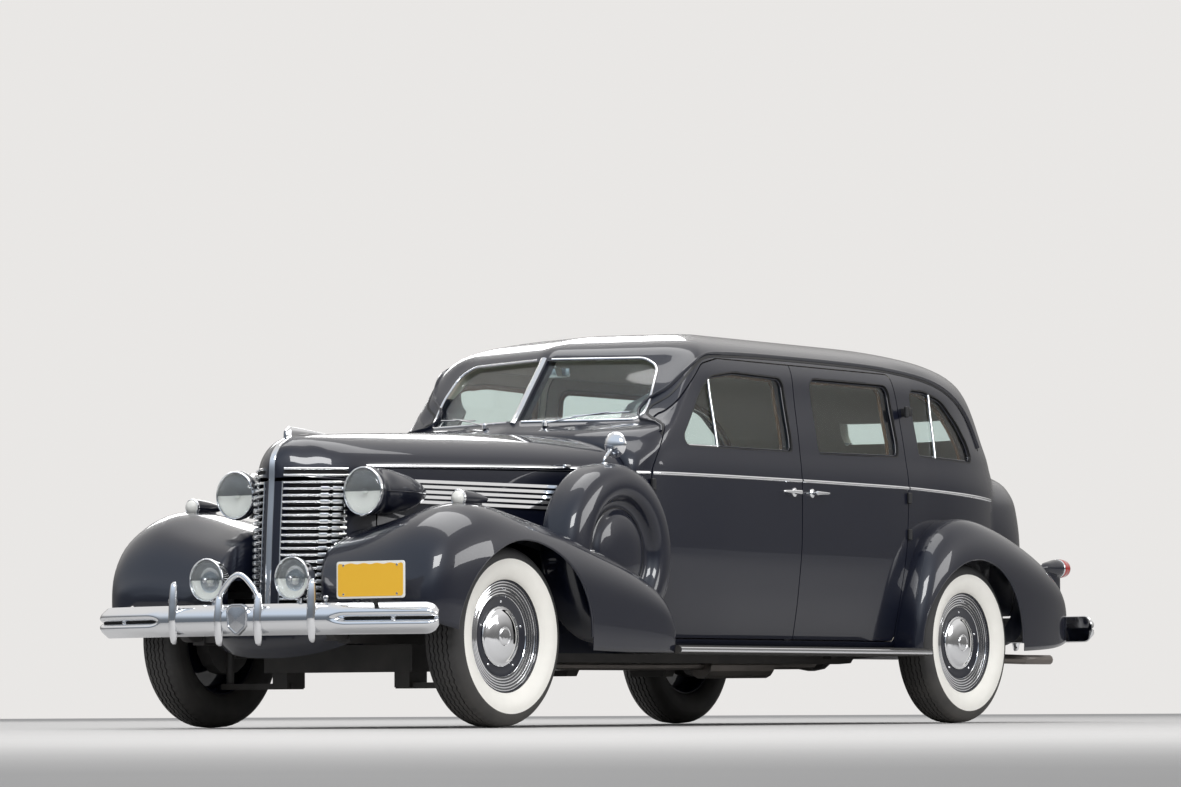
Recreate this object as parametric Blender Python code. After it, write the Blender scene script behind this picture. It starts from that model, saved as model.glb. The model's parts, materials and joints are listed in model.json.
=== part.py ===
"""Long-wheelbase four-door touring limousine of the late 1930s, built as separate solid pieces.

Axes: +Z up, the front of the car faces -Y, its left side is +X. Lengths in metres.
Shape tables hold shares: heights are shares of HEIGHT, lengthwise places are shares of
WHEELBASE counted back from the middle of the wheelbase, and widths are shares of HALF_WIDTH.
"""

import math

import bmesh
import bpy
from mathutils import Matrix, Vector

# Driving sizes
WHEELBASE = 3.556
HEIGHT = 1.79
HALF_WIDTH = 0.965
FRONT_TRACK = 1.524
REAR_TRACK = 1.588
TYRE_RADIUS = 0.378
TYRE_WIDTH = 0.2
RIM_RADIUS = 0.222

# Sheet, wall and fit sizes
GAP = 0.0004
SHUT_GAP = 0.006
WALL = 0.055
SHEET = 0.022
GLASS = 0.006
GLASS_DEPTH = 0.016
FLOOR = 0.026
WELD = 0.00002
NUDGE = 0.00007
SHORTEST_EDGE = 0.00001
VOLUME_SLACK = 0.0001

WHEEL_STEPS = 24
COVER_STEPS = 24
WELL_STEPS = 24
LAMP_STEPS = 16

PAINT = (0.012, 0.016, 0.032, 1.0)
CHROME = (0.75, 0.76, 0.78, 1.0)
RUBBER = (0.02, 0.02, 0.022, 1.0)
DARK = (0.015, 0.015, 0.016, 1.0)
CLEAR = (0.6, 0.75, 0.75, 1.0)
CLOTH = (0.35, 0.30, 0.24, 1.0)
IVORY = (0.85, 0.80, 0.66, 1.0)
PLATE = (0.80, 0.55, 0.05, 1.0)

# Cabin plan at each height: height, half width, nose, corner across, corner, side start, tail
CABIN_SHARES = (
    (0.1955, 0.7617, -0.1969, 0.6528, -0.1969, -0.1870, 0.7593),
    (0.3352, 0.7979, -0.1969, 0.6839, -0.1969, -0.1870, 0.7874),
    (0.4749, 0.8166, -0.1969, 0.7016, -0.1969, -0.1856, 0.8043),
    (0.6145, 0.8135, -0.1969, 0.6964, -0.1969, -0.1828, 0.7987),
    (0.6480, 0.8083, -0.1969, 0.6684, -0.1969, -0.1687, 0.7930),
    (0.6816, 0.8000, -0.1969, 0.5544, -0.1969, -0.1406, 0.7846),
    (0.7095, 0.7938, -0.1969, 0.2591, -0.1969, -0.1265, 0.7790),
    (0.7458, 0.7845, -0.1758, 0.6114, -0.1336, -0.1125, 0.7677),
    (0.8380, 0.7596, -0.1378, 0.5907, -0.0970, -0.0745, 0.7396),
    (0.9050, 0.7337, -0.1111, 0.5699, -0.0703, -0.0464, 0.7030),
    (0.9358, 0.6891, -0.0984, 0.5181, -0.0605, -0.0281, 0.6693),
    (0.9637, 0.5907, -0.0619, 0.4145, -0.0309, 0.0056, 0.6130),
    (0.9860, 0.4145, 0.0056, 0.2694, 0.0281, 0.0619, 0.5202),
    (0.9972, 0.1865, 0.0984, 0.1244, 0.1181, 0.1406, 0.4078),
)
# Narrowing of the side towards the cowl and the quarters: place, share of the half width
SIDE_TAPER_SHARES = ((-0.1969, 0.885), (-0.1715, 0.935), (-0.0984, 0.98), (0.0000, 1.0), (0.3375, 1.0), (0.4921, 0.97), (0.8436, 0.93))
REAR_ROUND_SHARE = 0.66
REAR_ROUND_POWER = 2.4

# Luggage bulge at each height: height, half width, tail
TRUNK_SHARES = (
    (0.2458, 0.6218, 0.8240),
    (0.3128, 0.6736, 0.8380),
    (0.4749, 0.7047, 0.8465),
    (0.5866, 0.6891, 0.8380),
    (0.6425, 0.6425, 0.8240),
    (0.6732, 0.5492, 0.8015),
    (0.6872, 0.4145, 0.7762),
)
TRUNK_START_SHARE = 0.6327
TRUNK_POWER = 2.7

# Hood along its length: place, half width at the belt, belt height, crown height
HOOD_SHARES = (
    (-0.6398, 0.0518, 0.5754, 0.6369),
    (-0.6299, 0.1036, 0.5754, 0.6581),
    (-0.6159, 0.1534, 0.5765, 0.6737),
    (-0.5990, 0.2155, 0.5838, 0.6821),
    (-0.5765, 0.2694, 0.6000, 0.6860),
    (-0.5343, 0.3295, 0.6045, 0.6927),
    (-0.4218, 0.4663, 0.6101, 0.7039),
    (-0.3093, 0.5907, 0.6134, 0.7128),
    (-0.1969, 0.6964, 0.6145, 0.7173),
)
HOOD_POWER = 2.2
HOOD_BOTTOM_SHARE = 0.4469
HOOD_SIDE_FRONT_SHARE = -0.5512
# Lower edge of the hood's top halves, place and height
HOOD_EDGE_SHARES = ((-0.6609, 0.5788), (-0.5835, 0.5933), (-0.5540, 0.6073), (-0.5287, 0.6101))
HOOD_SHEET = 0.024
NOSE_BOTTOM_SHARE = 0.2793
NOSE_FRONT_SHARE = -0.5835

# Front fender along its length: place, crest height, outer half width, inner half width, catwalk height, bottom height
FRONT_FENDER_SHARES = (
    (-0.6552, 0.3575, 0.8601, 0.3109, 0.3352, 0.2570),
    (-0.6468, 0.4134, 0.9036, 0.2798, 0.3743, 0.2402),
    (-0.6299, 0.4581, 0.9378, 0.2715, 0.4134, 0.2291),
    (-0.6018, 0.4944, 0.9637, 0.2694, 0.4413, 0.2179),
    (-0.5672, 0.5162, 0.9824, 0.2694, 0.4609, 0.2067),
    (-0.5062, 0.5112, 0.9927, 0.2694, 0.4693, 0.1955),
    (-0.4499, 0.4883, 0.9948, 0.3109, 0.4665, 0.1872),
    (-0.3937, 0.4637, 0.9917, 0.3627, 0.4525, 0.1816),
    (-0.3515, 0.4397, 0.9865, 0.4145, 0.4330, 0.1788),
    (-0.2812, 0.3939, 0.9762, 0.4663, 0.3911, 0.1765),
    (-0.2334, 0.3492, 0.9658, 0.5181, 0.3464, 0.1765),
    (-0.2081, 0.3128, 0.9585, 0.5389, 0.3101, 0.1765),
    (-0.1890, 0.2514, 0.9482, 0.5596, 0.2514, 0.1765),
)
FRONT_ARCH_SHARES = (-0.4963, 0.1237, 0.4346)

# Rear fender along its length
REAR_FENDER_SHARES = (
    (0.3841, 0.2346, 0.8756, 0.6218, 0.2346, 0.1765),
    (0.3951, 0.3575, 0.9202, 0.6218, 0.3575, 0.1765),
    (0.4134, 0.4413, 0.9513, 0.6218, 0.4413, 0.1765),
    (0.4443, 0.5028, 0.9762, 0.6218, 0.5028, 0.1777),
    (0.4893, 0.5352, 0.9907, 0.6218, 0.5352, 0.1799),
    (0.5343, 0.5318, 0.9948, 0.6218, 0.5318, 0.1844),
    (0.5906, 0.5073, 0.9907, 0.6218, 0.5073, 0.1888),
    (0.6468, 0.4749, 0.9762, 0.6010, 0.4749, 0.1927),
    (0.7030, 0.4369, 0.9482, 0.5803, 0.4369, 0.1983),
    (0.7537, 0.3939, 0.9036, 0.5596, 0.3939, 0.2095),
    (0.7874, 0.3520, 0.8497, 0.5389, 0.3520, 0.2235),
    (0.8099, 0.3017, 0.7668, 0.5389, 0.3017, 0.2458),
)
REAR_ARCH_SHARES = (0.5034, 0.1119, 0.4313)

# Door and window outlines seen from the side, place and height
FRONT_DOOR_SHARES = (
    (-0.1308, 0.2134), (0.1406, 0.2134), (0.1468, 0.6145), (0.1504, 0.9106), (-0.0112, 0.9106),
    (-0.0492, 0.8939), (-0.1308, 0.7430), (-0.1673, 0.6179), (-0.1575, 0.4190),
)
REAR_DOOR_SHARES = (
    (0.1406, 0.2134), (0.3796, 0.2134), (0.3858, 0.3128), (0.3979, 0.4749), (0.4049, 0.6257), (0.3979, 0.8380),
    (0.3895, 0.9106), (0.1504, 0.9106), (0.1468, 0.6145),
)
FRONT_WINDOW_SHARES = (
    (-0.1139, 0.6849), (0.1316, 0.6860), (0.1322, 0.7263), (0.1280, 0.8715), (0.1223, 0.8804), (0.0169, 0.8793),
    (-0.0337, 0.8659), (-0.0506, 0.8436),
)
REAR_WINDOW_SHARES = (
    (0.1954, 0.6872), (0.3839, 0.6927), (0.3881, 0.7039), (0.3796, 0.8715), (0.3740, 0.8827), (0.1912, 0.8816),
    (0.1870, 0.8715), (0.1898, 0.6983),
)
QUARTER_WINDOW_SHARES = (
    (0.4429, 0.6983), (0.5906, 0.6927), (0.5849, 0.7430), (0.5624, 0.7933), (0.5202, 0.8547), (0.4724, 0.8743),
    (0.4331, 0.8771), (0.4387, 0.7151),
)
# Windscreen pane and rear window seen from the front, across and height
SCREEN_SHARES = ((0.0207, 0.7553), (0.5803, 0.7542), (0.6010, 0.7654), (0.5699, 0.8715), (0.5389, 0.8966), (0.4870, 0.9061), (0.0207, 0.9095))
BACKLIGHT_SHARES = ((0.2902, 0.7542), (0.3316, 0.7709), (0.3109, 0.8492), (0.2694, 0.8659))
TRUNK_LID_SHARES = ((0.4870, 0.3128), (0.5389, 0.3408), (0.5389, 0.5698), (0.4870, 0.6257), (0.4145, 0.6425))

# Line where the doors meet, and the pillar behind it
PILLAR_SHARES = ((0.1406, 0.2039), (0.1468, 0.6145), (0.1504, 0.9190))
PILLAR_HALF = 0.022
DOOR_SKIN = 0.022

# Hinges of the doors and the lid
LID_HINGE_RADIUS = 0.01
LID_HINGE_HALF = 0.04
LID_CHEEK_SHARES = ((-8.0, 0.6), (-4.0, -0.6), (0.8, -0.8), (1.0, 0.0), (0.8, 0.8), (-8.0, 3.2))
LID_STRAP_SHARES = ((-4.0, -5.5), (-0.4, -5.0), (0.8, -1.0), (0.6, 0.4), (-0.6, 0.4), (-2.0, -1.9), (-4.0, -2.6))
HINGE_HEIGHT_SHARES = (0.4916, 0.5866)
HINGE_HALF_HEIGHT = 0.026
HINGE_RADIUS = 0.014
HINGE_STRAP = 0.05
HINGE_SLOT = 0.026

# Underbody
REAR_FLOOR_HEIGHT_SHARE = 0.2905
REAR_FLOOR_START_SHARE = 0.4049
WELL_INNER_SHARE = 0.6632
WELL_CLEARANCE = 0.035
RAIL_ACROSS_SHARE = 0.4041
RAIL_WIDTH = 0.06
RAIL_HEIGHT = 0.07
RAIL_SHARES = ((-0.6468, 0.2151), (-0.5765, 0.2151), (-0.4359, 0.2151), (-0.3375, 0.1754), (0.3881, 0.1754))
KICK_UP_SHARES = ((0.3881, 0.1754), (0.4106, 0.1754), (0.4612, 0.2626), (0.5765, 0.2626), (0.6468, 0.2458), (0.8043, 0.2458))
DIP_MEMBER_SHARES = ((-0.4041, 0.1816), (-0.1347, 0.1816), (-0.0829, 0.1313), (0.0829, 0.1313), (0.1347, 0.1816), (0.4041, 0.1816))
DIP_MEMBER_WIDTH = 0.08
DIP_MEMBER_HEIGHT = 0.03
CROSS_MEMBER_WIDTH = 0.04
CROSS_MEMBER_HEIGHT = 0.05
CROSS_MEMBER_INSET = 0.03
DIP_MEMBER_PLACE_SHARES = (-0.0844, 0.1265, 0.3093)
TORQUE_TUBE_SHARES = ((0.4837, 0.1955), (0.3937, 0.1698), (-0.1181, 0.1676))
TORQUE_TUBE_RADIUS = 0.034
SPRING_SHARES = ((0.3487, 0.1754), (0.4218, 0.1777), (0.5000, 0.1855), (0.5793, 0.1955), (0.6468, 0.2402))
EXHAUST_SHARES = (
    (0.2280, -0.2109, 0.1508), (0.2280, 0.0000, 0.1508), (0.2280, 0.4049, 0.1564), (0.2694, 0.4584, 0.2525),
    (0.3005, 0.5568, 0.2525), (0.3005, 0.5962, 0.2123), (0.3316, 0.6327, 0.1816), (0.4767, 0.6974, 0.1760),
    (0.6218, 0.7762, 0.1709), (0.6425, 0.8352, 0.1709),
)
EXHAUST_RADIUS = 0.024
MUFFLER_SHARES = ((0.2280, 0.1462, 0.1520), (0.2280, 0.2925, 0.1536))
MUFFLER_RADIUS = 0.062

# Wheels: radius and place across, as shares of the tyre radius
TYRE_PROFILE_SHARES = (
    (0.6135, -0.164), (0.740, -0.256), (0.900, -0.249), (0.985, -0.145), (1.0, 0.0), (0.985, 0.145), (0.900, 0.249),
    (0.740, 0.256), (0.6135, 0.164),
)
WHEEL_PROFILE_SHARES = (
    (0.0, 0.164), (0.19, 0.14), (0.318, 0.045), (0.435, 0.042), (0.475, 0.09), (0.59, 0.125), (0.6125, 0.160),
    (0.6125, -0.160), (0.57, -0.160), (0.51, -0.03), (0.16, -0.034), (0.16, -0.08), (0.092, -0.08), (0.092, -0.022),
    (0.0, -0.022),
)
DRUM_PROFILE_SHARES = ((0.0, -0.265), (0.39, -0.265), (0.39, -0.095), (0.089, -0.095), (0.089, -0.023), (0.0, -0.023))
COVER_COLUMNS = (
    (0.0, 0.9326), (0.26, 0.9295), (0.46, 0.9181), (0.58, 0.9036), (0.61, 0.9202), (0.66, 0.9285), (0.79, 0.9280),
    (0.90, 0.9171), (0.968, 0.8933), (1.0, 0.8497), (1.0, 0.7772), (0.975, 0.7409), (0.93, 0.7254), (0.0, 0.7254),
)
COVER_RADIUS = 0.385
COVER_SPOT_SHARES = (-0.2798, 0.4134)
MIRROR_RADIUS = 0.05
MIRROR_SPOT_SHARES = (0.8601, -0.2686, 0.6732)
COLUMN_TILT = math.radians(24)
STEERING_RADIUS = 0.215
KINGPIN_ACROSS = 0.655
KINGPIN_RADIUS = 0.017
KINGPIN_LOW, KINGPIN_HIGH = 0.1904, 0.5546

# Grille: height, spine place, corner across, corner place, flank across, flank place
GRILLE_SHARES = (
    (0.3017, -0.6502, 0.1969, -0.6088, 0.2197, -0.5906),
    (0.4469, -0.6468, 0.2073, -0.6046, 0.2332, -0.5883),
    (0.5642, -0.6417, 0.2114, -0.6018, 0.2383, -0.5872),
)
GRILLE_BARS = 17
GRILLE_BAR_HEIGHT = 0.013
GRILLE_BAR_DEPTH = 0.02
GRILLE_CURVE_POWER = 1.35
SPINE_WIDTH = 0.05
SPINE_DEPTH = 0.05

# Lamps: radius in metres, place back from the front in metres
HEADLAMP_SPOT_SHARES = (0.3575, -0.5951, 0.5492)
HEADLAMP_RADIUS = 0.099
HEADLAMP_PROFILE_SHARES = (
    (0.0, -0.29), (0.55, -0.23), (0.87, -0.04), (1.0, 0.14), (1.0, 0.45), (0.97, 1.1), (0.87, 2.0), (0.66, 3.0),
    (0.36, 3.9), (0.0, 4.3),
)
FOG_LAMP_SPOT_SHARES = (0.2373, -0.6876, 0.3447)
FOG_LAMP_RADIUS = 0.088
FOG_LAMP_PROFILE_SHARES = ((0.0, -0.25), (0.6, -0.17), (0.93, 0.0), (1.0, 0.2), (0.92, 0.55), (0.6, 0.95), (0.0, 1.15))
PARK_LAMP_SPOT_SHARES = (0.7461, -0.5498, 0.5296)
PARK_LAMP_RADIUS = 0.034
PARK_LAMP_PROFILE_SHARES = ((0.0, -0.6), (0.7, -0.4), (1.0, 0.1), (1.0, 1.2), (0.75, 3.2), (0.4, 5.0), (0.0, 6.0))
TAIL_LAMP_SPOT_SHARES = (0.8187, 0.7930, 0.4179)
TAIL_LAMP_RADIUS = 0.044
TAIL_LAMP_PROFILE_SHARES = ((0.0, 0.7), (0.6, 0.5), (0.95, 0.1), (1.0, -0.5), (0.9, -2.0), (0.6, -3.6), (0.0, -5.0))

# Bumpers
BUMPER_HALF_SHARE = 0.9306
BUMPER_BOW = 0.16
BUMPER_BOW_POWER = 2.2
FRONT_BUMPER_SHARES = (-0.6974, 0.2503)
REAR_BUMPER_SHARES = (0.8675, 0.2542)
BUMPER_HEIGHT = 0.13
BUMPER_SECTION_SHARES = (
    (0.0, -0.5), (0.16, -0.44), (0.25, -0.2), (0.27, 0.0), (0.25, 0.2), (0.16, 0.44), (0.0, 0.5), (-0.06, 0.36),
    (-0.06, -0.36),
)
MEDALLION_RADIUS = 0.05
OUTER_GUARD_SHARE = 0.3834
INNER_GUARD_SHARE = 0.1088
GUARD_WIDTH = 0.034
GUARD_DEPTH = 0.05
OUTER_GUARD_RANGE_SHARES = (0.1955, 0.3419)
REAR_GUARD_RANGE_SHARES = (0.1955, 0.3106)
INNER_GUARD_RANGE_SHARES = (0.1899, 0.3128)
HOOP_PEAK_SHARE = 0.3492
BRACKET_WIDTH = 0.05


def along(share):
    return share * WHEELBASE


def up(share):
    return share * HEIGHT


def across(share):
    return share * HALF_WIDTH


def side_outline(shares):
    return [(along(y), up(z)) for y, z in shares]


def front_outline(shares):
    return [(across(x), up(z)) for x, z in shares]


def blend(low, high, share):
    return low + (high - low) * share


def table_value(table, key, column):
    """Straight-line reading of one column of a table whose first column rises."""
    if key <= table[0][0]:
        return table[0][column]
    for low, high in zip(table, table[1:]):
        if key <= high[0]:
            return blend(low[column], high[column], (key - low[0]) / (high[0] - low[0]))
    return table[-1][column]


# Mesh tools


def mesh_of(points, faces):
    mesh = bpy.data.meshes.new("shape")
    mesh.from_pydata([tuple(point) for point in points], [], faces)
    work = bmesh.new()
    work.from_mesh(mesh)
    bmesh.ops.remove_doubles(work, verts=work.verts, dist=WELD)
    bmesh.ops.triangulate(work, faces=work.faces)
    bmesh.ops.recalc_face_normals(work, faces=work.faces)
    work.to_mesh(mesh)
    work.free()
    return mesh


def loft(rings):
    """Closed solid through rings that all have the same number of points."""
    count = len(rings[0])
    points = [point for ring in rings for point in ring]
    faces = [list(range(count)), list(range(len(points) - count, len(points)))]
    for row in range(len(rings) - 1):
        for i in range(count):
            j = (i + 1) % count
            first, second = row * count, (row + 1) * count
            faces.append([first + i, first + j, second + j, second + i])
    return mesh_of(points, faces)


def turned(profile, steps, closed=False):
    """Solid of revolution about the X axis. The profile lists (radius, along X)."""
    points, faces = [], []
    count = len(profile)
    for step in range(steps):
        angle = 2 * math.pi * step / steps
        points += [(x, radius * math.cos(angle), radius * math.sin(angle)) for radius, x in profile]
    for step in range(steps):
        here, there = step * count, (step + 1) % steps * count
        for i in range(count if closed else count - 1):
            j = (i + 1) % count
            faces.append([here + i, here + j, there + j, there + i])
    return mesh_of(points, faces)


def prism(outline, low, high, axis):
    """Solid with the given outline, from low to high along X or Y."""
    if axis == "X":
        rings = [[(x, a, b) for a, b in outline] for x in (low, high)]
    else:
        rings = [[(a, y, b) for a, b in outline] for y in (low, high)]
    return loft(rings)


def block(x_range, y_range, z_range):
    (x0, x1), (y0, y1), (z0, z1) = x_range, y_range, z_range
    ring = [(x0, y0), (x1, y0), (x1, y1), (x0, y1)]
    return loft([[(x, y, z) for x, y in ring] for z in (z0, z1)])


def swept(path, section, closed=False):
    """Solid along a path. The section lists (sideways, upwards) offsets."""
    rings = []
    count = len(path)
    path = [Vector(point) for point in path]
    for i, point in enumerate(path):
        before = path[i - 1] if i or closed else point
        after = path[(i + 1) % count] if i + 1 < count or closed else point
        ahead = (after - before).normalized()
        level = Vector((0, 0, 1)) if abs(ahead.z) < math.cos(math.pi / 8) else Vector((0, 1, 0))
        sideways = ahead.cross(level).normalized()
        upwards = sideways.cross(ahead)
        rings.append([point + sideways * a + upwards * b for a, b in section])
    if not closed:
        return loft(rings)
    size = len(section)
    points = [point for ring in rings for point in ring]
    faces = []
    for row in range(count):
        here, there = row * size, (row + 1) % count * size
        faces += [[here + i, here + (i + 1) % size, there + (i + 1) % size, there + i] for i in range(size)]
    return mesh_of(points, faces)


def round_section(radius, steps=8):
    return [(radius * math.cos(2 * math.pi * i / steps), radius * math.sin(2 * math.pi * i / steps)) for i in range(steps)]


def box_section(width, height):
    return [(-width / 2, -height / 2), (width / 2, -height / 2), (width / 2, height / 2), (-width / 2, height / 2)]


def moved(mesh, offset=(0, 0, 0), turn=None):
    copy = mesh.copy()
    copy.transform(Matrix.Translation(offset) @ (turn or Matrix.Identity(4)))
    return copy


def mirrored(mesh):
    copy = mesh.copy()
    copy.transform(Matrix.Scale(-1, 4, (1, 0, 0)))
    copy.flip_normals()
    return copy


def grown(mesh, distance):
    """Copy with every face moved out by the distance, or in when it is negative."""
    work = bmesh.new()
    work.from_mesh(mesh)
    work.normal_update()
    shifts = [(vertex, vertex.normal * vertex.calc_shell_factor() * distance) for vertex in work.verts]
    for vertex, shift in shifts:
        vertex.co += shift
    copy = mesh.copy()
    work.to_mesh(copy)
    work.free()
    return copy


def volume_of(mesh):
    work = bmesh.new()
    work.from_mesh(mesh)
    volume = work.calc_volume(signed=True)
    work.free()
    return volume


def plausible(kind, first, second, result):
    """Whether a combined volume lies between the least and the most that the two shapes allow."""
    one, two, got = volume_of(first), volume_of(second), volume_of(result)
    least = {"UNION": max(one, two), "DIFFERENCE": one - two, "INTERSECT": 0}[kind]
    most = {"UNION": one + two, "DIFFERENCE": one, "INTERSECT": min(one, two)}[kind]
    slack = (one + two) * VOLUME_SLACK
    return is_closed(result) and bool(result.polygons) and least - slack <= got <= most + slack


def combined(kind, first, second):
    """Joins, cuts or intersects two shapes. A result that can't be right is redone with the second one nudged."""
    for attempt in range(6):
        nudged = moved(second, (NUDGE * attempt, NUDGE * attempt / 2, -NUDGE * attempt / 3))
        result = tidied(combined_once(kind, first, nudged, attempt % 2 == 1))
        if plausible(kind, first, second, result):
            break
    return result


def tidied(mesh):
    """The mesh without the hair-thin edges that a cut leaves."""
    work = bmesh.new()
    work.from_mesh(mesh)
    bmesh.ops.dissolve_degenerate(work, dist=SHORTEST_EDGE, edges=work.edges)
    bmesh.ops.triangulate(work, faces=work.faces)
    work.to_mesh(mesh)
    work.free()
    return mesh


def is_closed(mesh):
    work = bmesh.new()
    work.from_mesh(mesh)
    closed = all(len(edge.link_faces) == 2 for edge in work.edges)
    work.free()
    return closed


def combined_once(kind, first, second, tolerant=False):
    holders = [bpy.data.objects.new("holder", mesh) for mesh in (first, second)]
    for holder in holders:
        bpy.context.scene.collection.objects.link(holder)
    change = holders[0].modifiers.new("combine", "BOOLEAN")
    change.operation = kind
    change.solver = "EXACT"
    change.use_hole_tolerant = tolerant
    change.object = holders[1]
    graph = bpy.context.evaluated_depsgraph_get()
    result = bpy.data.meshes.new_from_object(holders[0].evaluated_get(graph))
    for holder in holders:
        bpy.data.objects.remove(holder)
    return result


def joined(*meshes):
    result = meshes[0]
    for mesh in meshes[1:]:
        result = combined("UNION", result, mesh)
    return result


def less(mesh, *cutters):
    for cutter in cutters:
        mesh = combined("DIFFERENCE", mesh, cutter)
    return mesh


def within(first, second):
    return combined("INTERSECT", first, second)


def both(mesh):
    """One mesh that holds a piece and its mirror image, for use as a cutter."""
    work = bmesh.new()
    work.from_mesh(mesh)
    work.from_mesh(mirrored(mesh))
    pair = mesh.copy()
    work.to_mesh(pair)
    work.free()
    return pair


def material_of(name, colour):
    material = bpy.data.materials.new(name)
    material.use_nodes = True
    shader = material.node_tree.nodes["Principled BSDF"]
    shader.inputs["Base Color"].default_value = colour
    shader.inputs["Roughness"].default_value = 0.2 if colour in (PAINT, CHROME, CLEAR) else 0.7
    shader.inputs["Metallic"].default_value = 1.0 if colour == CHROME else 0.0
    return material


def add(name, mesh, colour, pivot=(0, 0, 0)):
    """Puts a piece in the scene with its origin on the pivot, which is where it turns."""
    mesh = moved(mesh, [-value for value in pivot])
    mesh.materials.clear()
    mesh.materials.append(material_of(name, colour))
    piece = bpy.data.objects.new(name, mesh)
    piece.location = pivot
    bpy.context.scene.collection.objects.link(piece)
    return piece


def add_pair(name, mesh, colour, pivot=(0, 0, 0)):
    add(name + "_left", mesh, colour, pivot)
    add(name + "_right", mirrored(mesh), colour, (-pivot[0], pivot[1], pivot[2]))


def resized(outline, distance):
    """Outline moved in by the distance on every side, or out when it is negative."""
    count = len(outline)
    area = sum(a[0] * b[1] - b[0] * a[1] for a, b in zip(outline, outline[1:] + outline[:1]))
    turn = 1 if area > 0 else -1
    result = []
    for i in range(count):
        before, here, after = (Vector(outline[k % count]) for k in (i - 1, i, i + 1))
        into, out = (here - before).normalized(), (after - here).normalized()
        first = Vector((-into.y, into.x)) * turn
        second = Vector((-out.y, out.x)) * turn
        middle = first + second
        result.append(tuple(here + middle * (distance * 2 / middle.length_squared)))
    return result


# Body forms


def side_taper(y):
    return table_value([(along(place), share) for place, share in SIDE_TAPER_SHARES], y, 1)


def cabin_ring(row):
    z, wide, nose, corner_x, corner_y, start, tail = row
    z, wide, corner_x = up(z), across(wide), across(corner_x)
    nose, corner_y, start, tail = along(nose), along(corner_y), along(start), along(tail)
    half = [(corner_x * share, blend(nose, corner_y, share)) for share in (0, 0.5, 1)]
    start_x = wide * side_taper(start)
    bulge_x, bulge_y = blend(corner_x, start_x, 0.62), blend(corner_y, start, 0.42)
    half.append((bulge_x, bulge_y))
    round_start = blend(start, tail, REAR_ROUND_SHARE)
    for share in (0, 0.1, 0.28, 0.52, 0.78, 1):
        y = blend(start, round_start, share)
        half.append((wide * side_taper(y), y))
    for share in (0.3, 0.55, 0.76, 0.9, 0.97):
        y = blend(round_start, tail, share)
        half.append((wide * side_taper(round_start) * (1 - share**REAR_ROUND_POWER) ** (1 / REAR_ROUND_POWER), y))
    half.append((0, tail))
    other = [(-x, y) for x, y in reversed(half[1:-1])]
    return [(x, y, z) for x, y in half + other]


def cabin_form():
    return loft([cabin_ring(row) for row in CABIN_SHARES])


def trunk_form():
    rings = []
    start = along(TRUNK_START_SHARE)
    for z, wide, tail in TRUNK_SHARES:
        half = [(across(wide), start)]
        for share in (0.35, 0.62, 0.82, 0.94):
            wide_here = across(wide) * (1 - share**TRUNK_POWER) ** (1 / TRUNK_POWER)
            half.append((wide_here, blend(start, along(tail), share)))
        half.append((0, along(tail)))
        other = [(-x, y) for x, y in reversed(half[:-1])]
        rings.append([(x, y, up(z)) for x, y in half + other])
    return loft(rings)


def hood_ring(row, bottom):
    y, wide, belt, crown = along(row[0]), across(row[1]), up(row[2]), up(row[3])
    half = [(wide, bottom), (wide, belt)]
    for angle in (14, 28, 42, 56, 70):
        a = math.radians(angle)
        rise = (crown - belt) * math.sin(a) ** (2 / HOOD_POWER)
        half.append((wide * math.cos(a) ** (2 / HOOD_POWER), belt + rise))
    other = [(-x, z) for x, z in reversed(half)]
    return [(x, y, z) for x, z in half + [(0, crown)] + other]


def hood_form(bottom):
    rings = [hood_ring(row, bottom) for row in HOOD_SHARES]
    return loft(rings)


def fender_ring(row, inset):
    y, crest, outer, inner, catwalk, bottom = row
    y, crest, outer = along(y), up(crest) - inset, across(outer) - inset
    inner, catwalk, bottom = across(inner) + inset, up(catwalk) - inset, up(bottom)
    if inset:
        bottom -= WALL
    wide, high = outer - inner, crest - bottom
    shape = [(0.0, 0.0, 0.0), (0.0, 1.0, 1.0), (0.3, 1.0, 0.55), (0.52, 1.0, 0.15), (0.68, 1.0, 0.0)]
    points = []
    for x_share, z_share, catwalk_share in shape:
        z = bottom + z_share * (blend(crest, catwalk, catwalk_share) - bottom)
        points.append((inner + wide * x_share, y, z))
    for x_share, z_share in ((0.82, 0.955), (0.92, 0.86), (0.98, 0.7), (1.0, 0.48), (0.99, 0.0)):
        points.append((inner + wide * x_share, y, bottom + high * z_share))
    return points


def fender_form(table, inset):
    rings = [fender_ring(row, inset) for row in table]
    if inset:
        for ring, sign in ((rings[0], 1), (rings[-1], -1)):
            ring[:] = [(x, y + sign * inset, z) for x, y, z in ring]
    return loft(rings)


def arch_form(shares, low, high):
    """Cutter for a wheel opening: an arch that runs on down to the ground."""
    centre, half_length, top = along(shares[0]), along(shares[1]), up(shares[2])
    axle = TYRE_RADIUS
    outline = [(centre - half_length, -WALL), (centre + half_length, -WALL)]
    for step in range(13):
        angle = math.pi * step / 12
        outline.append((centre + half_length * math.cos(angle), axle + (top - axle) * math.sin(angle)))
    return prism(outline, low, high, "X")


# Pieces of the body


def rear_floor_cut(raise_by):
    wide = across(WELL_INNER_SHARE) + SHUT_GAP
    start = along(REAR_FLOOR_START_SHARE)
    return block((-wide - raise_by, wide + raise_by), (start - raise_by, WHEELBASE), (0, up(REAR_FLOOR_HEIGHT_SHARE) + raise_by))


def well_cut(extra):
    radius = TYRE_RADIUS + WELL_CLEARANCE + extra
    inner = across(WELL_INNER_SHARE) - extra
    profile = [(0, inner), (radius, inner), (radius, HALF_WIDTH), (0, HALF_WIDTH)]
    return both(moved(turned(profile, WELL_STEPS), (0, WHEELBASE / 2, TYRE_RADIUS)))


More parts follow.
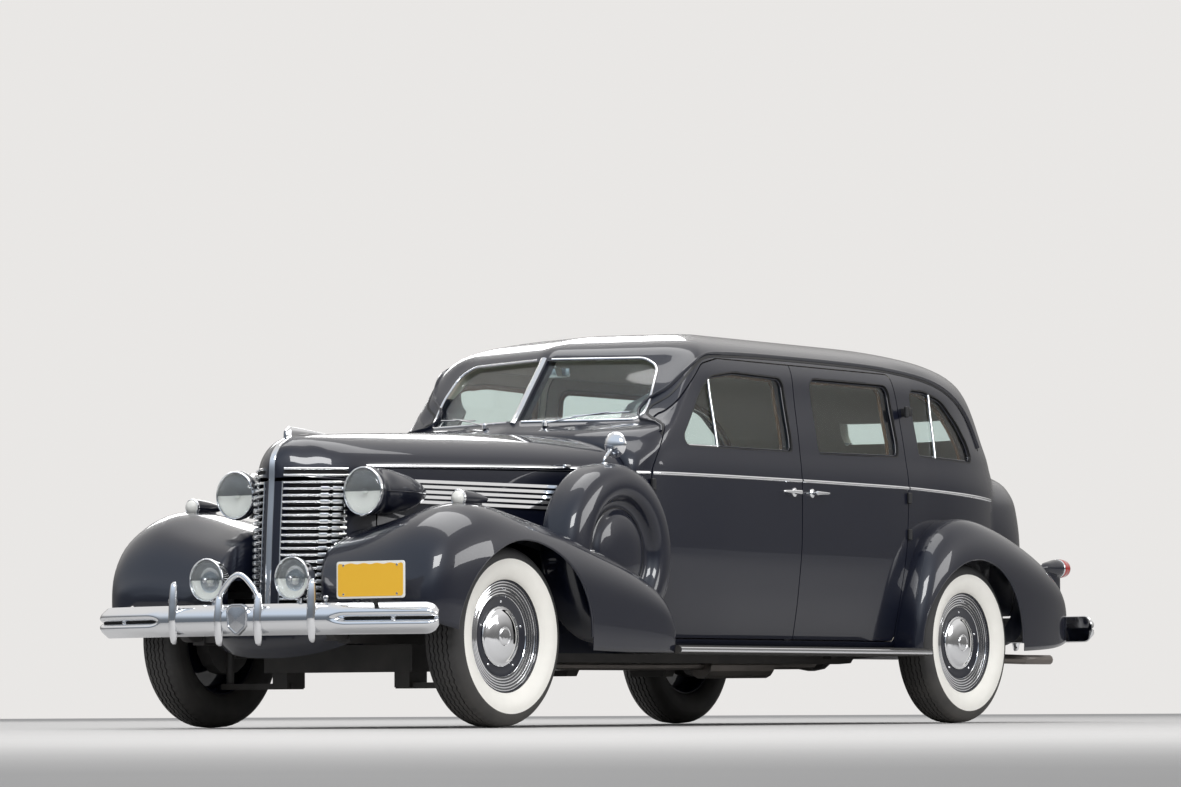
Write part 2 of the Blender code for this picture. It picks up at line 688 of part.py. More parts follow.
def cavity_form(cabin):
    hollow = grown(cabin, -WALL)
    lowest = min(vertex.co.z for vertex in hollow.vertices)
    for vertex in hollow.vertices:
        if vertex.co.z < lowest + WALL / 2:
            vertex.co.z = up(CABIN_SHARES[0][0]) + FLOOR
    return less(hollow, rear_floor_cut(FLOOR), well_cut(FLOOR))


def side_prism(shares, inset):
    return prism(resized(side_outline(shares), inset), across(0.5), HALF_WIDTH, "X")


def screen_prism(inset):
    return prism(resized(front_outline(SCREEN_SHARES), inset), -WHEELBASE / 4, 0, "Y")


def backlight_prism(inset):
    half = front_outline(BACKLIGHT_SHARES)
    outline = half + [(-x, z) for x, z in reversed(half)]
    return prism(resized(outline, inset), WHEELBASE / 2, WHEELBASE, "Y")


def lid_prism(inset):
    half = front_outline(TRUNK_LID_SHARES)
    outline = half + [(-x, z) for x, z in reversed(half)]
    return prism(resized(outline, inset), along(TRUNK_START_SHARE) + 2 * WALL, WHEELBASE, "Y")


def build_body(cabin, trunk):
    cavity = cavity_form(cabin)
    trunk_hollow = less(grown(trunk, -WALL / 2), rear_floor_cut(FLOOR), well_cut(FLOOR))
    wall = less(joined(cabin, trunk), rear_floor_cut(0), well_cut(0))
    wall = less(wall, cavity, trunk_hollow)
    shell = wall
    for shares in (FRONT_DOOR_SHARES, REAR_DOOR_SHARES):
        shell = less(shell, both(side_prism(shares, -SHUT_GAP / 2)))
    shell = less(shell, both(side_prism(QUARTER_WINDOW_SHARES, 0)), both(screen_prism(0)), backlight_prism(0))
    shell = less(shell, lid_prism(-SHUT_GAP / 2))
    for pivot, ahead in ((front_hinge(), 1), (rear_hinge(), -1)):
        shell = less(shell, both(hinge_pockets(pivot, ahead)))
    post = within(within(wall, both(pillar_prism(PILLAR_HALF))), grown(cabin, -DOOR_SKIN - SHUT_GAP))
    add("body_shell", joined(shell, post, hood_web(), lid_cheeks()), PAINT)
    rebate = within(both(pillar_prism(PILLAR_HALF + SHUT_GAP)), grown(cabin, -DOOR_SKIN))
    lid = within(less(trunk, trunk_hollow), lid_prism(SHUT_GAP / 2))
    add("trunk_lid", joined(lid, lid_hinges()), PAINT, (0, *lid_hinge()))
    for name, shares, window, hinge, ahead in (
        ("door_front", FRONT_DOOR_SHARES, FRONT_WINDOW_SHARES, front_hinge(), 1),
        ("door_rear", REAR_DOOR_SHARES, REAR_WINDOW_SHARES, rear_hinge(), -1),
    ):
        door = less(within(wall, side_prism(shares, SHUT_GAP / 2)), side_prism(window, 0), rebate)
        add_pair(name, joined(door, door_hinges(hinge, ahead)), PAINT, hinge)


def front_hinge():
    return (across(0.7731), along(-0.1670), up(0.5028))


def rear_hinge():
    return (across(0.8145), along(0.4016), up(0.5028))


def lid_hinge():
    return (along(0.8256), up(0.6480))


def lid_cheeks():
    """Plates on the body at both ends of each of the lid's barrels."""
    y, z = lid_hinge()
    outline = [(y + a * LID_HINGE_RADIUS, z + b * LID_HINGE_RADIUS) for a, b in LID_CHEEK_SHARES]
    parts = []
    for side in (-1, 1):
        for end in (-1, 1):
            near = side * across(0.2487) + end * (LID_HINGE_HALF + GAP)
            parts.append(prism(outline, *sorted((near, near + end * LID_HINGE_RADIUS)), "X"))
    return merged(*parts)


def pillar_prism(half):
    """Strip on both sides of the line where the doors meet, from below the doors to above them."""
    line = side_outline(PILLAR_SHARES)
    outline = [(y - half, z) for y, z in line] + [(y + half, z) for y, z in reversed(line)]
    return prism(outline, across(0.5), HALF_WIDTH, "X")


def hinge_pockets(pivot, ahead):
    """Hollows in the body that a door's barrels and straps turn in, open to the outside. The barrels stand on their ends."""
    x, y, _ = pivot
    reach = HINGE_HALF_HEIGHT + GAP
    parts = []
    for share in HINGE_HEIGHT_SHARES:
        low, high = up(share) - reach, up(share) + reach
        barrel = upright(x, y, low, high, HINGE_RADIUS + SHUT_GAP, LAMP_STEPS)
        slot = block((x - HINGE_RADIUS - SHUT_GAP, x + HINGE_STRAP), sorted((y, y + ahead * HINGE_SLOT)), (low, high))
        parts.append(joined(barrel, slot))
    return merged(*parts)


def door_hinges(pivot, ahead):
    """Two barrels on the door's axis, each with a strap that lies on the door."""
    x, y, _ = pivot
    parts = []
    for share in HINGE_HEIGHT_SHARES:
        low, high = up(share) - HINGE_HALF_HEIGHT, up(share) + HINGE_HALF_HEIGHT
        strap = sorted((y, y + ahead * HINGE_STRAP))
        parts.append(joined(upright(x, y, low, high, HINGE_RADIUS, 10), block((x - 0.016, x + 0.004), strap, (low + 0.004, high - 0.004))))
    return merged(*parts)


def lid_hinges():
    y, z = lid_hinge()
    parts = []
    for side in (-1, 1):
        ends = (side * across(0.2487) - LID_HINGE_HALF, side * across(0.2487) + LID_HINGE_HALF)
        radius = LID_HINGE_RADIUS
        barrel = moved(turned([(0, ends[0]), (radius, ends[0]), (radius, ends[1]), (0, ends[1])], 10), (0, y, z))
        outline = [(y + a * radius, z + b * radius) for a, b in LID_STRAP_SHARES]
        strap = prism(outline, ends[0] + radius, ends[1] - radius, "X")
        parts.append(joined(barrel, strap))
    return merged(*parts)


def build_glass(cabin):
    pane = less(grown(cabin, -GLASS_DEPTH), grown(cabin, -GLASS_DEPTH - GLASS))
    for name, shares in (
        ("glass_front", FRONT_WINDOW_SHARES),
        ("glass_rear", REAR_WINDOW_SHARES),
        ("glass_quarter", QUARTER_WINDOW_SHARES),
    ):
        add_pair(name, within(pane, side_prism(shares, GAP)), CLEAR)
    add_pair("glass_screen", within(pane, screen_prism(GAP)), CLEAR)
    add("glass_back", within(pane, backlight_prism(GAP)), CLEAR)


def hood_web():
    """Upright strip between the hood halves, fixed to the cowl, that their hinge runs along."""
    rows = [(along(row[0]), up(row[3])) for row in HOOD_SHARES[4:]]
    rows.append((rows[-1][0] + WALL / 2, rows[-1][1]))
    half = SHUT_GAP / 2 - GAP
    rings = [[(-half, y, crown - 0.05), (half, y, crown - 0.05), (half, y, crown - 0.012), (-half, y, crown - 0.012)] for y, crown in rows]
    return loft(rings)


def build_hood():
    """Two top halves hinged on the centre line, two side panels and the nose round the grille."""
    solid = hood_form(up(NOSE_BOTTOM_SHARE))
    shell = less(solid, grown(solid, -HOOD_SHEET))
    rear = along(HOOD_SHARES[-1][0]) - SHUT_GAP / 2
    front = along(HOOD_SIDE_FRONT_SHARE)
    belt = up(HOOD_SHARES[-2][2]) - SHUT_GAP
    edge = side_outline(HOOD_EDGE_SHARES)
    outline = edge + [(rear, edge[-1][1]), (rear, HEIGHT), (edge[0][0], HEIGHT)]
    top = prism(outline, SHUT_GAP / 2, HALF_WIDTH, "X")
    add_pair("hood", within(shell, top), PAINT, (SHUT_GAP / 2, along(-0.3993), up(0.7067)))
    side = block((SHUT_GAP / 2, HALF_WIDTH), (front, rear), (up(HOOD_BOTTOM_SHARE), belt - SHUT_GAP))
    add_pair("hood_side", within(shell, side), PAINT)
    return solid


def build_fenders(cabin, hood, cover):
    outer = fender_form(FRONT_FENDER_SHARES, 0)
    inner = fender_form(FRONT_FENDER_SHARES, SHEET)
    front = less(outer, inner, arch_form(FRONT_ARCH_SHARES, across(0.4560), HALF_WIDTH + WALL))
    apron = block((0, across(0.4767)), (along(-0.6355), along(-0.2756)), (0, up(0.3464)))
    front = less(front, apron, grown(cabin, GAP), grown(hood, GAP), grown(cover, GAP))
    lamp = lamp_form(PARK_LAMP_PROFILE_SHARES, PARK_LAMP_RADIUS, PARK_LAMP_SPOT_SHARES, 12)
    add_pair("fender_front", joined(front, lamp), PAINT)
    outer = fender_form(REAR_FENDER_SHARES, 0)
    inner = fender_form(REAR_FENDER_SHARES, SHEET)
    rear = less(outer, inner, arch_form(REAR_ARCH_SHARES, across(0.6218), HALF_WIDTH + WALL))
    rear = less(rear, grown(cabin, GAP), grown(trunk_form(), GAP))
    lamp = lamp_form(TAIL_LAMP_PROFILE_SHARES, TAIL_LAMP_RADIUS, TAIL_LAMP_SPOT_SHARES, 12)
    x, y, z = across(TAIL_LAMP_SPOT_SHARES[0]), along(TAIL_LAMP_SPOT_SHARES[1]), up(TAIL_LAMP_SPOT_SHARES[2])
    foot = block((x - 0.012, x + 0.012), (y - 0.16, y - 0.04), (z - 0.11, z - 0.02))
    add_pair("fender_rear", joined(rear, foot, lamp), PAINT)



# Wheels and running gear


def scaled(shares, size):
    return [(radius * size, place * size) for radius, place in shares]


def wheel_spot(front):
    track = FRONT_TRACK if front else REAR_TRACK
    return (track / 2, -WHEELBASE / 2 if front else WHEELBASE / 2, TYRE_RADIUS)


def build_wheels():
    tyre = turned(scaled(TYRE_PROFILE_SHARES, TYRE_RADIUS), WHEEL_STEPS, closed=True)
    disc = turned(scaled(WHEEL_PROFILE_SHARES, TYRE_RADIUS), WHEEL_STEPS)
    for place, front in (("front", True), ("rear", False)):
        spot = wheel_spot(front)
        add_pair("tyre_" + place, moved(tyre, spot), RUBBER, spot)
        add_pair("wheel_" + place, moved(disc, spot), PAINT, spot)


def drum():
    return turned(scaled(DRUM_PROFILE_SHARES, TYRE_RADIUS), LAMP_STEPS)


def upright(x, y, low, high, radius, steps=12):
    ring = round_section(radius, steps)
    return loft([[(x + a, y + b, z) for a, b in ring] for z in (low, high)])


def build_knuckles():
    spot = wheel_spot(True)
    post = upright(KINGPIN_ACROSS, spot[1], KINGPIN_LOW, KINGPIN_HIGH, KINGPIN_RADIUS)
    arm = block((KINGPIN_ACROSS - 0.03, KINGPIN_ACROSS + 0.02), (spot[1], spot[1] + 0.17), (0.30, 0.325))
    add_pair("knuckle", joined(moved(drum(), spot), post, arm), DARK, (KINGPIN_ACROSS, spot[1], spot[2]))


def build_front_suspension():
    y = -WHEELBASE / 2
    beam = block((-0.40, 0.40), (y - 0.08, y + 0.08), (0.235, up(RAIL_SHARES[0][1]) - RAIL_HEIGHT / 2 - GAP))
    parts = [beam]
    for side in (-1, 1):
        ends = sorted((side * 0.26, side * 0.33))
        parts.append(block(ends, (y - 0.05, y + 0.05), (0.30, 0.60)))
        ends = sorted((side * 0.28, side * (KINGPIN_ACROSS + 0.02)))
        parts.append(block(ends, (y - 0.03, y + 0.03), (KINGPIN_HIGH + GAP, 0.585)))
        ends = sorted((side * 0.28, side * (KINGPIN_ACROSS + 0.02)))
        parts.append(block(ends, (y - 0.04, y + 0.04), (0.165, KINGPIN_LOW - GAP)))
        ends = sorted((side * 0.29, side * 0.37))
        parts.append(block(ends, (y - 0.06, y + 0.06), (0.17, 0.26)))
    add("front_suspension", joined(*parts), DARK)


def build_rear_axle():
    spot = wheel_spot(False)
    reach = spot[0] - 0.2 * TYRE_RADIUS
    tube = turned([(0, -reach), (0.042, -reach), (0.042, reach), (0, reach)], 14)
    case = turned([(0, -0.13), (0.07, -0.12), (0.12, -0.06), (0.13, 0.0), (0.12, 0.06), (0.07, 0.12), (0, 0.13)], 14)
    drums = [moved(drum(), (spot[0], 0, 0)), mirrored(moved(drum(), (spot[0], 0, 0)))]
    axle = moved(joined(tube, case, *drums), (0, spot[1], spot[2]))
    path = [(0, along(y), up(z)) for y, z in TORQUE_TUBE_SHARES]
    outer = across(RAIL_ACROSS_SHARE) + RAIL_WIDTH / 2 + GAP
    leaf = swept([(outer + 0.023, along(y), up(z)) for y, z in SPRING_SHARES], box_section(0.046, 0.022))
    axle = joined(axle, leaf, mirrored(leaf))
    add("rear_axle", joined(axle, swept(path, round_section(TORQUE_TUBE_RADIUS, 12))), DARK)


def frame_rails(rows):
    """Both rails along the rows of places and heights."""
    x = across(RAIL_ACROSS_SHARE)
    rail = swept([(x, y, z) for y, z in rows], box_section(RAIL_WIDTH, RAIL_HEIGHT))
    return [rail, mirrored(rail)]


def cross_member(row, inward):
    """Straight member between the rails, set in from a row by a distance along the car."""
    x, y, z = across(RAIL_ACROSS_SHARE), along(row[0]) + inward, up(row[1])
    half, tall = CROSS_MEMBER_WIDTH / 2, CROSS_MEMBER_HEIGHT / 2
    return block((-x, x), (y - half, y + half), (z - tall, z + tall))


def build_frame():
    """Long frame with dipped members, and the kicked-up rear section that is welded to its end."""
    parts = frame_rails([(along(y), up(z)) for y, z in RAIL_SHARES])
    for place in DIP_MEMBER_PLACE_SHARES:
        path = [(across(a), along(place), up(z)) for a, z in DIP_MEMBER_SHARES]
        parts.append(swept(path, box_section(DIP_MEMBER_WIDTH, DIP_MEMBER_HEIGHT)))
    parts.append(cross_member(RAIL_SHARES[0], CROSS_MEMBER_INSET))
    add("chassis_frame", joined(*parts), DARK)
    rows = [(along(y), up(z)) for y, z in KICK_UP_SHARES]
    rear = frame_rails([(rows[0][0] + GAP, rows[0][1])] + rows[1:])
    rear += [cross_member(row, -CROSS_MEMBER_INSET) for row in KICK_UP_SHARES[4:]]
    add("frame_rear", joined(*rear), DARK)


def build_exhaust():
    path = [(across(x), along(y), up(z)) for x, y, z in EXHAUST_SHARES]
    pipe = swept(path, round_section(EXHAUST_RADIUS, 10))
    muffler = swept([(across(x), along(y), up(z)) for x, y, z in MUFFLER_SHARES], round_section(MUFFLER_RADIUS, 14))
    x, z, member = across(MUFFLER_SHARES[1][0]), up(MUFFLER_SHARES[1][2]), along(DIP_MEMBER_PLACE_SHARES[-1])
    hanger = block((x - 0.012, x + 0.012), (member - 0.012, member + 0.012), (z, up(DIP_MEMBER_SHARES[0][1]) - DIP_MEMBER_HEIGHT / 2 - GAP))
    add("exhaust", joined(pipe, muffler, hanger), DARK)


def build_tank_and_engine():
    tank = block((-0.26, 0.26), (along(0.6609), along(0.7846)), (0.33, up(REAR_FLOOR_HEIGHT_SHARE) - GAP))
    add("fuel_tank", tank, DARK)
    engine = block((-0.17, 0.17), (along(-0.4612), along(-0.2193)), (0.36, 0.98))
    pan = block((-0.13, 0.13), (along(-0.4499), along(-0.2250)), (0.245, 0.40))
    gearbox = block((-0.12, 0.12), (along(-0.2250), along(-0.1237)), (0.245, up(CABIN_SHARES[0][0]) - GAP))
    add("engine_block", joined(engine, less(pan, block((-0.4, 0.4), (-WHEELBASE, along(-0.4753)), (0, 0.4))), gearbox), DARK)


def build_running_boards():
    front = along(FRONT_FENDER_SHARES[-1][0]) + GAP
    rear = along(REAR_FENDER_SHARES[0][0]) - GAP
    top = up(CABIN_SHARES[0][0]) - GAP
    low = up(0.1743)
    section = [(0.58, low), (0.925, low), (0.943, low + 0.01), (0.945, top - 0.012), (0.935, top), (0.58, top)]
    add_pair("running_board", prism_y(section, front, rear), RUBBER)


def prism_y(outline, low, high):
    return prism(outline, low, high, "Y")


# Front end


def grille_path(height):
    rows = [tuple((up(row[0]), along(row[1]), across(row[2]), along(row[3]), across(row[4]), along(row[5]))) for row in GRILLE_SHARES]
    spine, corner_x, corner_y, flank_x, flank_y = (table_value(rows, height, column) for column in range(1, 6))
    path = []
    for share in (0.04, 0.4, 0.75, 1.0):
        path.append((corner_x * share, blend(spine, corner_y, share**GRILLE_CURVE_POWER), height))
    path.append((flank_x, flank_y, height))
    return path


def build_grille():
    """Stack of level bars on each side, held by a centre spine and a post at each flank."""
    low, high = up(GRILLE_SHARES[0][0]), up(GRILLE_SHARES[-1][0])
    half = None
    for i in range(GRILLE_BARS):
        height = blend(low, high, (i + 0.5) / GRILLE_BARS)
        bar = swept(grille_path(height), box_section(GRILLE_BAR_DEPTH, GRILLE_BAR_HEIGHT))
        half = bar if half is None else merged(half, bar)
    spine_ring, post_rings = [], []
    for row in GRILLE_SHARES:
        y, z = along(row[1]), up(row[0])
        wide = SPINE_WIDTH / 2
        spine_ring.append([(-wide, y + SPINE_DEPTH, z), (wide, y + SPINE_DEPTH, z), (wide, y, z), (wide / 2, y - 0.018, z), (-wide / 2, y - 0.018, z), (-wide, y, z)])
        x, back = across(row[4]), along(row[5])
        rear = along(NOSE_FRONT_SHARE) - GAP
        post_rings.append([(x - 0.012, back - 0.016, z), (x + 0.006, back - 0.016, z), (x + 0.010, rear, z), (x - 0.010, rear, z)])
    spine_ring[0] = [(x, y, z - 0.02) for x, y, z in spine_ring[0]]
    spine_ring.append([(x * 0.9, y, z + 0.018) for x, y, z in spine_ring[-1]])
    post_rings[0] = [(x, y, z - 0.012) for x, y, z in post_rings[0]]
    post_rings[-1] = [(x, y, z + 0.012) for x, y, z in post_rings[-1]]
    post = loft(post_rings)
    rails = [swept(grille_path(height), box_section(0.024, 0.016)) for height in (low - 0.004, high + 0.004)]
    half = joined(half, post, *rails)
    add("grille", joined(half, mirrored(half), loft(spine_ring)), CHROME)


def merged(first, *others):
    """One mesh that holds shapes that don't touch."""
    work = bmesh.new()
    for mesh in (first, *others):
        work.from_mesh(mesh)
    result = first.copy()
    work.to_mesh(result)
    work.free()
    return result


def lamp_form(profile_shares, radius, spot, steps):
    """Lamp body turned about a level axis that runs front to back."""
    shape = turned(scaled(profile_shares, radius), steps)
    turn = Matrix.Rotation(math.pi / 2, 4, "Z")
    return moved(shape, (across(spot[0]), along(spot[1]), up(spot[2])), turn)


def build_nose(solid):
    """Front shell beside the grille, with the radiator core behind it."""
    shell = less(solid, grown(solid, -HOOD_SHEET))
    front, rear = along(NOSE_FRONT_SHARE), along(HOOD_SIDE_FRONT_SHARE) - SHUT_GAP
    belt = up(HOOD_SHARES[-2][2]) - 2 * SHUT_GAP
    low = up(NOSE_BOTTOM_SHARE)
    sides = within(shell, block((-HALF_WIDTH, HALF_WIDTH), (front, rear), (low - WALL, up(0.5894))))
    core = within(grown(solid, -HOOD_SHEET / 2), block((-HALF_WIDTH, HALF_WIDTH), (rear - 0.06, rear), (low + 0.001, up(0.5810))))
    add("nose_shell", joined(sides, core), PAINT)


def build_headlamps(hood, nose_solid):
    lamp = lamp_form(HEADLAMP_PROFILE_SHARES, HEADLAMP_RADIUS, HEADLAMP_SPOT_SHARES, LAMP_STEPS)
    add_pair("headlamp", less(lamp, grown(hood, GAP)), PAINT)


def bumper_bar(spot_shares, forward):
    y, z = along(spot_shares[0]), up(spot_shares[1])
    reach = across(BUMPER_HALF_SHARE)
    path = []
    for step in range(15):
        x = -math.cos(math.pi * step / 14) * reach
        path.append((x * forward, y + forward * BUMPER_BOW * abs(x / reach) ** BUMPER_BOW_POWER, z))
    section = [(a * BUMPER_HEIGHT, b * BUMPER_HEIGHT) for a, b in BUMPER_SECTION_SHARES]
    return swept(path, section)


def guard_blade(x, y, range_shares, forward):
    low, high = up(range_shares[0]), up(range_shares[1])
    outline = [(0, low + 0.02), (0, high - 0.02), (-0.6, high), (-1, high - 0.04), (-1.15, (low + high) / 2), (-1, low + 0.04), (-0.6, low)]
    outline = [(y + forward * GUARD_DEPTH * a + forward * 0.01, z) for a, z in outline]
    return prism(outline, x - GUARD_WIDTH / 2, x + GUARD_WIDTH / 2, "X")


def build_front_bumper():
    """Bar with blank medallion, four guards, hoop, two road lamps and the brackets that reach the frame."""
    y, z = along(FRONT_BUMPER_SHARES[0]), up(FRONT_BUMPER_SHARES[1])
    parts = [bumper_bar(FRONT_BUMPER_SHARES, 1)]
    medal = turned([(0, -0.052), (0.6 * MEDALLION_RADIUS, -0.05), (MEDALLION_RADIUS, -0.042), (MEDALLION_RADIUS, 0), (0, 0)], 16)
    parts.append(moved(medal, (0, y, z), Matrix.Rotation(math.pi / 2, 4, "Z")))
    for side in (-1, 1):
        parts.append(guard_blade(side * across(OUTER_GUARD_SHARE), y + BUMPER_BOW * 0.14, OUTER_GUARD_RANGE_SHARES, 1))
        parts.append(guard_blade(side * across(INNER_GUARD_SHARE), y, INNER_GUARD_RANGE_SHARES, 1))
        spot = (side * FOG_LAMP_SPOT_SHARES[0], FOG_LAMP_SPOT_SHARES[1], FOG_LAMP_SPOT_SHARES[2])
        lamp = lamp_form(FOG_LAMP_PROFILE_SHARES, FOG_LAMP_RADIUS, spot, 16)
        x, lamp_y, lamp_z = across(spot[0]), along(spot[1]), up(spot[2])
        post = block((x - 0.02, x + 0.02), (y - 0.01, lamp_y + 0.03), (z, lamp_z))
        rail = side * across(RAIL_ACROSS_SHARE)
        rail_z = up(RAIL_SHARES[0][1])
        arm = block((rail - BRACKET_WIDTH / 2, rail + BRACKET_WIDTH / 2), (y + 0.02, along(RAIL_SHARES[0][0]) - GAP), (rail_z - 0.03, rail_z + 0.03))
        arm = joined(arm, block((rail - BRACKET_WIDTH / 2, rail + BRACKET_WIDTH / 2), (y + 0.018, y + 0.05), (rail_z - 0.02, z + 0.03)))
        parts += [lamp, post, arm]
    inner = across(INNER_GUARD_SHARE)
    peak = up(HOOP_PEAK_SHARE)
    top = up(INNER_GUARD_RANGE_SHARES[1])
    hoop = swept([(-inner, y - 0.02, top - 0.03), (-inner * 0.7, y - 0.02, top + 0.02), (0, y - 0.02, peak), (inner * 0.7, y - 0.02, top + 0.02), (inner, y - 0.02, top - 0.03)], round_section(0.012))
    add("front_bumper", joined(*parts, hoop), CHROME)


def build_rear_bumper():
    y, z = along(REAR_BUMPER_SHARES[0]), up(REAR_BUMPER_SHARES[1])
    parts = [bumper_bar(REAR_BUMPER_SHARES, -1)]
    for side in (-1, 1):
        parts.append(guard_blade(side * across(OUTER_GUARD_SHARE), y - BUMPER_BOW * 0.14, REAR_GUARD_RANGE_SHARES, -1))
        rail = side * across(RAIL_ACROSS_SHARE)
        rail_z = up(KICK_UP_SHARES[-1][1])
        parts.append(block((rail - BRACKET_WIDTH / 2, rail + BRACKET_WIDTH / 2), (along(KICK_UP_SHARES[-1][0]) + GAP, y - 0.02), (rail_z - 0.03, rail_z + 0.03)))
    add("rear_bumper", joined(*parts), CHROME)


def build_plate():
    plate = block((0.472, 0.828), (along(-0.6895), along(-0.6879)), (0.526, 0.681))
    foot = block((0.625, 0.675), (along(-0.6895), along(-0.6735)), (up(FRONT_BUMPER_SHARES[1]) + BUMPER_HEIGHT / 2 + GAP, 0.540))
    add("number_plate", joined(plate, foot), PLATE)


def build_valance():
    wide = 0.232
    outline = [(-wide, along(-0.6440)), (0, along(-0.6594)), (wide, along(-0.6440)), (wide, along(-0.5624)), (-wide, along(-0.5624))]
    ring = [[(x, y, z) for x, y in outline] for z in (up(0.2542), up(NOSE_BOTTOM_SHARE) - GAP)]
    add("front_valance", loft(ring), PAINT)


def cover_form():
    profile = [(radius * COVER_RADIUS, across(x)) for radius, x in COVER_COLUMNS]
    return moved(turned(profile, COVER_STEPS), (0, along(COVER_SPOT_SHARES[0]), up(COVER_SPOT_SHARES[1])))


def build_covers(cabin, cover):
    x, y, z = across(MIRROR_SPOT_SHARES[0]), along(MIRROR_SPOT_SHARES[1]), up(MIRROR_SPOT_SHARES[2])
    foot = up(COVER_SPOT_SHARES[1]) + COVER_RADIUS
    stem = swept([(x - 0.02, y - 0.05, foot - 0.02), (x - 0.02, y - 0.05, foot + 0.02), (x, y - 0.008, z)], round_section(0.008))
    glass = turned([(0, -0.02), (0.6 * MIRROR_RADIUS, -0.016), (MIRROR_RADIUS, -0.002), (MIRROR_RADIUS, 0.006), (0, 0.006)], 16)
    glass = moved(glass, (x, y, z), Matrix.Rotation(math.pi / 2, 4, "Z"))
    piece = less(joined(cover, stem, glass), grown(cabin, GAP))
    add_pair("spare_cover", piece, PAINT)


# Cabin


def build_interior():
    floor = up(CABIN_SHARES[0][0]) + FLOOR + GAP
    base = block((-0.60, 0.60), (0.06, 0.50), (floor, 0.56))
    cushion = block((-0.63, 0.63), (0.02, 0.54), (0.55, 0.70))
    lean = [(0.48, 0.58), (0.62, 0.56), (0.72, 1.16), (0.66, 1.20), (0.60, 1.18)]
    add("front_seat", joined(base, cushion, prism(lean, -0.63, 0.63, "X")), CLOTH)
    raised = up(REAR_FLOOR_HEIGHT_SHARE) + FLOOR + GAP
    base = block((-0.56, 0.56), (1.16, 1.38), (floor, 0.62))
    cushion = block((-0.59, 0.59), (1.12, 1.74), (raised, 0.80))
    lean = [(1.66, raised), (1.92, raised), (2.10, 1.24), (2.04, 1.30), (1.92, 1.28)]
    add("rear_seat", joined(base, cushion, prism(lean, -0.59, 0.59, "X")), CLOTH)


def steering_frame():
    centre = Vector((across(0.3731), along(-0.0478), up(0.6201)))
    axis = Vector((0, math.cos(COLUMN_TILT), math.sin(COLUMN_TILT)))
    return centre, axis


def build_controls():
    front = along(CABIN_SHARES[0][2]) + WALL + GAP
    dash = block((-0.50, 0.50), (front, front + 0.17), (1.02, 1.185))
    centre, axis = steering_frame()
    column = swept([centre - axis * 0.50, centre - axis * 0.035], round_section(0.02, 10))
    bracket = block((centre.x - 0.03, centre.x + 0.03), (front + 0.05, front + 0.10), (0.92, 1.05))
    add("dashboard", joined(dash, column, bracket), PAINT)
    turn = axis.to_track_quat("Z", "Y").to_matrix().to_4x4()
    rim = swept([(STEERING_RADIUS * math.cos(a), STEERING_RADIUS * math.sin(a), 0) for a in ring_angles(24)], round_section(0.012, 6), closed=True)
    hub = upright(0, 0, -0.034, 0.015, 0.035)
    bars = [swept([(0, 0, 0), (STEERING_RADIUS * math.cos(a), STEERING_RADIUS * math.sin(a), 0)], box_section(0.022, 0.010)) for a in (0.3, math.pi - 0.3, -math.pi / 2)]
    wheel = joined(rim, hub, *bars)
    add("steering_wheel", moved(wheel, centre, turn), IVORY, centre)


def ring_angles(count):
    return [2 * math.pi * i / count for i in range(count)]


def stand_on_origin():
    """Moves the car so that the middle of its bounding box is over the origin and the tyres stand on z = 0."""
    bpy.context.view_layer.update()
    corners = [piece.matrix_world @ Vector(corner) for piece in bpy.data.objects for corner in piece.bound_box]
    middle = [(min(c[i] for c in corners) + max(c[i] for c in corners)) / 2 for i in range(2)]
    lowest = min(corner.z for corner in corners)
    for piece in bpy.data.objects:
        piece.location -= Vector((*middle, lowest))


def clear_scene():
    for old in list(bpy.data.objects):
        bpy.data.objects.remove(old)


def main():
    clear_scene()
    cabin, trunk, cover = cabin_form(), trunk_form(), cover_form()
    build_body(cabin, trunk)
    build_glass(cabin)
    hood = build_hood()
    build_nose(hood)
    build_fenders(cabin, hood, cover)
    build_headlamps(hood, hood)
    build_covers(cabin, cover)
    build_wheels()
    build_knuckles()
    build_front_suspension()
    build_rear_axle()
    build_frame()
    build_exhaust()
    build_tank_and_engine()
    build_running_boards()
    build_grille()
    build_front_bumper()
    build_rear_bumper()
    build_plate()
    build_valance()
    build_interior()
    build_controls()
    stand_on_origin()


main()
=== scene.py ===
"""Looks of a long-wheelbase four-door touring limousine of the late 1930s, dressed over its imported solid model.

The solids give the frame: where each wheel, door, lid and lamp is and what it rides on. This script builds the fine
surfaces over them: smooth painted panels, bright trim, glass, tyres, lamps and the inside, with procedural finishes.

Axes: +Z up, the front of the car faces -Y, its left side is +X. Lengths in metres. Places along the car are
measured from the middle of the wheelbase, and the workshop moves them into the solid model's frame.
"""

from __future__ import annotations

import json
import logging
import sys
from contextlib import contextmanager
from dataclasses import dataclass, field
from enum import Enum
from math import acos, atan2, ceil, cos, dist, exp, hypot, pi, radians, sin, sqrt, tan
from typing import Callable, Iterable, Iterator, Sequence

import bmesh
import bpy
import numpy as np
from mathutils import Matrix, Vector
from mathutils.bvhtree import BVHTree

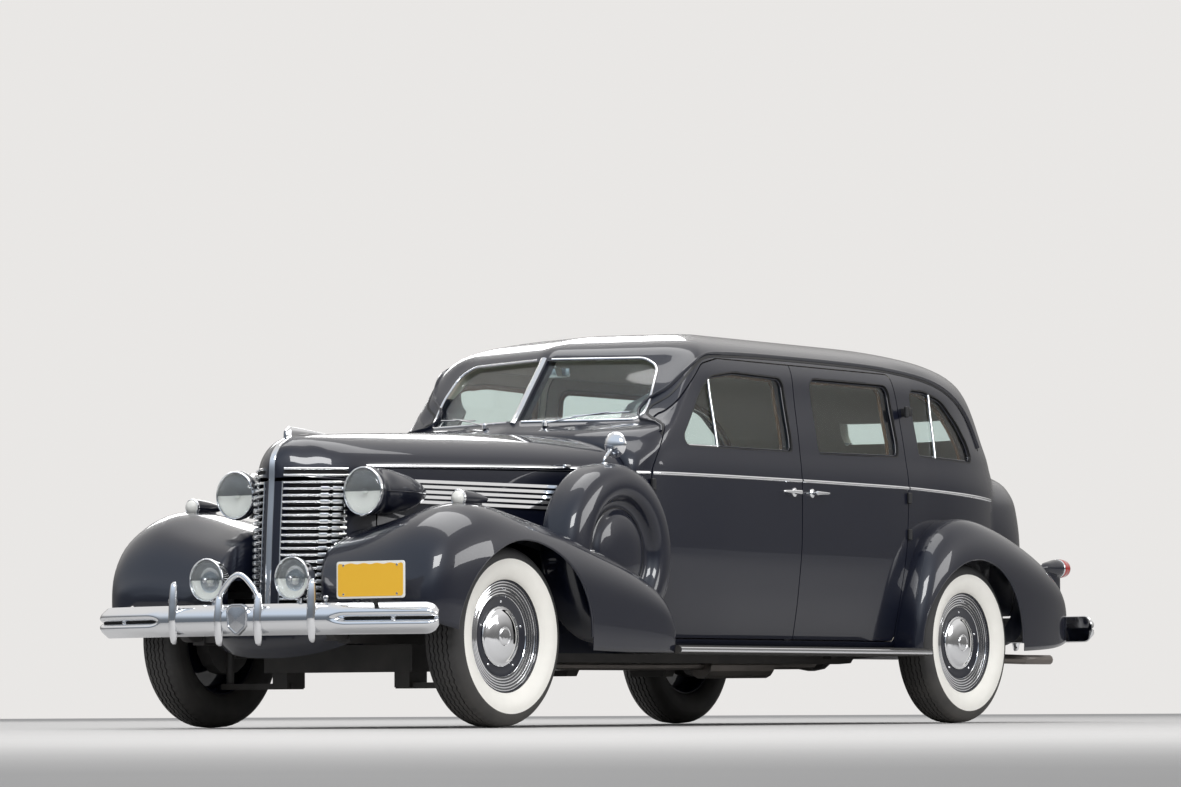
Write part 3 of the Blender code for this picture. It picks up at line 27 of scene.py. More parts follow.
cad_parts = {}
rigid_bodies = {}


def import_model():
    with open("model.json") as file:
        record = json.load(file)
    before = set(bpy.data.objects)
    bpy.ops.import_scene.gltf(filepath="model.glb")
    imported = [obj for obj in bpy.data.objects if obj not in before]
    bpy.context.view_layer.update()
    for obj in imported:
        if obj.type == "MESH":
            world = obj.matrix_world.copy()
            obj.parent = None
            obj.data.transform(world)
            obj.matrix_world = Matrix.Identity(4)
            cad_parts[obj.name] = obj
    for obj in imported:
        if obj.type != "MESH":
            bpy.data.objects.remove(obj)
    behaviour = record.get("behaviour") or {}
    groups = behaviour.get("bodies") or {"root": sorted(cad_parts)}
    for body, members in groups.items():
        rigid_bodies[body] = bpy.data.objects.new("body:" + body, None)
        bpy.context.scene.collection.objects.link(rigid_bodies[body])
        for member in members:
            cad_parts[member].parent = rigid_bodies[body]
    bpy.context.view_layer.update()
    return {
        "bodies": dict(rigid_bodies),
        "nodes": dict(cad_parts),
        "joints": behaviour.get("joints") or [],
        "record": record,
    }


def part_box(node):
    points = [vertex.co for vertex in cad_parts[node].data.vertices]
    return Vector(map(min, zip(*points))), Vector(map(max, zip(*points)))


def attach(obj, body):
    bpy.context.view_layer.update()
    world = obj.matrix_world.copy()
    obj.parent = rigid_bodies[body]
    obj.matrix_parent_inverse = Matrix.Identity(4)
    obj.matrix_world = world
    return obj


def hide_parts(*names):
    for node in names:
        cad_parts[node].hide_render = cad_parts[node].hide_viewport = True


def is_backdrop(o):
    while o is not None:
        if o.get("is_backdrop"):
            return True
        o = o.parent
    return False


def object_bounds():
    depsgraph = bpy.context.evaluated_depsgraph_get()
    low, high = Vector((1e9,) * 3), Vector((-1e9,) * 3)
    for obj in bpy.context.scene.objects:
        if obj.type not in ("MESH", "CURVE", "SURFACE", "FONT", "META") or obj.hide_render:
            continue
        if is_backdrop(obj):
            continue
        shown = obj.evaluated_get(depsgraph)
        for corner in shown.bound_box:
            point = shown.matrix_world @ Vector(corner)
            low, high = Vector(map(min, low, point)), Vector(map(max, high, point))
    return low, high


LOG = logging.getLogger("limousine")

Point = tuple[float, float, float]
Outline = list[tuple[float, float]]
Section = Sequence[tuple[float, float]]
Table = tuple[tuple[float, ...], ...]
Path = Sequence[Sequence[float]] | np.ndarray
Mesh, Object, Material = bpy.types.Mesh, bpy.types.Object, bpy.types.Material
Node, NodeTree, Socket = bpy.types.Node, bpy.types.NodeTree, bpy.types.NodeSocket

WHEELBASE = 3.556
TYRE_RADIUS = 0.378
FRONT_TRACK = 1.524
REAR_TRACK = 1.588
SHUT_GAP = 0.006
WALL = 0.055

SIDE_REACH = (0.45, 1.1)
SCREEN_REACH = (-0.9, 0.0)
BEHIND = 3.4

UPRIGHT = Matrix.Rotation(-pi / 2, 4, "Y")
TO_REAR = Matrix.Rotation(pi / 2, 4, "Z")


class Side(Enum):
    """The two sides of the car. The value is the sign of X."""

    LEFT = 1
    RIGHT = -1

    @property
    def word(self) -> str:
        """The side's name as it ends a piece's name."""
        return self.name.lower()


class Join(Enum):
    """The ways in which two solids are combined."""

    UNION = "UNION"
    LESS = "DIFFERENCE"
    WITHIN = "INTERSECT"


# Curves and tables


def natural_spline(knots: np.ndarray, values: np.ndarray, at: np.ndarray) -> np.ndarray:
    """Reads a smooth curve through every given value.

    Args:
        knots: Rising places of the values.
        values: One row for each knot.
        at: The places to read.

    Returns:
        One row for each place read.
    """
    knots = np.asarray(knots, float)
    values = np.asarray(values, float)
    flat = values.ndim == 1
    if flat:
        values = values[:, None]
    count = len(knots)
    gaps = np.diff(knots)
    system = np.eye(count)
    right = np.zeros_like(values)
    for i in range(1, count - 1):
        system[i, i - 1 : i + 2] = gaps[i - 1], 2 * (gaps[i - 1] + gaps[i]), gaps[i]
        right[i] = 6 * ((values[i + 1] - values[i]) / gaps[i] - (values[i] - values[i - 1]) / gaps[i - 1])
    bends = np.linalg.solve(system, right)
    at = np.clip(np.asarray(at, float), knots[0], knots[-1])
    cell = np.clip(np.searchsorted(knots, at) - 1, 0, count - 2)
    width = gaps[cell][:, None]
    left = (knots[cell + 1] - at)[:, None]
    rest = (at - knots[cell])[:, None]
    found = (
        bends[cell] * left**3 / (6 * width)
        + bends[cell + 1] * rest**3 / (6 * width)
        + (values[cell] / width - bends[cell] * width / 6) * left
        + (values[cell + 1] / width - bends[cell + 1] * width / 6) * rest
    )
    return found[:, 0] if flat else found


def steady_spline(knots: np.ndarray, values: np.ndarray, at: np.ndarray) -> np.ndarray:
    """Reads a curve through every given value that never swings past its neighbours.

    Args:
        knots: Rising places of the values.
        values: One number for each knot.
        at: The places to read.

    Returns:
        One number for each place read.
    """
    knots, values = np.asarray(knots, float), np.asarray(values, float)
    gaps = np.diff(knots)
    slopes = np.diff(values) / gaps
    ends = np.concatenate([[slopes[0]], np.zeros(len(slopes) - 1), [slopes[-1]]])
    for i in range(1, len(slopes)):
        if slopes[i - 1] * slopes[i] > 0:
            first, second = 2 * gaps[i] + gaps[i - 1], gaps[i] + 2 * gaps[i - 1]
            ends[i] = (first + second) / (first / slopes[i - 1] + second / slopes[i])
    at = np.clip(np.asarray(at, float), knots[0], knots[-1])
    cell = np.clip(np.searchsorted(knots, at) - 1, 0, len(knots) - 2)
    t = (at - knots[cell]) / gaps[cell]
    rise = 1 - t
    return (
        values[cell] * (1 + 2 * t) * rise**2
        + ends[cell] * gaps[cell] * t * rise**2
        + values[cell + 1] * t**2 * (3 - 2 * t)
        - ends[cell + 1] * gaps[cell] * t**2 * rise
    )


def chord_steps(rows: np.ndarray) -> np.ndarray:
    """Distances along a chain of points, from nothing at its start.

    Args:
        rows: The chain of points.

    Returns:
        The distances.
    """
    rows = np.asarray(rows, float)
    lengths = np.sqrt((np.diff(rows, axis=0) ** 2).sum(axis=1))
    return np.concatenate([[0.0], np.cumsum(np.maximum(lengths, 1e-6))])


def smooth_path(points: Sequence[Sequence[float]], count: int, closed: bool = False) -> np.ndarray:
    """Evenly spaced points along a smooth curve through the given ones.

    Args:
        points: The points that the curve passes.
        count: How many points to return.
        closed: Whether the curve returns to its start.

    Returns:
        The points, one to a row. A closed curve doesn't repeat its first one.
    """
    rows = np.asarray(points, float)
    if closed:
        rows = np.vstack([rows[-3:], rows, rows[:4]])
    steps = chord_steps(rows)
    if closed:
        low, high = steps[3], steps[-4]
        return natural_spline(steps, rows, np.linspace(low, high, count, endpoint=False))
    return natural_spline(steps, rows, np.linspace(steps[0], steps[-1], count))


def rounded(outline: Outline, radius: float | Sequence[float], steps: int = 8) -> Outline:
    """An outline with each corner cut to an arc.

    Args:
        outline: Corner points in order.
        radius: The arc's radius, or one for each corner.
        steps: Points to an arc.

    Returns:
        The rounded outline.
    """
    count = len(outline)
    radii = [radius] * count if isinstance(radius, (int, float)) else list(radius)
    result: Outline = []
    for i in range(count):
        before, here, after = (np.array(outline[k % count], float) for k in (i - 1, i, i + 1))
        into, out = before - here, after - here
        reach_in, reach_out = np.linalg.norm(into), np.linalg.norm(out)
        into, out = into / reach_in, out / reach_out
        half = acos(max(-1.0, min(1.0, float(into @ out)))) / 2
        if half > radians(88) or radii[i] <= 0:
            result.append((float(here[0]), float(here[1])))
            continue
        cut = min(radii[i] / tan(half), 0.48 * reach_in, 0.48 * reach_out)
        actual = cut * tan(half)
        middle = here + (into + out) / np.linalg.norm(into + out) * (actual / sin(half))
        start, end = here + into * cut - middle, here + out * cut - middle
        first, second = atan2(start[1], start[0]), atan2(end[1], end[0])
        turn = (second - first + pi) % (2 * pi) - pi
        for k in range(steps + 1):
            angle = first + turn * k / steps
            result.append((float(middle[0] + actual * cos(angle)), float(middle[1] + actual * sin(angle))))
    return result


def resized(outline: Outline, distance: float) -> Outline:
    """Outline moved in by the distance on every side, or out when it is negative.

    Args:
        outline: The corners, in order.
        distance: How far, in metres.

    Returns:
        The new outline.
    """
    count = len(outline)
    area = sum(a[0] * b[1] - b[0] * a[1] for a, b in zip(outline, outline[1:] + outline[:1]))
    turn = 1 if area > 0 else -1
    result: Outline = []
    for i in range(count):
        before, here, after = (Vector(outline[k % count]) for k in (i - 1, i, i + 1))
        into, out = (here - before).normalized(), (after - here).normalized()
        middle = (Vector((-into.y, into.x)) + Vector((-out.y, out.x))) * turn
        shift = middle * (distance * 2 / max(middle.length_squared, 0.5))
        result.append((here.x + shift.x, here.y + shift.y))
    return result


def dense(outline: Outline, longest: float = 0.03) -> Outline:
    """The same outline with its long sides divided, so that it bends well over a curved panel.

    Args:
        outline: The corners, in order.
        longest: The longest side that stays whole.

    Returns:
        The new outline.
    """
    result: Outline = []
    for here, after in zip(outline, outline[1:] + outline[:1]):
        parts = max(1, ceil(dist(here, after) / longest))
        for k in range(parts):
            share = k / parts
            result.append((here[0] + (after[0] - here[0]) * share, here[1] + (after[1] - here[1]) * share))
    return result


# Meshes


@contextmanager
def editing(mesh: Mesh) -> Iterator[bmesh.types.BMesh]:
    """Opens a mesh for editing and writes it back.

    Args:
        mesh: The mesh.
    """
    work = bmesh.new()
    work.from_mesh(mesh)
    yield work
    work.to_mesh(mesh)
    work.free()


def mesh_of(points: Iterable[Sequence[float]], faces: Iterable[Sequence[int]], weld: float = 1e-5) -> Mesh:
    """A mesh from points and faces, with coinciding points made one and its faces turned outwards.

    Args:
        points: The corners.
        faces: Lists of corner numbers.
        weld: Distance within which points become one.

    Returns:
        The shape.
    """
    mesh = bpy.data.meshes.new("shape")
    mesh.from_pydata([tuple(map(float, p)) for p in points], [], [list(map(int, f)) for f in faces])
    with editing(mesh) as work:
        bmesh.ops.remove_doubles(work, verts=work.verts, dist=weld)
        bmesh.ops.recalc_face_normals(work, faces=work.faces)
    return mesh


def loft(rings: Sequence[np.ndarray], ends: bool = True, closed: bool = False) -> Mesh:
    """A skin through rings that all have the same number of points.

    Args:
        rings: The rings in order.
        ends: Whether the first and last ring are closed with a face.
        closed: Whether the last ring joins back to the first.

    Returns:
        The mesh.
    """
    count = len(rings[0])
    points = np.concatenate([np.asarray(ring, float) for ring in rings])
    faces: list[list[int]] = []
    for row in range(len(rings) if closed else len(rings) - 1):
        first, second = row * count, (row + 1) % len(rings) * count
        faces += [[first + i, first + (i + 1) % count, second + (i + 1) % count, second + i] for i in range(count)]
    if ends and not closed:
        faces += [list(range(count)), list(range(len(points) - count, len(points)))]
    return mesh_of(points, faces)


def turned(profile: Section, steps: int, closed: bool = False) -> Mesh:
    """Solid of revolution about the X axis.

    Args:
        profile: Pairs of radius and place along X.
        steps: Sides of the circle.
        closed: Whether the profile returns to its start, as a ring's does.

    Returns:
        The mesh.
    """
    count = len(profile)
    points: list[Point] = []
    faces: list[list[int]] = []
    for step in range(steps):
        angle = 2 * pi * step / steps
        points += [(x, r * cos(angle), r * sin(angle)) for r, x in profile]
    for step in range(steps):
        here, there = step * count, (step + 1) % steps * count
        for i in range(count if closed else count - 1):
            j = (i + 1) % count
            faces.append([here + i, here + j, there + j, there + i])
    mesh = mesh_of(points, faces)
    return without_slivers(mesh)


def without_slivers(mesh: Mesh) -> Mesh:
    """The mesh without faces that have shrunk to an edge.

    Args:
        mesh: The shape.

    Returns:
        The shape.
    """
    with editing(mesh) as work:
        bmesh.ops.dissolve_degenerate(work, dist=1e-6, edges=work.edges)
    return mesh


def prism(outline: Outline, low: float, high: float, axis: str) -> Mesh:
    """Solid with the given outline, from low to high along X, Y or Z.

    Args:
        outline: The corners, in order.
        low: The lower end.
        high: The upper end.
        axis: X, Y or Z.

    Returns:
        The shape.
    """
    place: dict[str, Callable[[float, float, float], Point]] = {
        "X": lambda a, b, c: (c, a, b),
        "Y": lambda a, b, c: (a, c, b),
        "Z": lambda a, b, c: (a, b, c),
    }
    return loft([np.array([place[axis](a, b, end) for a, b in outline]) for end in (low, high)])


def block(x: tuple[float, float], y: tuple[float, float], z: tuple[float, float], soft: float = 0.0) -> Mesh:
    """Box between the given limits, its edges rounded by soft.

    Args:
        x: Limits across the car.
        y: Limits along the car.
        z: Limits in height.
        soft: How far the edges are rounded.

    Returns:
        The shape.
    """
    ring = [(x[0], y[0]), (x[1], y[0]), (x[1], y[1]), (x[0], y[1])]
    mesh = loft([np.array([(a, b, c) for a, b in ring]) for c in z])
    return softened(mesh, soft) if soft else mesh


def softened(mesh: Mesh, width: float, segments: int = 3, angle: float = 30.0) -> Mesh:
    """The mesh with its sharp edges rounded.

    Args:
        mesh: The shape.
        width: How far the rounding reaches from the edge.
        segments: Faces across the rounding.
        angle: Edges sharper than this many degrees are rounded.

    Returns:
        The same mesh, changed.
    """
    with editing(mesh) as work:
        sharp = [e for e in work.edges if len(e.link_faces) == 2 and e.calc_face_angle(0) > radians(angle)]
        bmesh.ops.bevel(
            work, geom=sharp, offset=width, segments=segments, profile=0.5, affect="EDGES", clamp_overlap=True
        )
    return mesh


def slab(outline: Outline, radius: float, low: float, high: float, axis: str, soft: float) -> Mesh:
    """A plate with round corners and softened edges.

    Args:
        outline: Its corners.
        radius: The corners' radius.
        low: Where it starts along the axis.
        high: Where it ends.
        axis: X, Y or Z.
        soft: How far the edges are rounded.

    Returns:
        The plate.
    """
    return softened(prism(rounded(outline, radius), low, high, axis), soft, 2)


def swept(
    path: Path,
    section: Section,
    closed: bool = False,
    ups: Path | None = None,
    scales: Sequence[float] | None = None,
) -> Mesh:
    """Solid along a path.

    Args:
        path: Points that the section's origin passes.
        section: Pairs of sideways and upwards offset.
        closed: Whether the path returns to its start.
        ups: The section's up direction at each point. The default is +Z, or +Y where the path climbs steeply.
        scales: The section's size at each point.

    Returns:
        The mesh.
    """
    points = [Vector(p) for p in path]
    count = len(points)
    rings = []
    for i, point in enumerate(points):
        before = points[i - 1] if i or closed else point
        after = points[(i + 1) % count] if i + 1 < count or closed else point
        ahead = (after - before).normalized()
        if ups is not None:
            level = Vector(ups[i])
        else:
            level = Vector((0, 0, 1)) if abs(ahead.z) < 0.92 else Vector((0, 1, 0))
        sideways = ahead.cross(level).normalized()
        upwards = sideways.cross(ahead)
        size = scales[i] if scales is not None else 1.0
        rings.append(np.array([point + (sideways * a + upwards * b) * size for a, b in section]))
    return loft(rings, closed=closed)


def tube(path: Path, radius: float, steps: int = 12, closed: bool = False) -> Mesh:
    """Round bar along a path, with its frame carried along so that it doesn't twist.

    Args:
        path: The points it follows.
        radius: The bar's radius.
        steps: Corners round the section.
        closed: Whether the end joins back to the start.

    Returns:
        The shape.
    """
    points = [Vector(p) for p in path]
    count = len(points)
    ups: list[Vector] = []
    up = Vector((0, 0, 1))
    for i in range(count):
        before = points[i - 1] if i or closed else points[i]
        after = points[(i + 1) % count] if i + 1 < count or closed else points[i]
        ahead = (after - before).normalized()
        if i == 0 and abs(ahead.dot(up)) > 0.9:
            up = Vector((0, 1, 0))
        up = (up - ahead * up.dot(ahead)).normalized()
        ups.append(up.copy())
    return swept(points, ring_section(radius, steps), closed, ups)


def turns(count: int) -> np.ndarray:
    """Even angles once round a circle."""
    return np.linspace(0, 2 * pi, count + 1)[:-1]


def ring_section(radius: float, steps: int) -> Outline:
    """Points round a circle."""
    return [(radius * cos(2 * pi * i / steps), radius * sin(2 * pi * i / steps)) for i in range(steps)]


def half_round(width: float, height: float, steps: int = 8) -> Outline:
    """Section of a trim strip: flat at the back, crowned in front. Width runs upwards, height outwards."""
    crown = [(height * sin(pi * i / steps), -width / 2 * cos(pi * i / steps)) for i in range(steps + 1)]
    return crown + [(-0.3 * height, width / 2), (-0.3 * height, -width / 2)]


def moved(mesh: Mesh, offset: Sequence[float] = (0, 0, 0), turn: Matrix | None = None) -> Mesh:
    """A copy that is turned about the origin and then moved.

    Args:
        mesh: The shape.
        offset: The move.
        turn: The turn about the origin.

    Returns:
        The shape.
    """
    copy = mesh.copy()
    copy.transform(Matrix.Translation(offset) @ (turn or Matrix.Identity(4)))
    return copy


def facing_front(mesh: Mesh, spot: Sequence[float], lean: float = 0.0) -> Mesh:
    """A shape turned about X, stood so that its +X end looks to the rear, at the spot and leaning by some degrees."""
    turn = Matrix.Rotation(radians(lean), 4, "X") @ TO_REAR
    return moved(mesh, spot, turn)


def mirrored(mesh: Mesh) -> Mesh:
    """The same shape on the other side of the car.

    Args:
        mesh: The shape.

    Returns:
        The shape.
    """
    copy = mesh.copy()
    copy.transform(Matrix.Scale(-1, 4, (1, 0, 0)))
    copy.flip_normals()
    return copy


def gathered(*meshes: Mesh) -> Mesh:
    """One mesh that holds several shapes, each as it is.

    Args:
        meshes: The shapes.

    Returns:
        The shape.
    """
    work = bmesh.new()
    for mesh in meshes:
        work.from_mesh(mesh)
    result = bpy.data.meshes.new("shape")
    work.to_mesh(result)
    work.free()
    return result


def both(mesh: Mesh) -> Mesh:
    """A shape and its mirror image."""
    return gathered(mesh, mirrored(mesh))


def combined(kind: Join, first: Mesh, second: Mesh) -> Mesh:
    """Joins, cuts or intersects two closed shapes: the fast solver first, the slow one where that gives nothing.

    Args:
        kind: Which of the three.
        first: The shape that is kept.
        second: The other shape.

    Returns:
        The shape.
    """
    for solver in ("MANIFOLD", "EXACT"):
        holders = [bpy.data.objects.new("holder", mesh) for mesh in (first, second)]
        for holder in holders:
            bpy.context.scene.collection.objects.link(holder)
        change = holders[0].modifiers.new("combine", "BOOLEAN")
        change.operation = kind.value
        change.solver = solver
        change.object = holders[1]
        graph = bpy.context.evaluated_depsgraph_get()
        result = bpy.data.meshes.new_from_object(holders[0].evaluated_get(graph))
        for holder in holders:
            bpy.data.objects.remove(holder)
        changed = len(result.vertices) != len(first.vertices) or kind is Join.LESS
        if result.polygons and changed:
            return result
    LOG.warning("a %s gave nothing new", kind.name)
    return result


def less(mesh: Mesh, *cutters: Mesh) -> Mesh:
    """The shape with every cutter taken out of it.

    Args:
        mesh: The shape.
        cutters: What is taken away.

    Returns:
        The shape.
    """
    for cutter in cutters:
        mesh = combined(Join.LESS, mesh, cutter)
    return mesh


def within(first: Mesh, second: Mesh) -> Mesh:
    """What two shapes have in common."""
    return combined(Join.WITHIN, first, second)


def united(first: Mesh, *others: Mesh) -> Mesh:
    """Shapes joined into one solid.

    Args:
        first: The first shape.
        others: Further shapes.

    Returns:
        The shape.
    """
    for other in others:
        first = combined(Join.UNION, first, other)
    return first


def tree_of(mesh: Mesh) -> BVHTree:
    """A search tree of a mesh, for finding the nearest point on it."""
    return BVHTree.FromPolygons([v.co for v in mesh.vertices], [list(p.vertices) for p in mesh.polygons])


# Finishes


def group_of(name: str, inputs: Sequence[tuple[str, str, float]], outputs: Sequence[tuple[str, str]]) -> NodeTree:
    """A new node group with named sockets.

    Args:
        name: The group's name.
        inputs: Name, socket type and default of each input.
        outputs: Name and socket type of each output.

    Returns:
        The group, with its input and output nodes named "in" and "out".
    """
    group = bpy.data.node_groups.new(name, "ShaderNodeTree")
    for label, kind, default in inputs:
        socket = group.interface.new_socket(name=label, in_out="INPUT", socket_type=kind)
        if kind == "NodeSocketFloat":
            socket.default_value = default
    for label, kind in outputs:
        group.interface.new_socket(name=label, in_out="OUTPUT", socket_type=kind)
    group.nodes.new("NodeGroupInput").name = "in"
    group.nodes.new("NodeGroupOutput").name = "out"
    return group


@dataclass
class Wiring:
    """Shorthand for placing and joining nodes in one tree."""

    tree: NodeTree

    def node(self, kind: str, **settings: object) -> Node:
        """A new node with its settings.

        Args:
            kind: The node's type.
            settings: The settings; one that starts with "in_" is an input's value, with underscores for spaces.

        Returns:
            The node.
        """
        made = self.tree.nodes.new(kind)
        for key, value in settings.items():
            if key.startswith("in_"):
                made.inputs[key[3:].replace("_", " ")].default_value = value
            else:
                setattr(made, key, value)
        return made

    def join(self, source: Socket, target: Socket) -> None:
        """Links an output to an input."""
        self.tree.links.new(source, target)

    def maths(self, operation: str, first: object, second: object = 0.0) -> Socket:
        """A sum, product or the like of two sockets or numbers.

        Args:
            operation: The sum's name.
            first: A socket or a number.
            second: A socket or a number.

        Returns:
            The result's socket.
        """
        made = self.tree.nodes.new("ShaderNodeMath")
        made.operation = operation
        for slot, value in zip(made.inputs, (first, second)):
            if isinstance(value, Socket):
                self.join(value, slot)
            else:
                slot.default_value = float(value)
        return made.outputs[0]

    def noise(self, scale: object, detail: float = 3.0, where: Socket | None = None) -> Socket:
        """Noise in the object's own space.

        Args:
            scale: Size of the pattern: larger is finer.
            detail: Levels of detail.
            where: The coordinates.

        Returns:
            The result's socket.
        """
        if where is None:
            where = self.node("ShaderNodeTexCoord").outputs["Object"]
        made = self.node("ShaderNodeTexNoise", in_Detail=detail)
        if isinstance(scale, Socket):
            self.join(scale, made.inputs["Scale"])
        else:
            made.inputs["Scale"].default_value = float(scale)
        self.join(where, made.inputs["Vector"])
        return made.outputs["Fac"]

    def bump(self, height: Socket, strength: float, distance: float) -> Socket:
        """A normal that is tilted by a height.

        Args:
            height: The height's socket.
            strength: How strongly it tilts.
            distance: The height that one stands for, in metres.

        Returns:
            The result's socket.
        """
        made = self.node("ShaderNodeBump", in_Strength=strength, in_Distance=distance)
        self.join(height, made.inputs["Height"])
        return made.outputs["Normal"]


@dataclass
class Effects:
    """The shader effects that several finishes share, each built once."""

    haze: NodeTree = field(init=False)
    grain: NodeTree = field(init=False)
    weave: NodeTree = field(init=False)
    dust: NodeTree = field(init=False)

    def __post_init__(self) -> None:
        """Builds the node groups."""
        self.haze = self.haze_group()
        self.grain = self.grain_group()
        self.weave = self.weave_group()
        self.dust = self.dust_group()

    def haze_group(self) -> NodeTree:
        """Small changes of roughness over a polished surface.

        Returns:
            The node group.
        """
        group = group_of(
            "polish_haze",
            [
                ("Roughness", "NodeSocketFloat", 0.05), ("Amount", "NodeSocketFloat", 0.05),
                ("Scale", "NodeSocketFloat", 6.0),
            ],
            [("Roughness", "NodeSocketFloat")],
        )
        wires = Wiring(group)
        given = group.nodes["in"].outputs
        cloud = wires.noise(given["Scale"], 4.0)
        shift = wires.maths("MULTIPLY", cloud, given["Amount"])
        wires.join(wires.maths("ADD", given["Roughness"], shift), group.nodes["out"].inputs["Roughness"])
        return group

    def grain_group(self) -> NodeTree:
        """A fine pebbled height, for rubber, leather cloth and castings.

        Returns:
            The node group.
        """
        group = group_of(
            "fine_grain", [("Scale", "NodeSocketFloat", 400.0)],
            [("Height", "NodeSocketFloat"), ("Shade", "NodeSocketFloat")],
        )
        wires = Wiring(group)
        scale = group.nodes["in"].outputs["Scale"]
        fine = wires.noise(scale, 2.0)
        broad = wires.noise(wires.maths("MULTIPLY", scale, 0.04), 3.0)
        wires.join(fine, group.nodes["out"].inputs["Height"])
        wires.join(broad, group.nodes["out"].inputs["Shade"])
        return group

    def weave_group(self) -> NodeTree:
        """Crossed threads of a cloth.

        Returns:
            The node group.
        """
        group = group_of(
            "cloth_weave", [("Scale", "NodeSocketFloat", 300.0)],
            [("Height", "NodeSocketFloat"), ("Shade", "NodeSocketFloat")],
        )
        wires = Wiring(group)
        scale = group.nodes["in"].outputs["Scale"]
        place = wires.node("ShaderNodeTexCoord").outputs["Object"]
        heights = []
        for direction in ("X", "Y", "Z"):
            wave = wires.node("ShaderNodeTexWave", bands_direction=direction, in_Distortion=0.6)
            wires.join(place, wave.inputs["Vector"])
            wires.join(scale, wave.inputs["Scale"])
            heights.append(wave.outputs["Fac"])
        crossed = wires.maths("MAXIMUM", wires.maths("MULTIPLY", heights[0], heights[1]), heights[2])
        wires.join(crossed, group.nodes["out"].inputs["Height"])
        wires.join(wires.noise(wires.maths("MULTIPLY", scale, 0.05), 4.0, place), group.nodes["out"].inputs["Shade"])
        return group

    def dust_group(self) -> NodeTree:
        """How dusty a place is: more towards the bottom, varied by noise.

        Returns:
            The node group.
        """
        group = group_of("road_dust", [("Height", "NodeSocketFloat", 0.5)], [("Amount", "NodeSocketFloat")])
        wires = Wiring(group)
        frame = wires.node("ShaderNodeNewGeometry")
        parts = wires.node("ShaderNodeSeparateXYZ")
        wires.join(frame.outputs["Position"], parts.inputs[0])
        low = wires.maths(
            "SUBTRACT", 1.0, wires.maths("DIVIDE", parts.outputs["Z"], group.nodes["in"].outputs["Height"])
        )
        cloud = wires.noise(9.0, 5.0, frame.outputs["Position"])
        amount = wires.maths("MULTIPLY", wires.maths("MAXIMUM", low, 0.0), cloud)
        wires.join(wires.maths("MINIMUM", amount, 1.0), group.nodes["out"].inputs["Amount"])
        return group


@dataclass(frozen=True)
class Finish:
    """A plain opaque finish, and the base of the others."""

    name: str
    colour: tuple[float, float, float]
    roughness: float = 0.5
    metallic: float = 0.0
    coat: float = 0.0
    coat_roughness: float = 0.03
    haze: float = 0.0
    grain: float = 0.0
    grain_scale: float = 500.0
    weave: float = 0.0
    weave_scale: float = 260.0
    mottle: float = 0.0
    dust: float = 0.0
    specular: float = 0.5
    sheen: float = 0.0
    coat_ior: float = 1.5

    def build(self, effects: Effects) -> Material:
        """Makes the material.

        Args:
            effects: The shared node groups.

        Returns:
            The new material.
        """
        material = bpy.data.materials.new(self.name)
        material.use_nodes = True
        material.diffuse_color = (*self.colour, 1.0)
        wires = Wiring(material.node_tree)
        shader = material.node_tree.nodes["Principled BSDF"]
        self.set_constants(shader)
        self.wire(wires, shader, effects)
        return material

    def set_constants(self, shader: Node) -> None:
        """Sets the shader's plain values.

        Args:
            shader: The finish's shader.
        """
        values = {
            "Base Color": (*self.colour, 1.0),
            "Roughness": self.roughness,
            "Metallic": self.metallic,
            "Coat Weight": self.coat,
            "Coat IOR": self.coat_ior,
            "Coat Roughness": self.coat_roughness,
            "Specular IOR Level": self.specular,
            "Sheen Weight": self.sheen,
        }
        for socket, value in values.items():
            shader.inputs[socket].default_value = value

    def wire(self, wires: Wiring, shader: Node, effects: Effects) -> None:
        """Adds the shared effects that this finish uses.

        Args:
            wires: The node tree that is built.
            shader: The finish's shader.
            effects: The shared effects.
        """
        rough = None
        if self.haze:
            haze = self.grouped(wires, effects.haze, Roughness=self.roughness, Amount=self.haze)
            rough = haze.outputs["Roughness"]
            wires.join(rough, shader.inputs["Roughness"])
        shade = None
        if self.grain or self.weave:
            chosen, scale = (effects.weave, self.weave_scale) if self.weave else (effects.grain, self.grain_scale)
            made = self.grouped(wires, chosen, Scale=scale)
            normal = wires.bump(made.outputs["Height"], self.grain or self.weave, 0.0006)
            wires.join(normal, shader.inputs["Normal"])
            shade = made.outputs["Shade"]
        if self.mottle and shade:
            self.tint(wires, shader, shade, self.mottle)
        if self.dust:
            made = self.grouped(wires, effects.dust, Height=0.55)
            amount = wires.maths("MULTIPLY", made.outputs["Amount"], self.dust)
            mix = wires.node("ShaderNodeMix", data_type="RGBA")
            mix.inputs["A"].default_value = (*self.colour, 1.0)
            mix.inputs["B"].default_value = (0.30, 0.27, 0.23, 1.0)
            wires.join(amount, mix.inputs["Factor"])
            wires.join(mix.outputs["Result"], shader.inputs["Base Color"])

    def tint(self, wires: Wiring, shader: Node, shade: Socket, amount: float) -> None:
        """Varies the base colour a little.

        Args:
            wires: The node tree that is built.
            shader: The finish's shader.
            shade: The value that varies the colour.
            amount: How much the colour varies.
        """
        ramp = wires.node("ShaderNodeMapRange")
        ramp.inputs["To Min"].default_value = 1.0 - amount
        ramp.inputs["To Max"].default_value = 1.0 + amount
        wires.join(shade, ramp.inputs["Value"])
        scale = wires.node("ShaderNodeVectorMath", operation="SCALE")
        scale.inputs[0].default_value = self.colour
        wires.join(ramp.outputs["Result"], scale.inputs["Scale"])
        wires.join(scale.outputs[0], shader.inputs["Base Color"])

    @staticmethod
    def grouped(wires: Wiring, group: NodeTree, **values: float) -> Node:
        """A node that uses a shared group with the given inputs.

        Args:
            wires: The node tree that is built.
            group: The shared group.
            values: The inputs' values.

        Returns:
            The node.
        """
        made = wires.tree.nodes.new("ShaderNodeGroup")
        made.node_tree = group
        for key, value in values.items():
            made.inputs[key].default_value = value
        return made


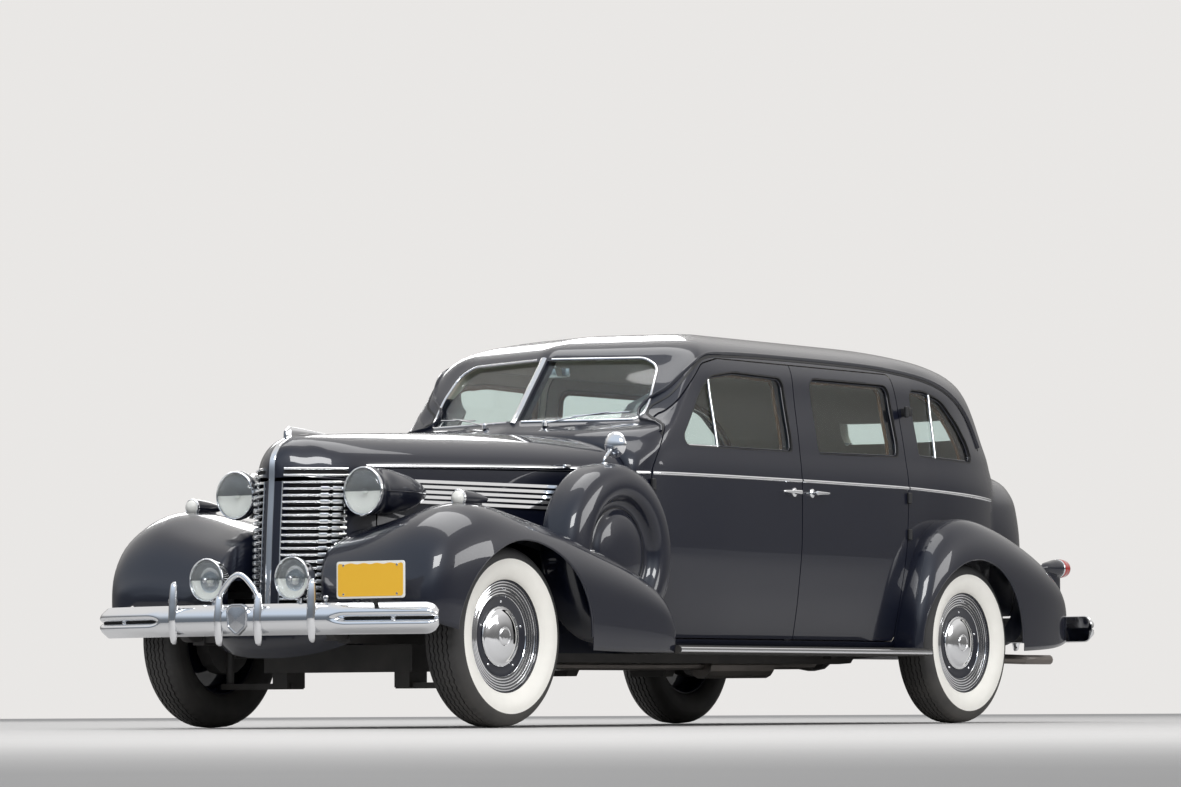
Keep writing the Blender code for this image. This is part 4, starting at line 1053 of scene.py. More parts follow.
@dataclass(frozen=True)
class Glass(Finish):
    """Clear sheet glass that is cheap to look through: mostly open, with a mirror sheen at low angles."""

    clear: float = 0.9

    def build(self, effects: Effects) -> Material:
        """Makes the material from a clear part and a mirror part.

        Args:
            effects: The shared effects.

        Returns:
            The material.
        """
        material = bpy.data.materials.new(self.name)
        material.use_nodes = True
        material.diffuse_color = (*self.colour, 0.3)
        wires = Wiring(material.node_tree)
        shader = material.node_tree.nodes["Principled BSDF"]
        end = material.node_tree.nodes["Material Output"]
        self.set_constants(shader)
        shader.inputs["Metallic"].default_value = 0.0
        shader.inputs["Transmission Weight"].default_value = 1.0
        open_part = wires.node("ShaderNodeBsdfTransparent")
        open_part.inputs["Color"].default_value = (*[c**0.5 for c in self.colour], 1.0)
        shine = wires.node("ShaderNodeBsdfGlossy", in_Roughness=self.roughness)
        edge = wires.node("ShaderNodeFresnel", in_IOR=1.75)
        outward = wires.maths("SUBTRACT", 1.0, wires.node("ShaderNodeNewGeometry").outputs["Backfacing"])
        mix = wires.node("ShaderNodeMixShader")
        wires.join(wires.maths("MULTIPLY", edge.outputs[0], outward), mix.inputs[0])
        wires.join(open_part.outputs[0], mix.inputs[1])
        wires.join(shine.outputs[0], mix.inputs[2])
        both_parts = wires.node("ShaderNodeMixShader")
        both_parts.inputs[0].default_value = self.clear
        wires.join(shader.outputs[0], both_parts.inputs[1])
        wires.join(mix.outputs[0], both_parts.inputs[2])
        wires.join(both_parts.outputs[0], end.inputs["Surface"])
        return material


@dataclass(frozen=True)
class LensGlass(Glass):
    """Lamp glass with moulded flutes that run up the lens."""

    flutes: float = 0.0

    def build(self, effects: Effects) -> Material:
        """Makes clear glass and adds the flutes as a height across the lens.

        Args:
            effects: The shared effects.

        Returns:
            The material.
        """
        material = super().build(effects)
        wires = Wiring(material.node_tree)
        place = wires.node("ShaderNodeTexCoord").outputs["Object"]
        wave = wires.node("ShaderNodeTexWave", bands_direction="X", in_Scale=self.flutes, in_Distortion=0.0)
        wires.join(place, wave.inputs["Vector"])
        normal = wires.bump(wave.outputs["Fac"], 0.35, 0.002)
        for node in material.node_tree.nodes:
            if node.bl_idname in ("ShaderNodeBsdfPrincipled", "ShaderNodeBsdfGlossy"):
                wires.join(normal, node.inputs["Normal"])
        return material


@dataclass(frozen=True)
class Ribbed(Finish):
    """Rubber with ribs that run along the car."""

    ribs: float = 40.0

    def wire(self, wires: Wiring, shader: Node, effects: Effects) -> None:
        """Adds a height of even ribs across the board.

        Args:
            wires: The node tree that is built.
            shader: The finish's shader.
            effects: The shared effects.
        """
        place = wires.node("ShaderNodeTexCoord").outputs["Object"]
        wave = wires.node("ShaderNodeTexWave", bands_direction="X", in_Scale=self.ribs, in_Distortion=0.0)
        wires.join(place, wave.inputs["Vector"])
        wires.join(wires.bump(wave.outputs["Fac"], 0.6, 0.002), shader.inputs["Normal"])


@dataclass
class Palette:
    """Every finish of the car, built once."""

    finishes: tuple[Finish, ...] = (
        Finish(
            "navy_paint", (0.0040, 0.0056, 0.0150), roughness=0.36, coat=1.0, coat_roughness=0.015, haze=0.05,
            specular=0.25,
        ),
        Finish("chrome", (0.83, 0.84, 0.86), roughness=0.045, metallic=1.0, haze=0.03),
        Finish("satin_chrome", (0.55, 0.56, 0.58), roughness=0.22, metallic=1.0, haze=0.08),
        Finish("dull_steel", (0.20, 0.20, 0.205), roughness=0.45, metallic=0.9, grain=0.2, grain_scale=300.0),
        Finish(
            "tyre_rubber", (0.022, 0.022, 0.023), roughness=0.62, grain=0.25, grain_scale=700.0, mottle=0.25,
            dust=0.25,
        ),
        Finish("whitewall", (0.86, 0.84, 0.785), roughness=0.48, grain=0.08, grain_scale=500.0, mottle=0.04),
        Finish("black_rubber", (0.012, 0.012, 0.013), roughness=0.5, grain=0.15),
        # Near-black painted shade: the gaps between the top grille bars, the bumpers' groove floors and the sheet
        # behind the radiator fins.
        Finish("black_gap", (0.004, 0.004, 0.004), roughness=0.9),
        Finish(
            "underbody_black", (0.014, 0.014, 0.015), roughness=0.55, grain=0.4, grain_scale=160.0, mottle=0.3,
            dust=0.35,
        ),
        Finish("cast_iron", (0.035, 0.035, 0.037), roughness=0.6, grain=0.6, grain_scale=220.0, mottle=0.3, dust=0.3),
        Finish("engine_paint", (0.05, 0.11, 0.085), roughness=0.4, grain=0.3, grain_scale=120.0, mottle=0.2),
        Finish(
            "exhaust_steel", (0.22, 0.20, 0.185), roughness=0.42, metallic=0.9, grain=0.5, grain_scale=90.0,
            mottle=0.35,
        ),
        Finish("wool_cloth", (0.40, 0.335, 0.26), roughness=0.92, weave=0.5, mottle=0.12, sheen=0.35),
        Finish("door_cloth", (0.34, 0.29, 0.23), roughness=0.95, weave=0.4, mottle=0.12, sheen=0.3),
        Finish("headliner", (0.56, 0.51, 0.43), roughness=0.95, weave=0.3, weave_scale=380.0, mottle=0.08, sheen=0.2),
        Finish("carpet", (0.075, 0.063, 0.052), roughness=1.0, weave=0.9, weave_scale=150.0, mottle=0.3, sheen=0.2),
        Finish("wood_grain", (0.16, 0.075, 0.03), roughness=0.25, coat=0.6, grain=0.05, grain_scale=60.0, mottle=0.35),
        Finish("ivory", (0.62, 0.55, 0.36), roughness=0.28, coat=0.4, haze=0.05),
        Finish("dial_face", (0.55, 0.50, 0.38), roughness=0.4),
        Finish("plate_yellow", (0.88, 0.50, 0.03), roughness=0.35, coat=0.3),
        Finish("plate_white", (0.80, 0.80, 0.76), roughness=0.35, coat=0.3),
        Finish("lamp_red", (0.42, 0.008, 0.006), roughness=0.12, coat=1.0),
        Finish("mirror_silver", (0.90, 0.91, 0.92), roughness=0.02, metallic=1.0),
        Finish("bar_chrome", (0.90, 0.905, 0.91), roughness=0.20, metallic=1.0, haze=0.03),
        # Flat white and flat grey stand in for the lamp reflector's mirror: a painted bright reflection below, a
        # painted dark reflection above.
        Finish("reflector", (0.93, 0.93, 0.90), roughness=0.4),
        Finish("reflector_shade", (0.16, 0.165, 0.17), roughness=0.35),
        # Near-black for most of each band of the chrome trim ring: a painted dark reflection.
        Finish("ring_groove", (0.02, 0.021, 0.026), roughness=0.3, coat=0.5),
        Glass("window_glass", (0.84, 0.93, 0.91), roughness=0.0, clear=0.97),
        LensGlass("lamp_lens", (0.93, 0.95, 0.94), roughness=0.05, clear=0.85, flutes=60.0),
        Ribbed("board_rubber", (0.016, 0.016, 0.017), roughness=0.55, ribs=32.0),
    )

    made: dict[str, Material] = field(init=False)

    def __post_init__(self) -> None:
        """Builds every material with the shared effects."""
        effects = Effects()
        self.made = {finish.name: finish.build(effects) for finish in self.finishes}

    def __getitem__(self, name: str) -> Material:
        """The material with a name."""
        return self.made[name]


# Placing pieces


@dataclass
class Workshop:
    """Puts finished pieces into the scene, in the solid model's frame."""

    frame: dict
    palette: Palette
    count: int = 0
    shift: Vector = field(init=False)
    half_width: float = field(init=False)

    def __post_init__(self) -> None:
        """Reads the frame's shift along the car and its half width."""
        low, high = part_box("tyre_front_left")
        self.shift = Vector((0, (low.y + high.y) / 2 + WHEELBASE / 2, 0))
        self.half_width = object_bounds()[1][0]

    def add(
        self,
        name: str,
        mesh: Mesh,
        finishes: str | Sequence[str],
        body: str = "car_body",
        smooth: float = 32.0,
        source: Mesh | None = None,
    ) -> Object:
        """Adds one piece.

        Args:
            name: The piece's name.
            mesh: Its shape, placed along the car from the middle of the wheelbase.
            finishes: One finish, or one for each material number of the faces.
            body: The rigid body it moves with.
            smooth: Edges sharper than this many degrees stay sharp.
            source: The smooth form that the outside was cut from, whose shading it takes over.

        Returns:
            The object.
        """
        names = [finishes] if isinstance(finishes, str) else list(finishes)
        numbers = [p.material_index for p in mesh.polygons]
        mesh.materials.clear()
        for finish in names:
            mesh.materials.append(self.palette[finish])
        if len(names) > 1:
            for polygon, number in zip(mesh.polygons, numbers):
                polygon.material_index = number
        mesh.polygons.foreach_set("use_smooth", [True] * len(mesh.polygons))
        mesh.set_sharp_from_angle(angle=radians(smooth))
        if source is not None:
            take_normals(mesh, source)
        mesh.transform(Matrix.Translation(self.shift))
        places = np.empty(len(mesh.vertices) * 3)
        mesh.vertices.foreach_get("co", places)
        places[::3] = np.clip(places[::3], -self.half_width, self.half_width)
        mesh.vertices.foreach_set("co", places)
        mesh.name = name
        piece = bpy.data.objects.new(name, mesh)
        bpy.context.scene.collection.objects.link(piece)
        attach(piece, body)
        self.count += 1
        LOG.info("%-34s %7d faces on %s", name, len(mesh.polygons), body)
        return piece

    def pair(
        self, name: str, mesh: Mesh, finishes: str | Sequence[str], body: str = "car_body", **settings: object
    ) -> None:
        """Adds a left side piece and its mirror image.

        Args:
            name: The pieces' name without the side.
            mesh: The left piece's shape.
            finishes: As in add.
            body: The rigid body, with "{side}" where the side's name goes.
            settings: Passed on to add. A source is mirrored with the shape.
        """
        source = settings.pop("source", None)
        other = mirrored(mesh)
        for side, shape in ((Side.LEFT, mesh), (Side.RIGHT, other)):
            form = source if source is None or side is Side.LEFT else mirrored(source)
            self.add(f"{name}_{side.word}", shape, finishes, body.replace("{side}", side.word), source=form, **settings)

    def hide(self, piece: str, *nodes: str) -> None:
        """Hides the solids that a piece takes the place of."""
        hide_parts(*nodes)


def take_normals(mesh: Mesh, source: Mesh, reach: float = 0.0012) -> None:
    """Gives the faces that lie on a smooth form that form's shading.

    Args:
        mesh: The cut shape.
        source: The smooth form.
        reach: How near a face must lie.
    """
    source.calc_loop_triangles()
    corners = np.array([tri.vertices for tri in source.loop_triangles])
    places = np.array([v.co for v in source.vertices])
    normals = np.array([v.normal for v in source.vertices])
    tree = BVHTree.FromPolygons([Vector(p) for p in places], corners.tolist())
    custom = [Vector(n.vector) for n in mesh.corner_normals]
    for polygon in mesh.polygons:
        hit, facing, _, distance = tree.find_nearest(polygon.center)
        if hit is None or distance > reach or facing.dot(polygon.normal) < 0.85:
            continue
        for loop in polygon.loop_indices:
            point = mesh.vertices[mesh.loops[loop].vertex_index].co
            hit, facing, index, distance = tree.find_nearest(point)
            if hit is None or distance > reach:
                continue
            weights = shares_in_triangle(np.array(hit), places[corners[index]])
            blended = Vector(weights @ normals[corners[index]])
            if blended.length > 0.5 and blended.dot(polygon.normal) > 0.5:
                custom[loop] = blended.normalized()
    mesh.normals_split_custom_set(custom)


def shares_in_triangle(point: np.ndarray, triangle: np.ndarray) -> np.ndarray:
    """How much of each corner a point inside a triangle holds.

    Args:
        point: The point.
        triangle: The three corners.

    Returns:
        The three shares.
    """
    edge_one, edge_two, reach = triangle[1] - triangle[0], triangle[2] - triangle[0], point - triangle[0]
    one, cross, two = edge_one @ edge_one, edge_one @ edge_two, edge_two @ edge_two
    first, second = reach @ edge_one, reach @ edge_two
    scale = one * two - cross * cross
    if scale < 1e-18:
        return np.array([1.0, 0.0, 0.0])
    b, c = (two * first - cross * second) / scale, (one * second - cross * first) / scale
    return np.clip([1 - b - c, b, c], 0, 1)


def paint_inside(mesh: Mesh, outer: Mesh, number: int = 1, reach: float = 0.0015) -> Mesh:
    """Gives every face that doesn't lie on the outer form, and looks inwards, another material number.

    Args:
        mesh: The cut shape.
        outer: The form that its outside lies on.
        number: The material number of the inside.
        reach: How near an outside face lies to the form.

    Returns:
        The same mesh.
    """
    tree = tree_of(outer)
    for polygon in mesh.polygons:
        _, facing, _, distance = tree.find_nearest(polygon.center)
        inside = distance > reach and (facing.dot(polygon.normal) < -0.3)
        polygon.material_index = number if inside else 0
    return mesh


# Body forms


@dataclass
class Forms:
    """The smooth outer forms that the painted panels are cut from, as tables that are read with smooth curves."""

    # Height, half width, nose, corner across, corner place, side start, tail
    cabin_rows: Table = (
        (0.350, 0.735, -0.700, 0.630, -0.700, -0.665, 2.700),
        (0.600, 0.770, -0.700, 0.660, -0.700, -0.665, 2.800),
        (0.850, 0.788, -0.700, 0.677, -0.700, -0.660, 2.860),
        (1.100, 0.785, -0.700, 0.672, -0.700, -0.650, 2.840),
        (1.160, 0.780, -0.700, 0.645, -0.700, -0.600, 2.820),
        (1.220, 0.772, -0.700, 0.535, -0.700, -0.500, 2.790),
        (1.270, 0.766, -0.700, 0.250, -0.700, -0.450, 2.770),
        (1.335, 0.757, -0.625, 0.590, -0.475, -0.400, 2.730),
        (1.500, 0.733, -0.490, 0.570, -0.345, -0.265, 2.630),
        (1.620, 0.708, -0.395, 0.550, -0.250, -0.165, 2.500),
        (1.675, 0.665, -0.350, 0.500, -0.215, -0.100, 2.380),
        (1.725, 0.570, -0.220, 0.400, -0.110, 0.020, 2.180),
        (1.765, 0.400, 0.020, 0.260, 0.100, 0.220, 1.850),
        (1.781, 0.220, 0.300, 0.140, 0.370, 0.460, 1.500),
        (1.7845, 0.0, 0.600, 0.0, 0.600, 0.600, 1.250),
    )
    taper_rows: Table = (
        (-0.70, 0.885), (-0.61, 0.935), (-0.35, 0.98), (0.0, 1.0), (1.2, 1.0), (1.75, 0.97), (3.0, 0.93)
    )
    round_share: float = 0.66
    round_power: float = 2.4
    # Height, half width, tail of the luggage bulge
    trunk_rows: Table = (
        (0.440, 0.600, 2.930),
        (0.560, 0.650, 2.980),
        (0.850, 0.680, 3.010),
        (1.050, 0.665, 2.980),
        (1.150, 0.620, 2.930),
        (1.205, 0.530, 2.850),
        (1.228, 0.420, 2.770),
        (1.236, 0.0, 2.700),
    )
    trunk_start: float = 2.250
    trunk_power: float = 2.7
    # Place, half width at the belt, belt height, crown height of the hood
    hood_rows: Table = (
        (-2.288, 0.000, 1.030, 1.085),
        (-2.283, 0.030, 1.030, 1.120),
        (-2.270, 0.056, 1.030, 1.145),
        (-2.240, 0.100, 1.030, 1.178),
        (-2.190, 0.148, 1.032, 1.206),
        (-2.130, 0.208, 1.045, 1.221),
        (-2.050, 0.260, 1.070, 1.229),
        (-1.900, 0.318, 1.082, 1.240),
        (-1.500, 0.450, 1.092, 1.260),
        (-1.100, 0.570, 1.098, 1.276),
        (-0.700, 0.672, 1.100, 1.284),
    )
    hood_power: float = 2.2
    hood_edge: Table = (
        (-2.350, 1.036), (-2.075, 1.062), (-1.970, 1.085), (-1.880, 1.090), (-1.0, 1.098), (-0.69, 1.100)
    )
    # Place, crest, outer half width, inner half width, catwalk height, bottom of the fenders
    front_fender_rows: Table = (
        (-2.356, 0.560, 0.690, 0.420, 0.545, 0.530),
        (-2.348, 0.605, 0.780, 0.340, 0.575, 0.490),
        (-2.330, 0.650, 0.832, 0.300, 0.605, 0.455),
        (-2.300, 0.735, 0.872, 0.274, 0.668, 0.430),
        (-2.240, 0.820, 0.905, 0.262, 0.740, 0.410),
        (-2.140, 0.885, 0.930, 0.260, 0.790, 0.390),
        (-2.017, 0.924, 0.948, 0.260, 0.825, 0.370),
        (-1.800, 0.915, 0.958, 0.260, 0.840, 0.350),
        (-1.600, 0.874, 0.960, 0.300, 0.835, 0.335),
        (-1.400, 0.830, 0.957, 0.350, 0.810, 0.325),
        (-1.250, 0.787, 0.952, 0.400, 0.775, 0.320),
        (-1.000, 0.712, 0.942, 0.450, 0.700, 0.316),
        (-0.830, 0.644, 0.932, 0.500, 0.625, 0.316),
        (-0.740, 0.590, 0.925, 0.520, 0.575, 0.316),
        (-0.690, 0.532, 0.918, 0.535, 0.520, 0.316),
        (-0.672, 0.488, 0.914, 0.540, 0.478, 0.316),
    )
    rear_fender_rows: Table = (
        (1.366, 0.420, 0.845, 0.600, 0.420, 0.316),
        (1.380, 0.540, 0.868, 0.600, 0.540, 0.316),
        (1.405, 0.640, 0.888, 0.600, 0.640, 0.316),
        (1.470, 0.790, 0.918, 0.600, 0.790, 0.316),
        (1.580, 0.900, 0.942, 0.600, 0.900, 0.318),
        (1.740, 0.958, 0.956, 0.600, 0.958, 0.322),
        (1.900, 0.952, 0.960, 0.600, 0.952, 0.330),
        (2.100, 0.908, 0.956, 0.600, 0.908, 0.338),
        (2.300, 0.850, 0.942, 0.580, 0.850, 0.345),
        (2.500, 0.782, 0.915, 0.560, 0.782, 0.355),
        (2.680, 0.705, 0.872, 0.540, 0.705, 0.375),
        (2.800, 0.630, 0.820, 0.520, 0.630, 0.400),
        (2.862, 0.565, 0.755, 0.520, 0.565, 0.440),
        (2.880, 0.530, 0.700, 0.530, 0.530, 0.470),
    )
    fender_section: Table = (
        (0.0, 1.0, 1.0), (0.3, 1.0, 0.55), (0.52, 1.0, 0.15), (0.68, 1.0, 0.0), (0.82, 0.955, 0.0), (0.92, 0.86, 0.0),
        (0.98, 0.70, 0.0), (1.0, 0.48, 0.0), (0.99, 0.0, 0.0),
    )
    front_arch: Point = (-1.765, 0.440, 0.778)
    rear_arch: Point = (1.790, 0.398, 0.772)

    cabin: Mesh = field(init=False)
    trunk: Mesh = field(init=False)
    hood: Mesh = field(init=False)
    front_fender: Mesh = field(init=False)
    rear_fender: Mesh = field(init=False)

    def __post_init__(self) -> None:
        """Builds the forms once."""
        self.cabin = self.cabin_form()
        self.trunk = self.trunk_form()
        self.hood = self.hood_form()
        self.front_fender = self.fender_form(self.front_fender_rows, 0.0)
        self.rear_fender = self.fender_form(self.rear_fender_rows, 0.0)

    def taper(self, y: np.ndarray) -> np.ndarray:
        """How much of its full half width the body has at a place along the car."""
        table = np.array(self.taper_rows)
        return steady_spline(table[:, 0], table[:, 1], y)

    def cabin_levels(self, count: int) -> np.ndarray:
        """The cabin's table, read at many heights. The steps are finer where the roof turns over.

        Args:
            count: Number of heights.

        Returns:
            The points.
        """
        table = np.array(self.cabin_rows)
        steps = chord_steps(table[:, :2])
        at = np.linspace(0, steps[-1], count)
        keys = np.concatenate([at, steps[7] + np.array([-0.02, -0.01, 0.0, 0.01, 0.02])])
        keys = np.unique(np.round(keys, 5))
        width = natural_spline(steps[2:], table[2:, 1], np.maximum(keys, steps[2]))
        low = steady_spline(steps, table[:, 1], keys)
        columns = [steady_spline(steps, table[:, 0], keys), np.where(keys < steps[6], low, width)]
        columns += [steady_spline(steps, table[:, k], keys) for k in range(2, 7)]
        rows = np.array(columns).T
        rows[:, 1] = np.maximum(rows[:, 1], 0)
        rows[-1, 1] = 0
        return rows

    def cabin_ring(self, row: np.ndarray) -> np.ndarray:
        """One level ring of the cabin.

        Args:
            row: One row of the table.

        Returns:
            The points.
        """
        z, wide, nose, corner_x, corner_y, start, tail = row
        half: list[tuple[float, float]] = []
        for share in np.linspace(0, 1, 11):
            half.append((corner_x * share, nose + (corner_y - nose) * share))
        start_x = wide * float(self.taper(np.array([start]))[0])
        reach = hypot(start_x - corner_x, start - corner_y)
        ahead = np.array([corner_x, corner_y - nose]) / max(hypot(corner_x, corner_y - nose), 1e-6)
        first, last = np.array([corner_x, corner_y]), np.array([start_x, start])
        one, two = first + ahead * reach * 0.36, last - np.array([0.04, 1.0]) * reach * 0.42
        for t in np.linspace(0, 1, 15)[1:]:
            spot = first * (1 - t) ** 3 + 3 * one * t * (1 - t) ** 2 + 3 * two * t * t * (1 - t) + last * t**3
            half.append((float(spot[0]), float(spot[1])))
        turn = start + (tail - start) * self.round_share
        side = np.linspace(start, turn, 30)[1:]
        half += [(wide * share, y) for share, y in zip(self.taper(side), side)]
        full = wide * float(self.taper(np.array([turn]))[0])
        for angle in np.linspace(0, pi / 2, 26)[1:-1]:
            share = sin(angle) ** (2 / self.round_power)
            half.append((full * cos(angle) ** (2 / self.round_power), turn + (tail - turn) * share))
        half.append((0.0, tail))
        ring = half + [(-x, y) for x, y in reversed(half[1:-1])]
        return np.array([(x, y, z) for x, y in ring])

    def cabin_form(self) -> Mesh:
        """The cabin, from level rings."""
        return closed_up(loft([self.cabin_ring(row) for row in self.cabin_levels(84)], ends=False))

    def trunk_form(self) -> Mesh:
        """The luggage bulge, from level rings.

        Returns:
            The shape.
        """
        table = np.array(self.trunk_rows)
        steps = chord_steps(table[:, [0, 2]] * (1, 0.6))
        keys = np.linspace(0, steps[-1], 44)
        rows = np.array([steady_spline(steps, table[:, k], keys) for k in range(3)]).T
        rings = []
        for z, wide, tail in rows:
            half = [(wide, self.trunk_start)]
            for angle in np.linspace(0, pi / 2, 34)[1:-1]:
                share = sin(angle) ** (2 / self.trunk_power)
                half.append(
                    (
                        wide * cos(angle) ** (2 / self.trunk_power),
                        self.trunk_start + (tail - self.trunk_start) * share,
                    )
                )
            half.append((0.0, tail))
            ring = half + [(-x, y) for x, y in reversed(half[:-1])]
            rings.append(np.array([(x, y, z) for x, y in ring]))
        return closed_up(loft(rings, ends=False))

    def hood_form(self) -> Mesh:
        """The hood and nose, from upright sections.

        Returns:
            The shape.
        """
        table = np.array(self.hood_rows)
        steps = chord_steps(table[:, [0, 1, 3]] * (0.6, 1, 1))
        keys = np.unique(
            np.round(np.concatenate([np.linspace(0, steps[5], 26), np.linspace(steps[5], steps[-1], 44)]), 5)
        )
        rows = np.array([steady_spline(steps, table[:, k], keys) for k in range(4)]).T
        rings = []
        for y, wide, belt, crown in rows:
            half = [(wide, 0.5 + (belt - 0.5) * share) for share in np.linspace(0, 1, 14)[:-1]]
            for angle in np.linspace(0, pi / 2, 30)[:-1]:
                rise = (crown - belt) * sin(angle) ** (2 / self.hood_power)
                half.append((wide * cos(angle) ** (2 / self.hood_power), belt + rise))
            ring = half + [(0.0, crown)] + [(-x, z) for x, z in reversed(half)]
            rings.append(np.array([(x, y, z) for x, z in ring]))
        return closed_up(loft(rings, ends=False))

    def fender_ring(self, row: np.ndarray, inset: float) -> np.ndarray:
        """One upright section of a fender, from its inner foot over the crest to its outer foot.

        Args:
            row: One row of the table.
            inset: How far the outline moves in.

        Returns:
            The points.
        """
        y, crest, outer, inner, catwalk, bottom = row
        crest, outer, inner, catwalk = crest - inset, outer - inset, inner + inset, catwalk - inset
        if inset:
            bottom -= WALL
        wide = outer - inner
        knots = []
        for x_share, z_share, low_share in self.fender_section:
            level = crest + (catwalk - crest) * low_share
            knots.append((inner + wide * x_share, bottom + z_share * (level - bottom)))
        crown = smooth_path(knots, 44)
        foot = [(inner, bottom + (catwalk - bottom) * share) for share in (0.0, 0.5)]
        return np.array([(x, y, z) for x, z in foot] + [(x, y, z) for x, z in crown])

    def fender_form(self, table_rows: Table, inset: float) -> Mesh:
        """A fender from its table, or the form that hollows it out.

        Args:
            table_rows: The fender's table.
            inset: How far the outline moves in.

        Returns:
            The shape.
        """
        table = np.array(table_rows)
        steps = chord_steps(table[:, :3])
        keys = np.linspace(0, steps[-1], 80)
        columns = [steady_spline(steps, table[:, 0], keys)] + [natural_spline(steps, table[:, k], keys) for k in (1, 2)]
        columns += [steady_spline(steps, table[:, k], keys) for k in (3, 4, 5)]
        rings = [self.fender_ring(row, inset) for row in np.array(columns).T]
        if inset:
            for ring, sign in ((rings[0], 1), (rings[-1], -1)):
                ring[:, 1] += sign * inset
        return loft(rings)

    def hollow_fender(self, front: bool, thick: float) -> tuple[Mesh, Mesh]:
        """A fender's outside and the form that hollows it out."""
        table = self.front_fender_rows if front else self.rear_fender_rows
        return (self.front_fender if front else self.rear_fender), self.fender_form(table, thick)


def closed_up(mesh: Mesh) -> Mesh:
    """The mesh with flat faces over its open rims and without faces shrunk to a line.

    Args:
        mesh: The shape.

    Returns:
        The shape.
    """
    with editing(mesh) as work:
        bmesh.ops.remove_doubles(work, verts=work.verts, dist=2e-5)
        bmesh.ops.dissolve_degenerate(work, dist=1e-5, edges=work.edges)
        shrunk = [face for face in work.faces if face.calc_area() < 1e-10]
        bmesh.ops.delete(work, geom=shrunk, context="FACES")
        rims = [edge for edge in work.edges if edge.is_boundary]
        bmesh.ops.holes_fill(work, edges=rims, sides=0)
        bmesh.ops.recalc_face_normals(work, faces=work.faces)
    return mesh


def grown(mesh: Mesh, distance: float) -> Mesh:
    """Copy with every face moved out by the distance, or in when it is negative.

    Args:
        mesh: The shape.
        distance: How far, in metres.

    Returns:
        The shape.
    """
    copy = mesh.copy()
    with editing(copy) as work:
        work.normal_update()
        shifts = [(v, v.normal * min(v.calc_shell_factor(), 1.6) * distance) for v in work.verts]
        for vertex, shift in shifts:
            vertex.co += shift
    return copy


def leftover(mesh: Mesh, smallest: float = 0.002) -> Mesh:
    """The mesh without crumbs that a cut left: parts whose box is smaller than the given size.

    Args:
        mesh: The shape.
        smallest: The smallest box side that stays.

    Returns:
        The shape.
    """
    with editing(mesh) as work:
        seen: set[int] = set()
        doomed = []
        work.verts.ensure_lookup_table()
        for start in work.verts:
            if start.index in seen:
                continue
            part, queue = [], [start]
            seen.add(start.index)
            while queue:
                vertex = queue.pop()
                part.append(vertex)
                for edge in vertex.link_edges:
                    other = edge.other_vert(vertex)
                    if other.index not in seen:
                        seen.add(other.index)
                        queue.append(other)
            places = np.array([v.co for v in part])
            if np.linalg.norm(places.max(0) - places.min(0)) < smallest:
                doomed += part
        if doomed:
            bmesh.ops.delete(work, geom=doomed, context="VERTS")
    return mesh


class Opening(Enum):
    """The doors, windows and lids: place or distance across, height and corner radius of each corner."""

    FRONT_DOOR = (
        (-0.465, 0.382, 0.05), (0.500, 0.382, 0.0), (0.522, 1.100, 2.0), (0.535, 1.630, 0.0), (-0.040, 1.630, 0.10),
        (-0.175, 1.600, 0.10), (-0.465, 1.330, 0.2), (-0.595, 1.106, 0.12), (-0.560, 0.750, 0.6),
    )
    REAR_DOOR = (
        (0.500, 0.382, 0.0), (1.350, 0.382, 0.03), (1.372, 0.560, 0.6), (1.415, 0.850, 1.0), (1.440, 1.120, 0.6),
        (1.415, 1.500, 0.25), (1.385, 1.630, 0.04), (0.535, 1.630, 0.0), (0.522, 1.100, 2.0),
    )
    FRONT_WINDOW = (
        (-0.405, 1.226, 0.04), (0.468, 1.228, 0.03), (0.470, 1.300, 0.5), (0.455, 1.568, 0.05), (0.060, 1.576, 0.5),
        (-0.120, 1.550, 0.12), (-0.190, 1.500, 0.15),
    )
    REAR_WINDOW = (
        (0.680, 1.230, 0.03), (1.372, 1.240, 0.03), (1.380, 1.300, 0.3), (1.350, 1.580, 0.055), (0.665, 1.578, 0.055)
    )
    QUARTER_WINDOW = (
        (1.565, 1.250, 0.025), (2.110, 1.240, 0.04), (2.080, 1.330, 0.15), (2.000, 1.420, 0.3), (1.850, 1.530, 0.25),
        (1.680, 1.568, 0.2), (1.535, 1.570, 0.045),
    )
    SCREEN = (
        (0.020, 1.352, 0.0), (0.575, 1.350, 0.035), (0.578, 1.450, 0.4), (0.545, 1.585, 0.07), (0.470, 1.624, 0.12),
        (0.020, 1.630, 0.0),
    )
    BACKLIGHT = ((0.300, 1.350, 0.03), (0.320, 1.420, 0.1), (0.290, 1.550, 0.05))
    TRUNK_LID = ((0.480, 0.560, 0.05), (0.522, 0.640, 0.1), (0.522, 1.020, 0.15), (0.450, 1.148, 0.07))

    def corners(self) -> Outline:
        """The outline with its corners rounded."""
        return rounded([(a, b) for a, b, _ in self.value], [r for _, _, r in self.value])

    def curve(self, inset: float = 0.0, longest: float = 0.025) -> Outline:
        """The outline with its corners rounded, moved in by the inset and finely divided."""
        outline = dense(self.corners(), longest)
        return resized(outline, inset) if inset else outline

    def side_cutter(self, inset: float = 0.0) -> Mesh:
        """Solid that passes through the car's left side with the outline."""
        return prism(self.curve(inset), *SIDE_REACH, "X")

    def screen_cutter(self, inset: float = 0.0) -> Mesh:
        """Solid that passes through the left half of the windscreen."""
        return prism(self.curve(inset), *SCREEN_REACH, "Y")

    def rear_cutter(self, inset: float, low: float) -> Mesh:
        """Solid that passes through the back, from low on, with the outline and its mirror image.

        Args:
            inset: How far the outline moves in.
            low: Where it starts along the car.

        Returns:
            The shape.
        """
        half = self.corners()
        outline = dense(half + [(-x, z) for x, z in reversed(half)], 0.03)
        return prism(resized(outline, inset) if inset else outline, low, BEHIND, "Y")


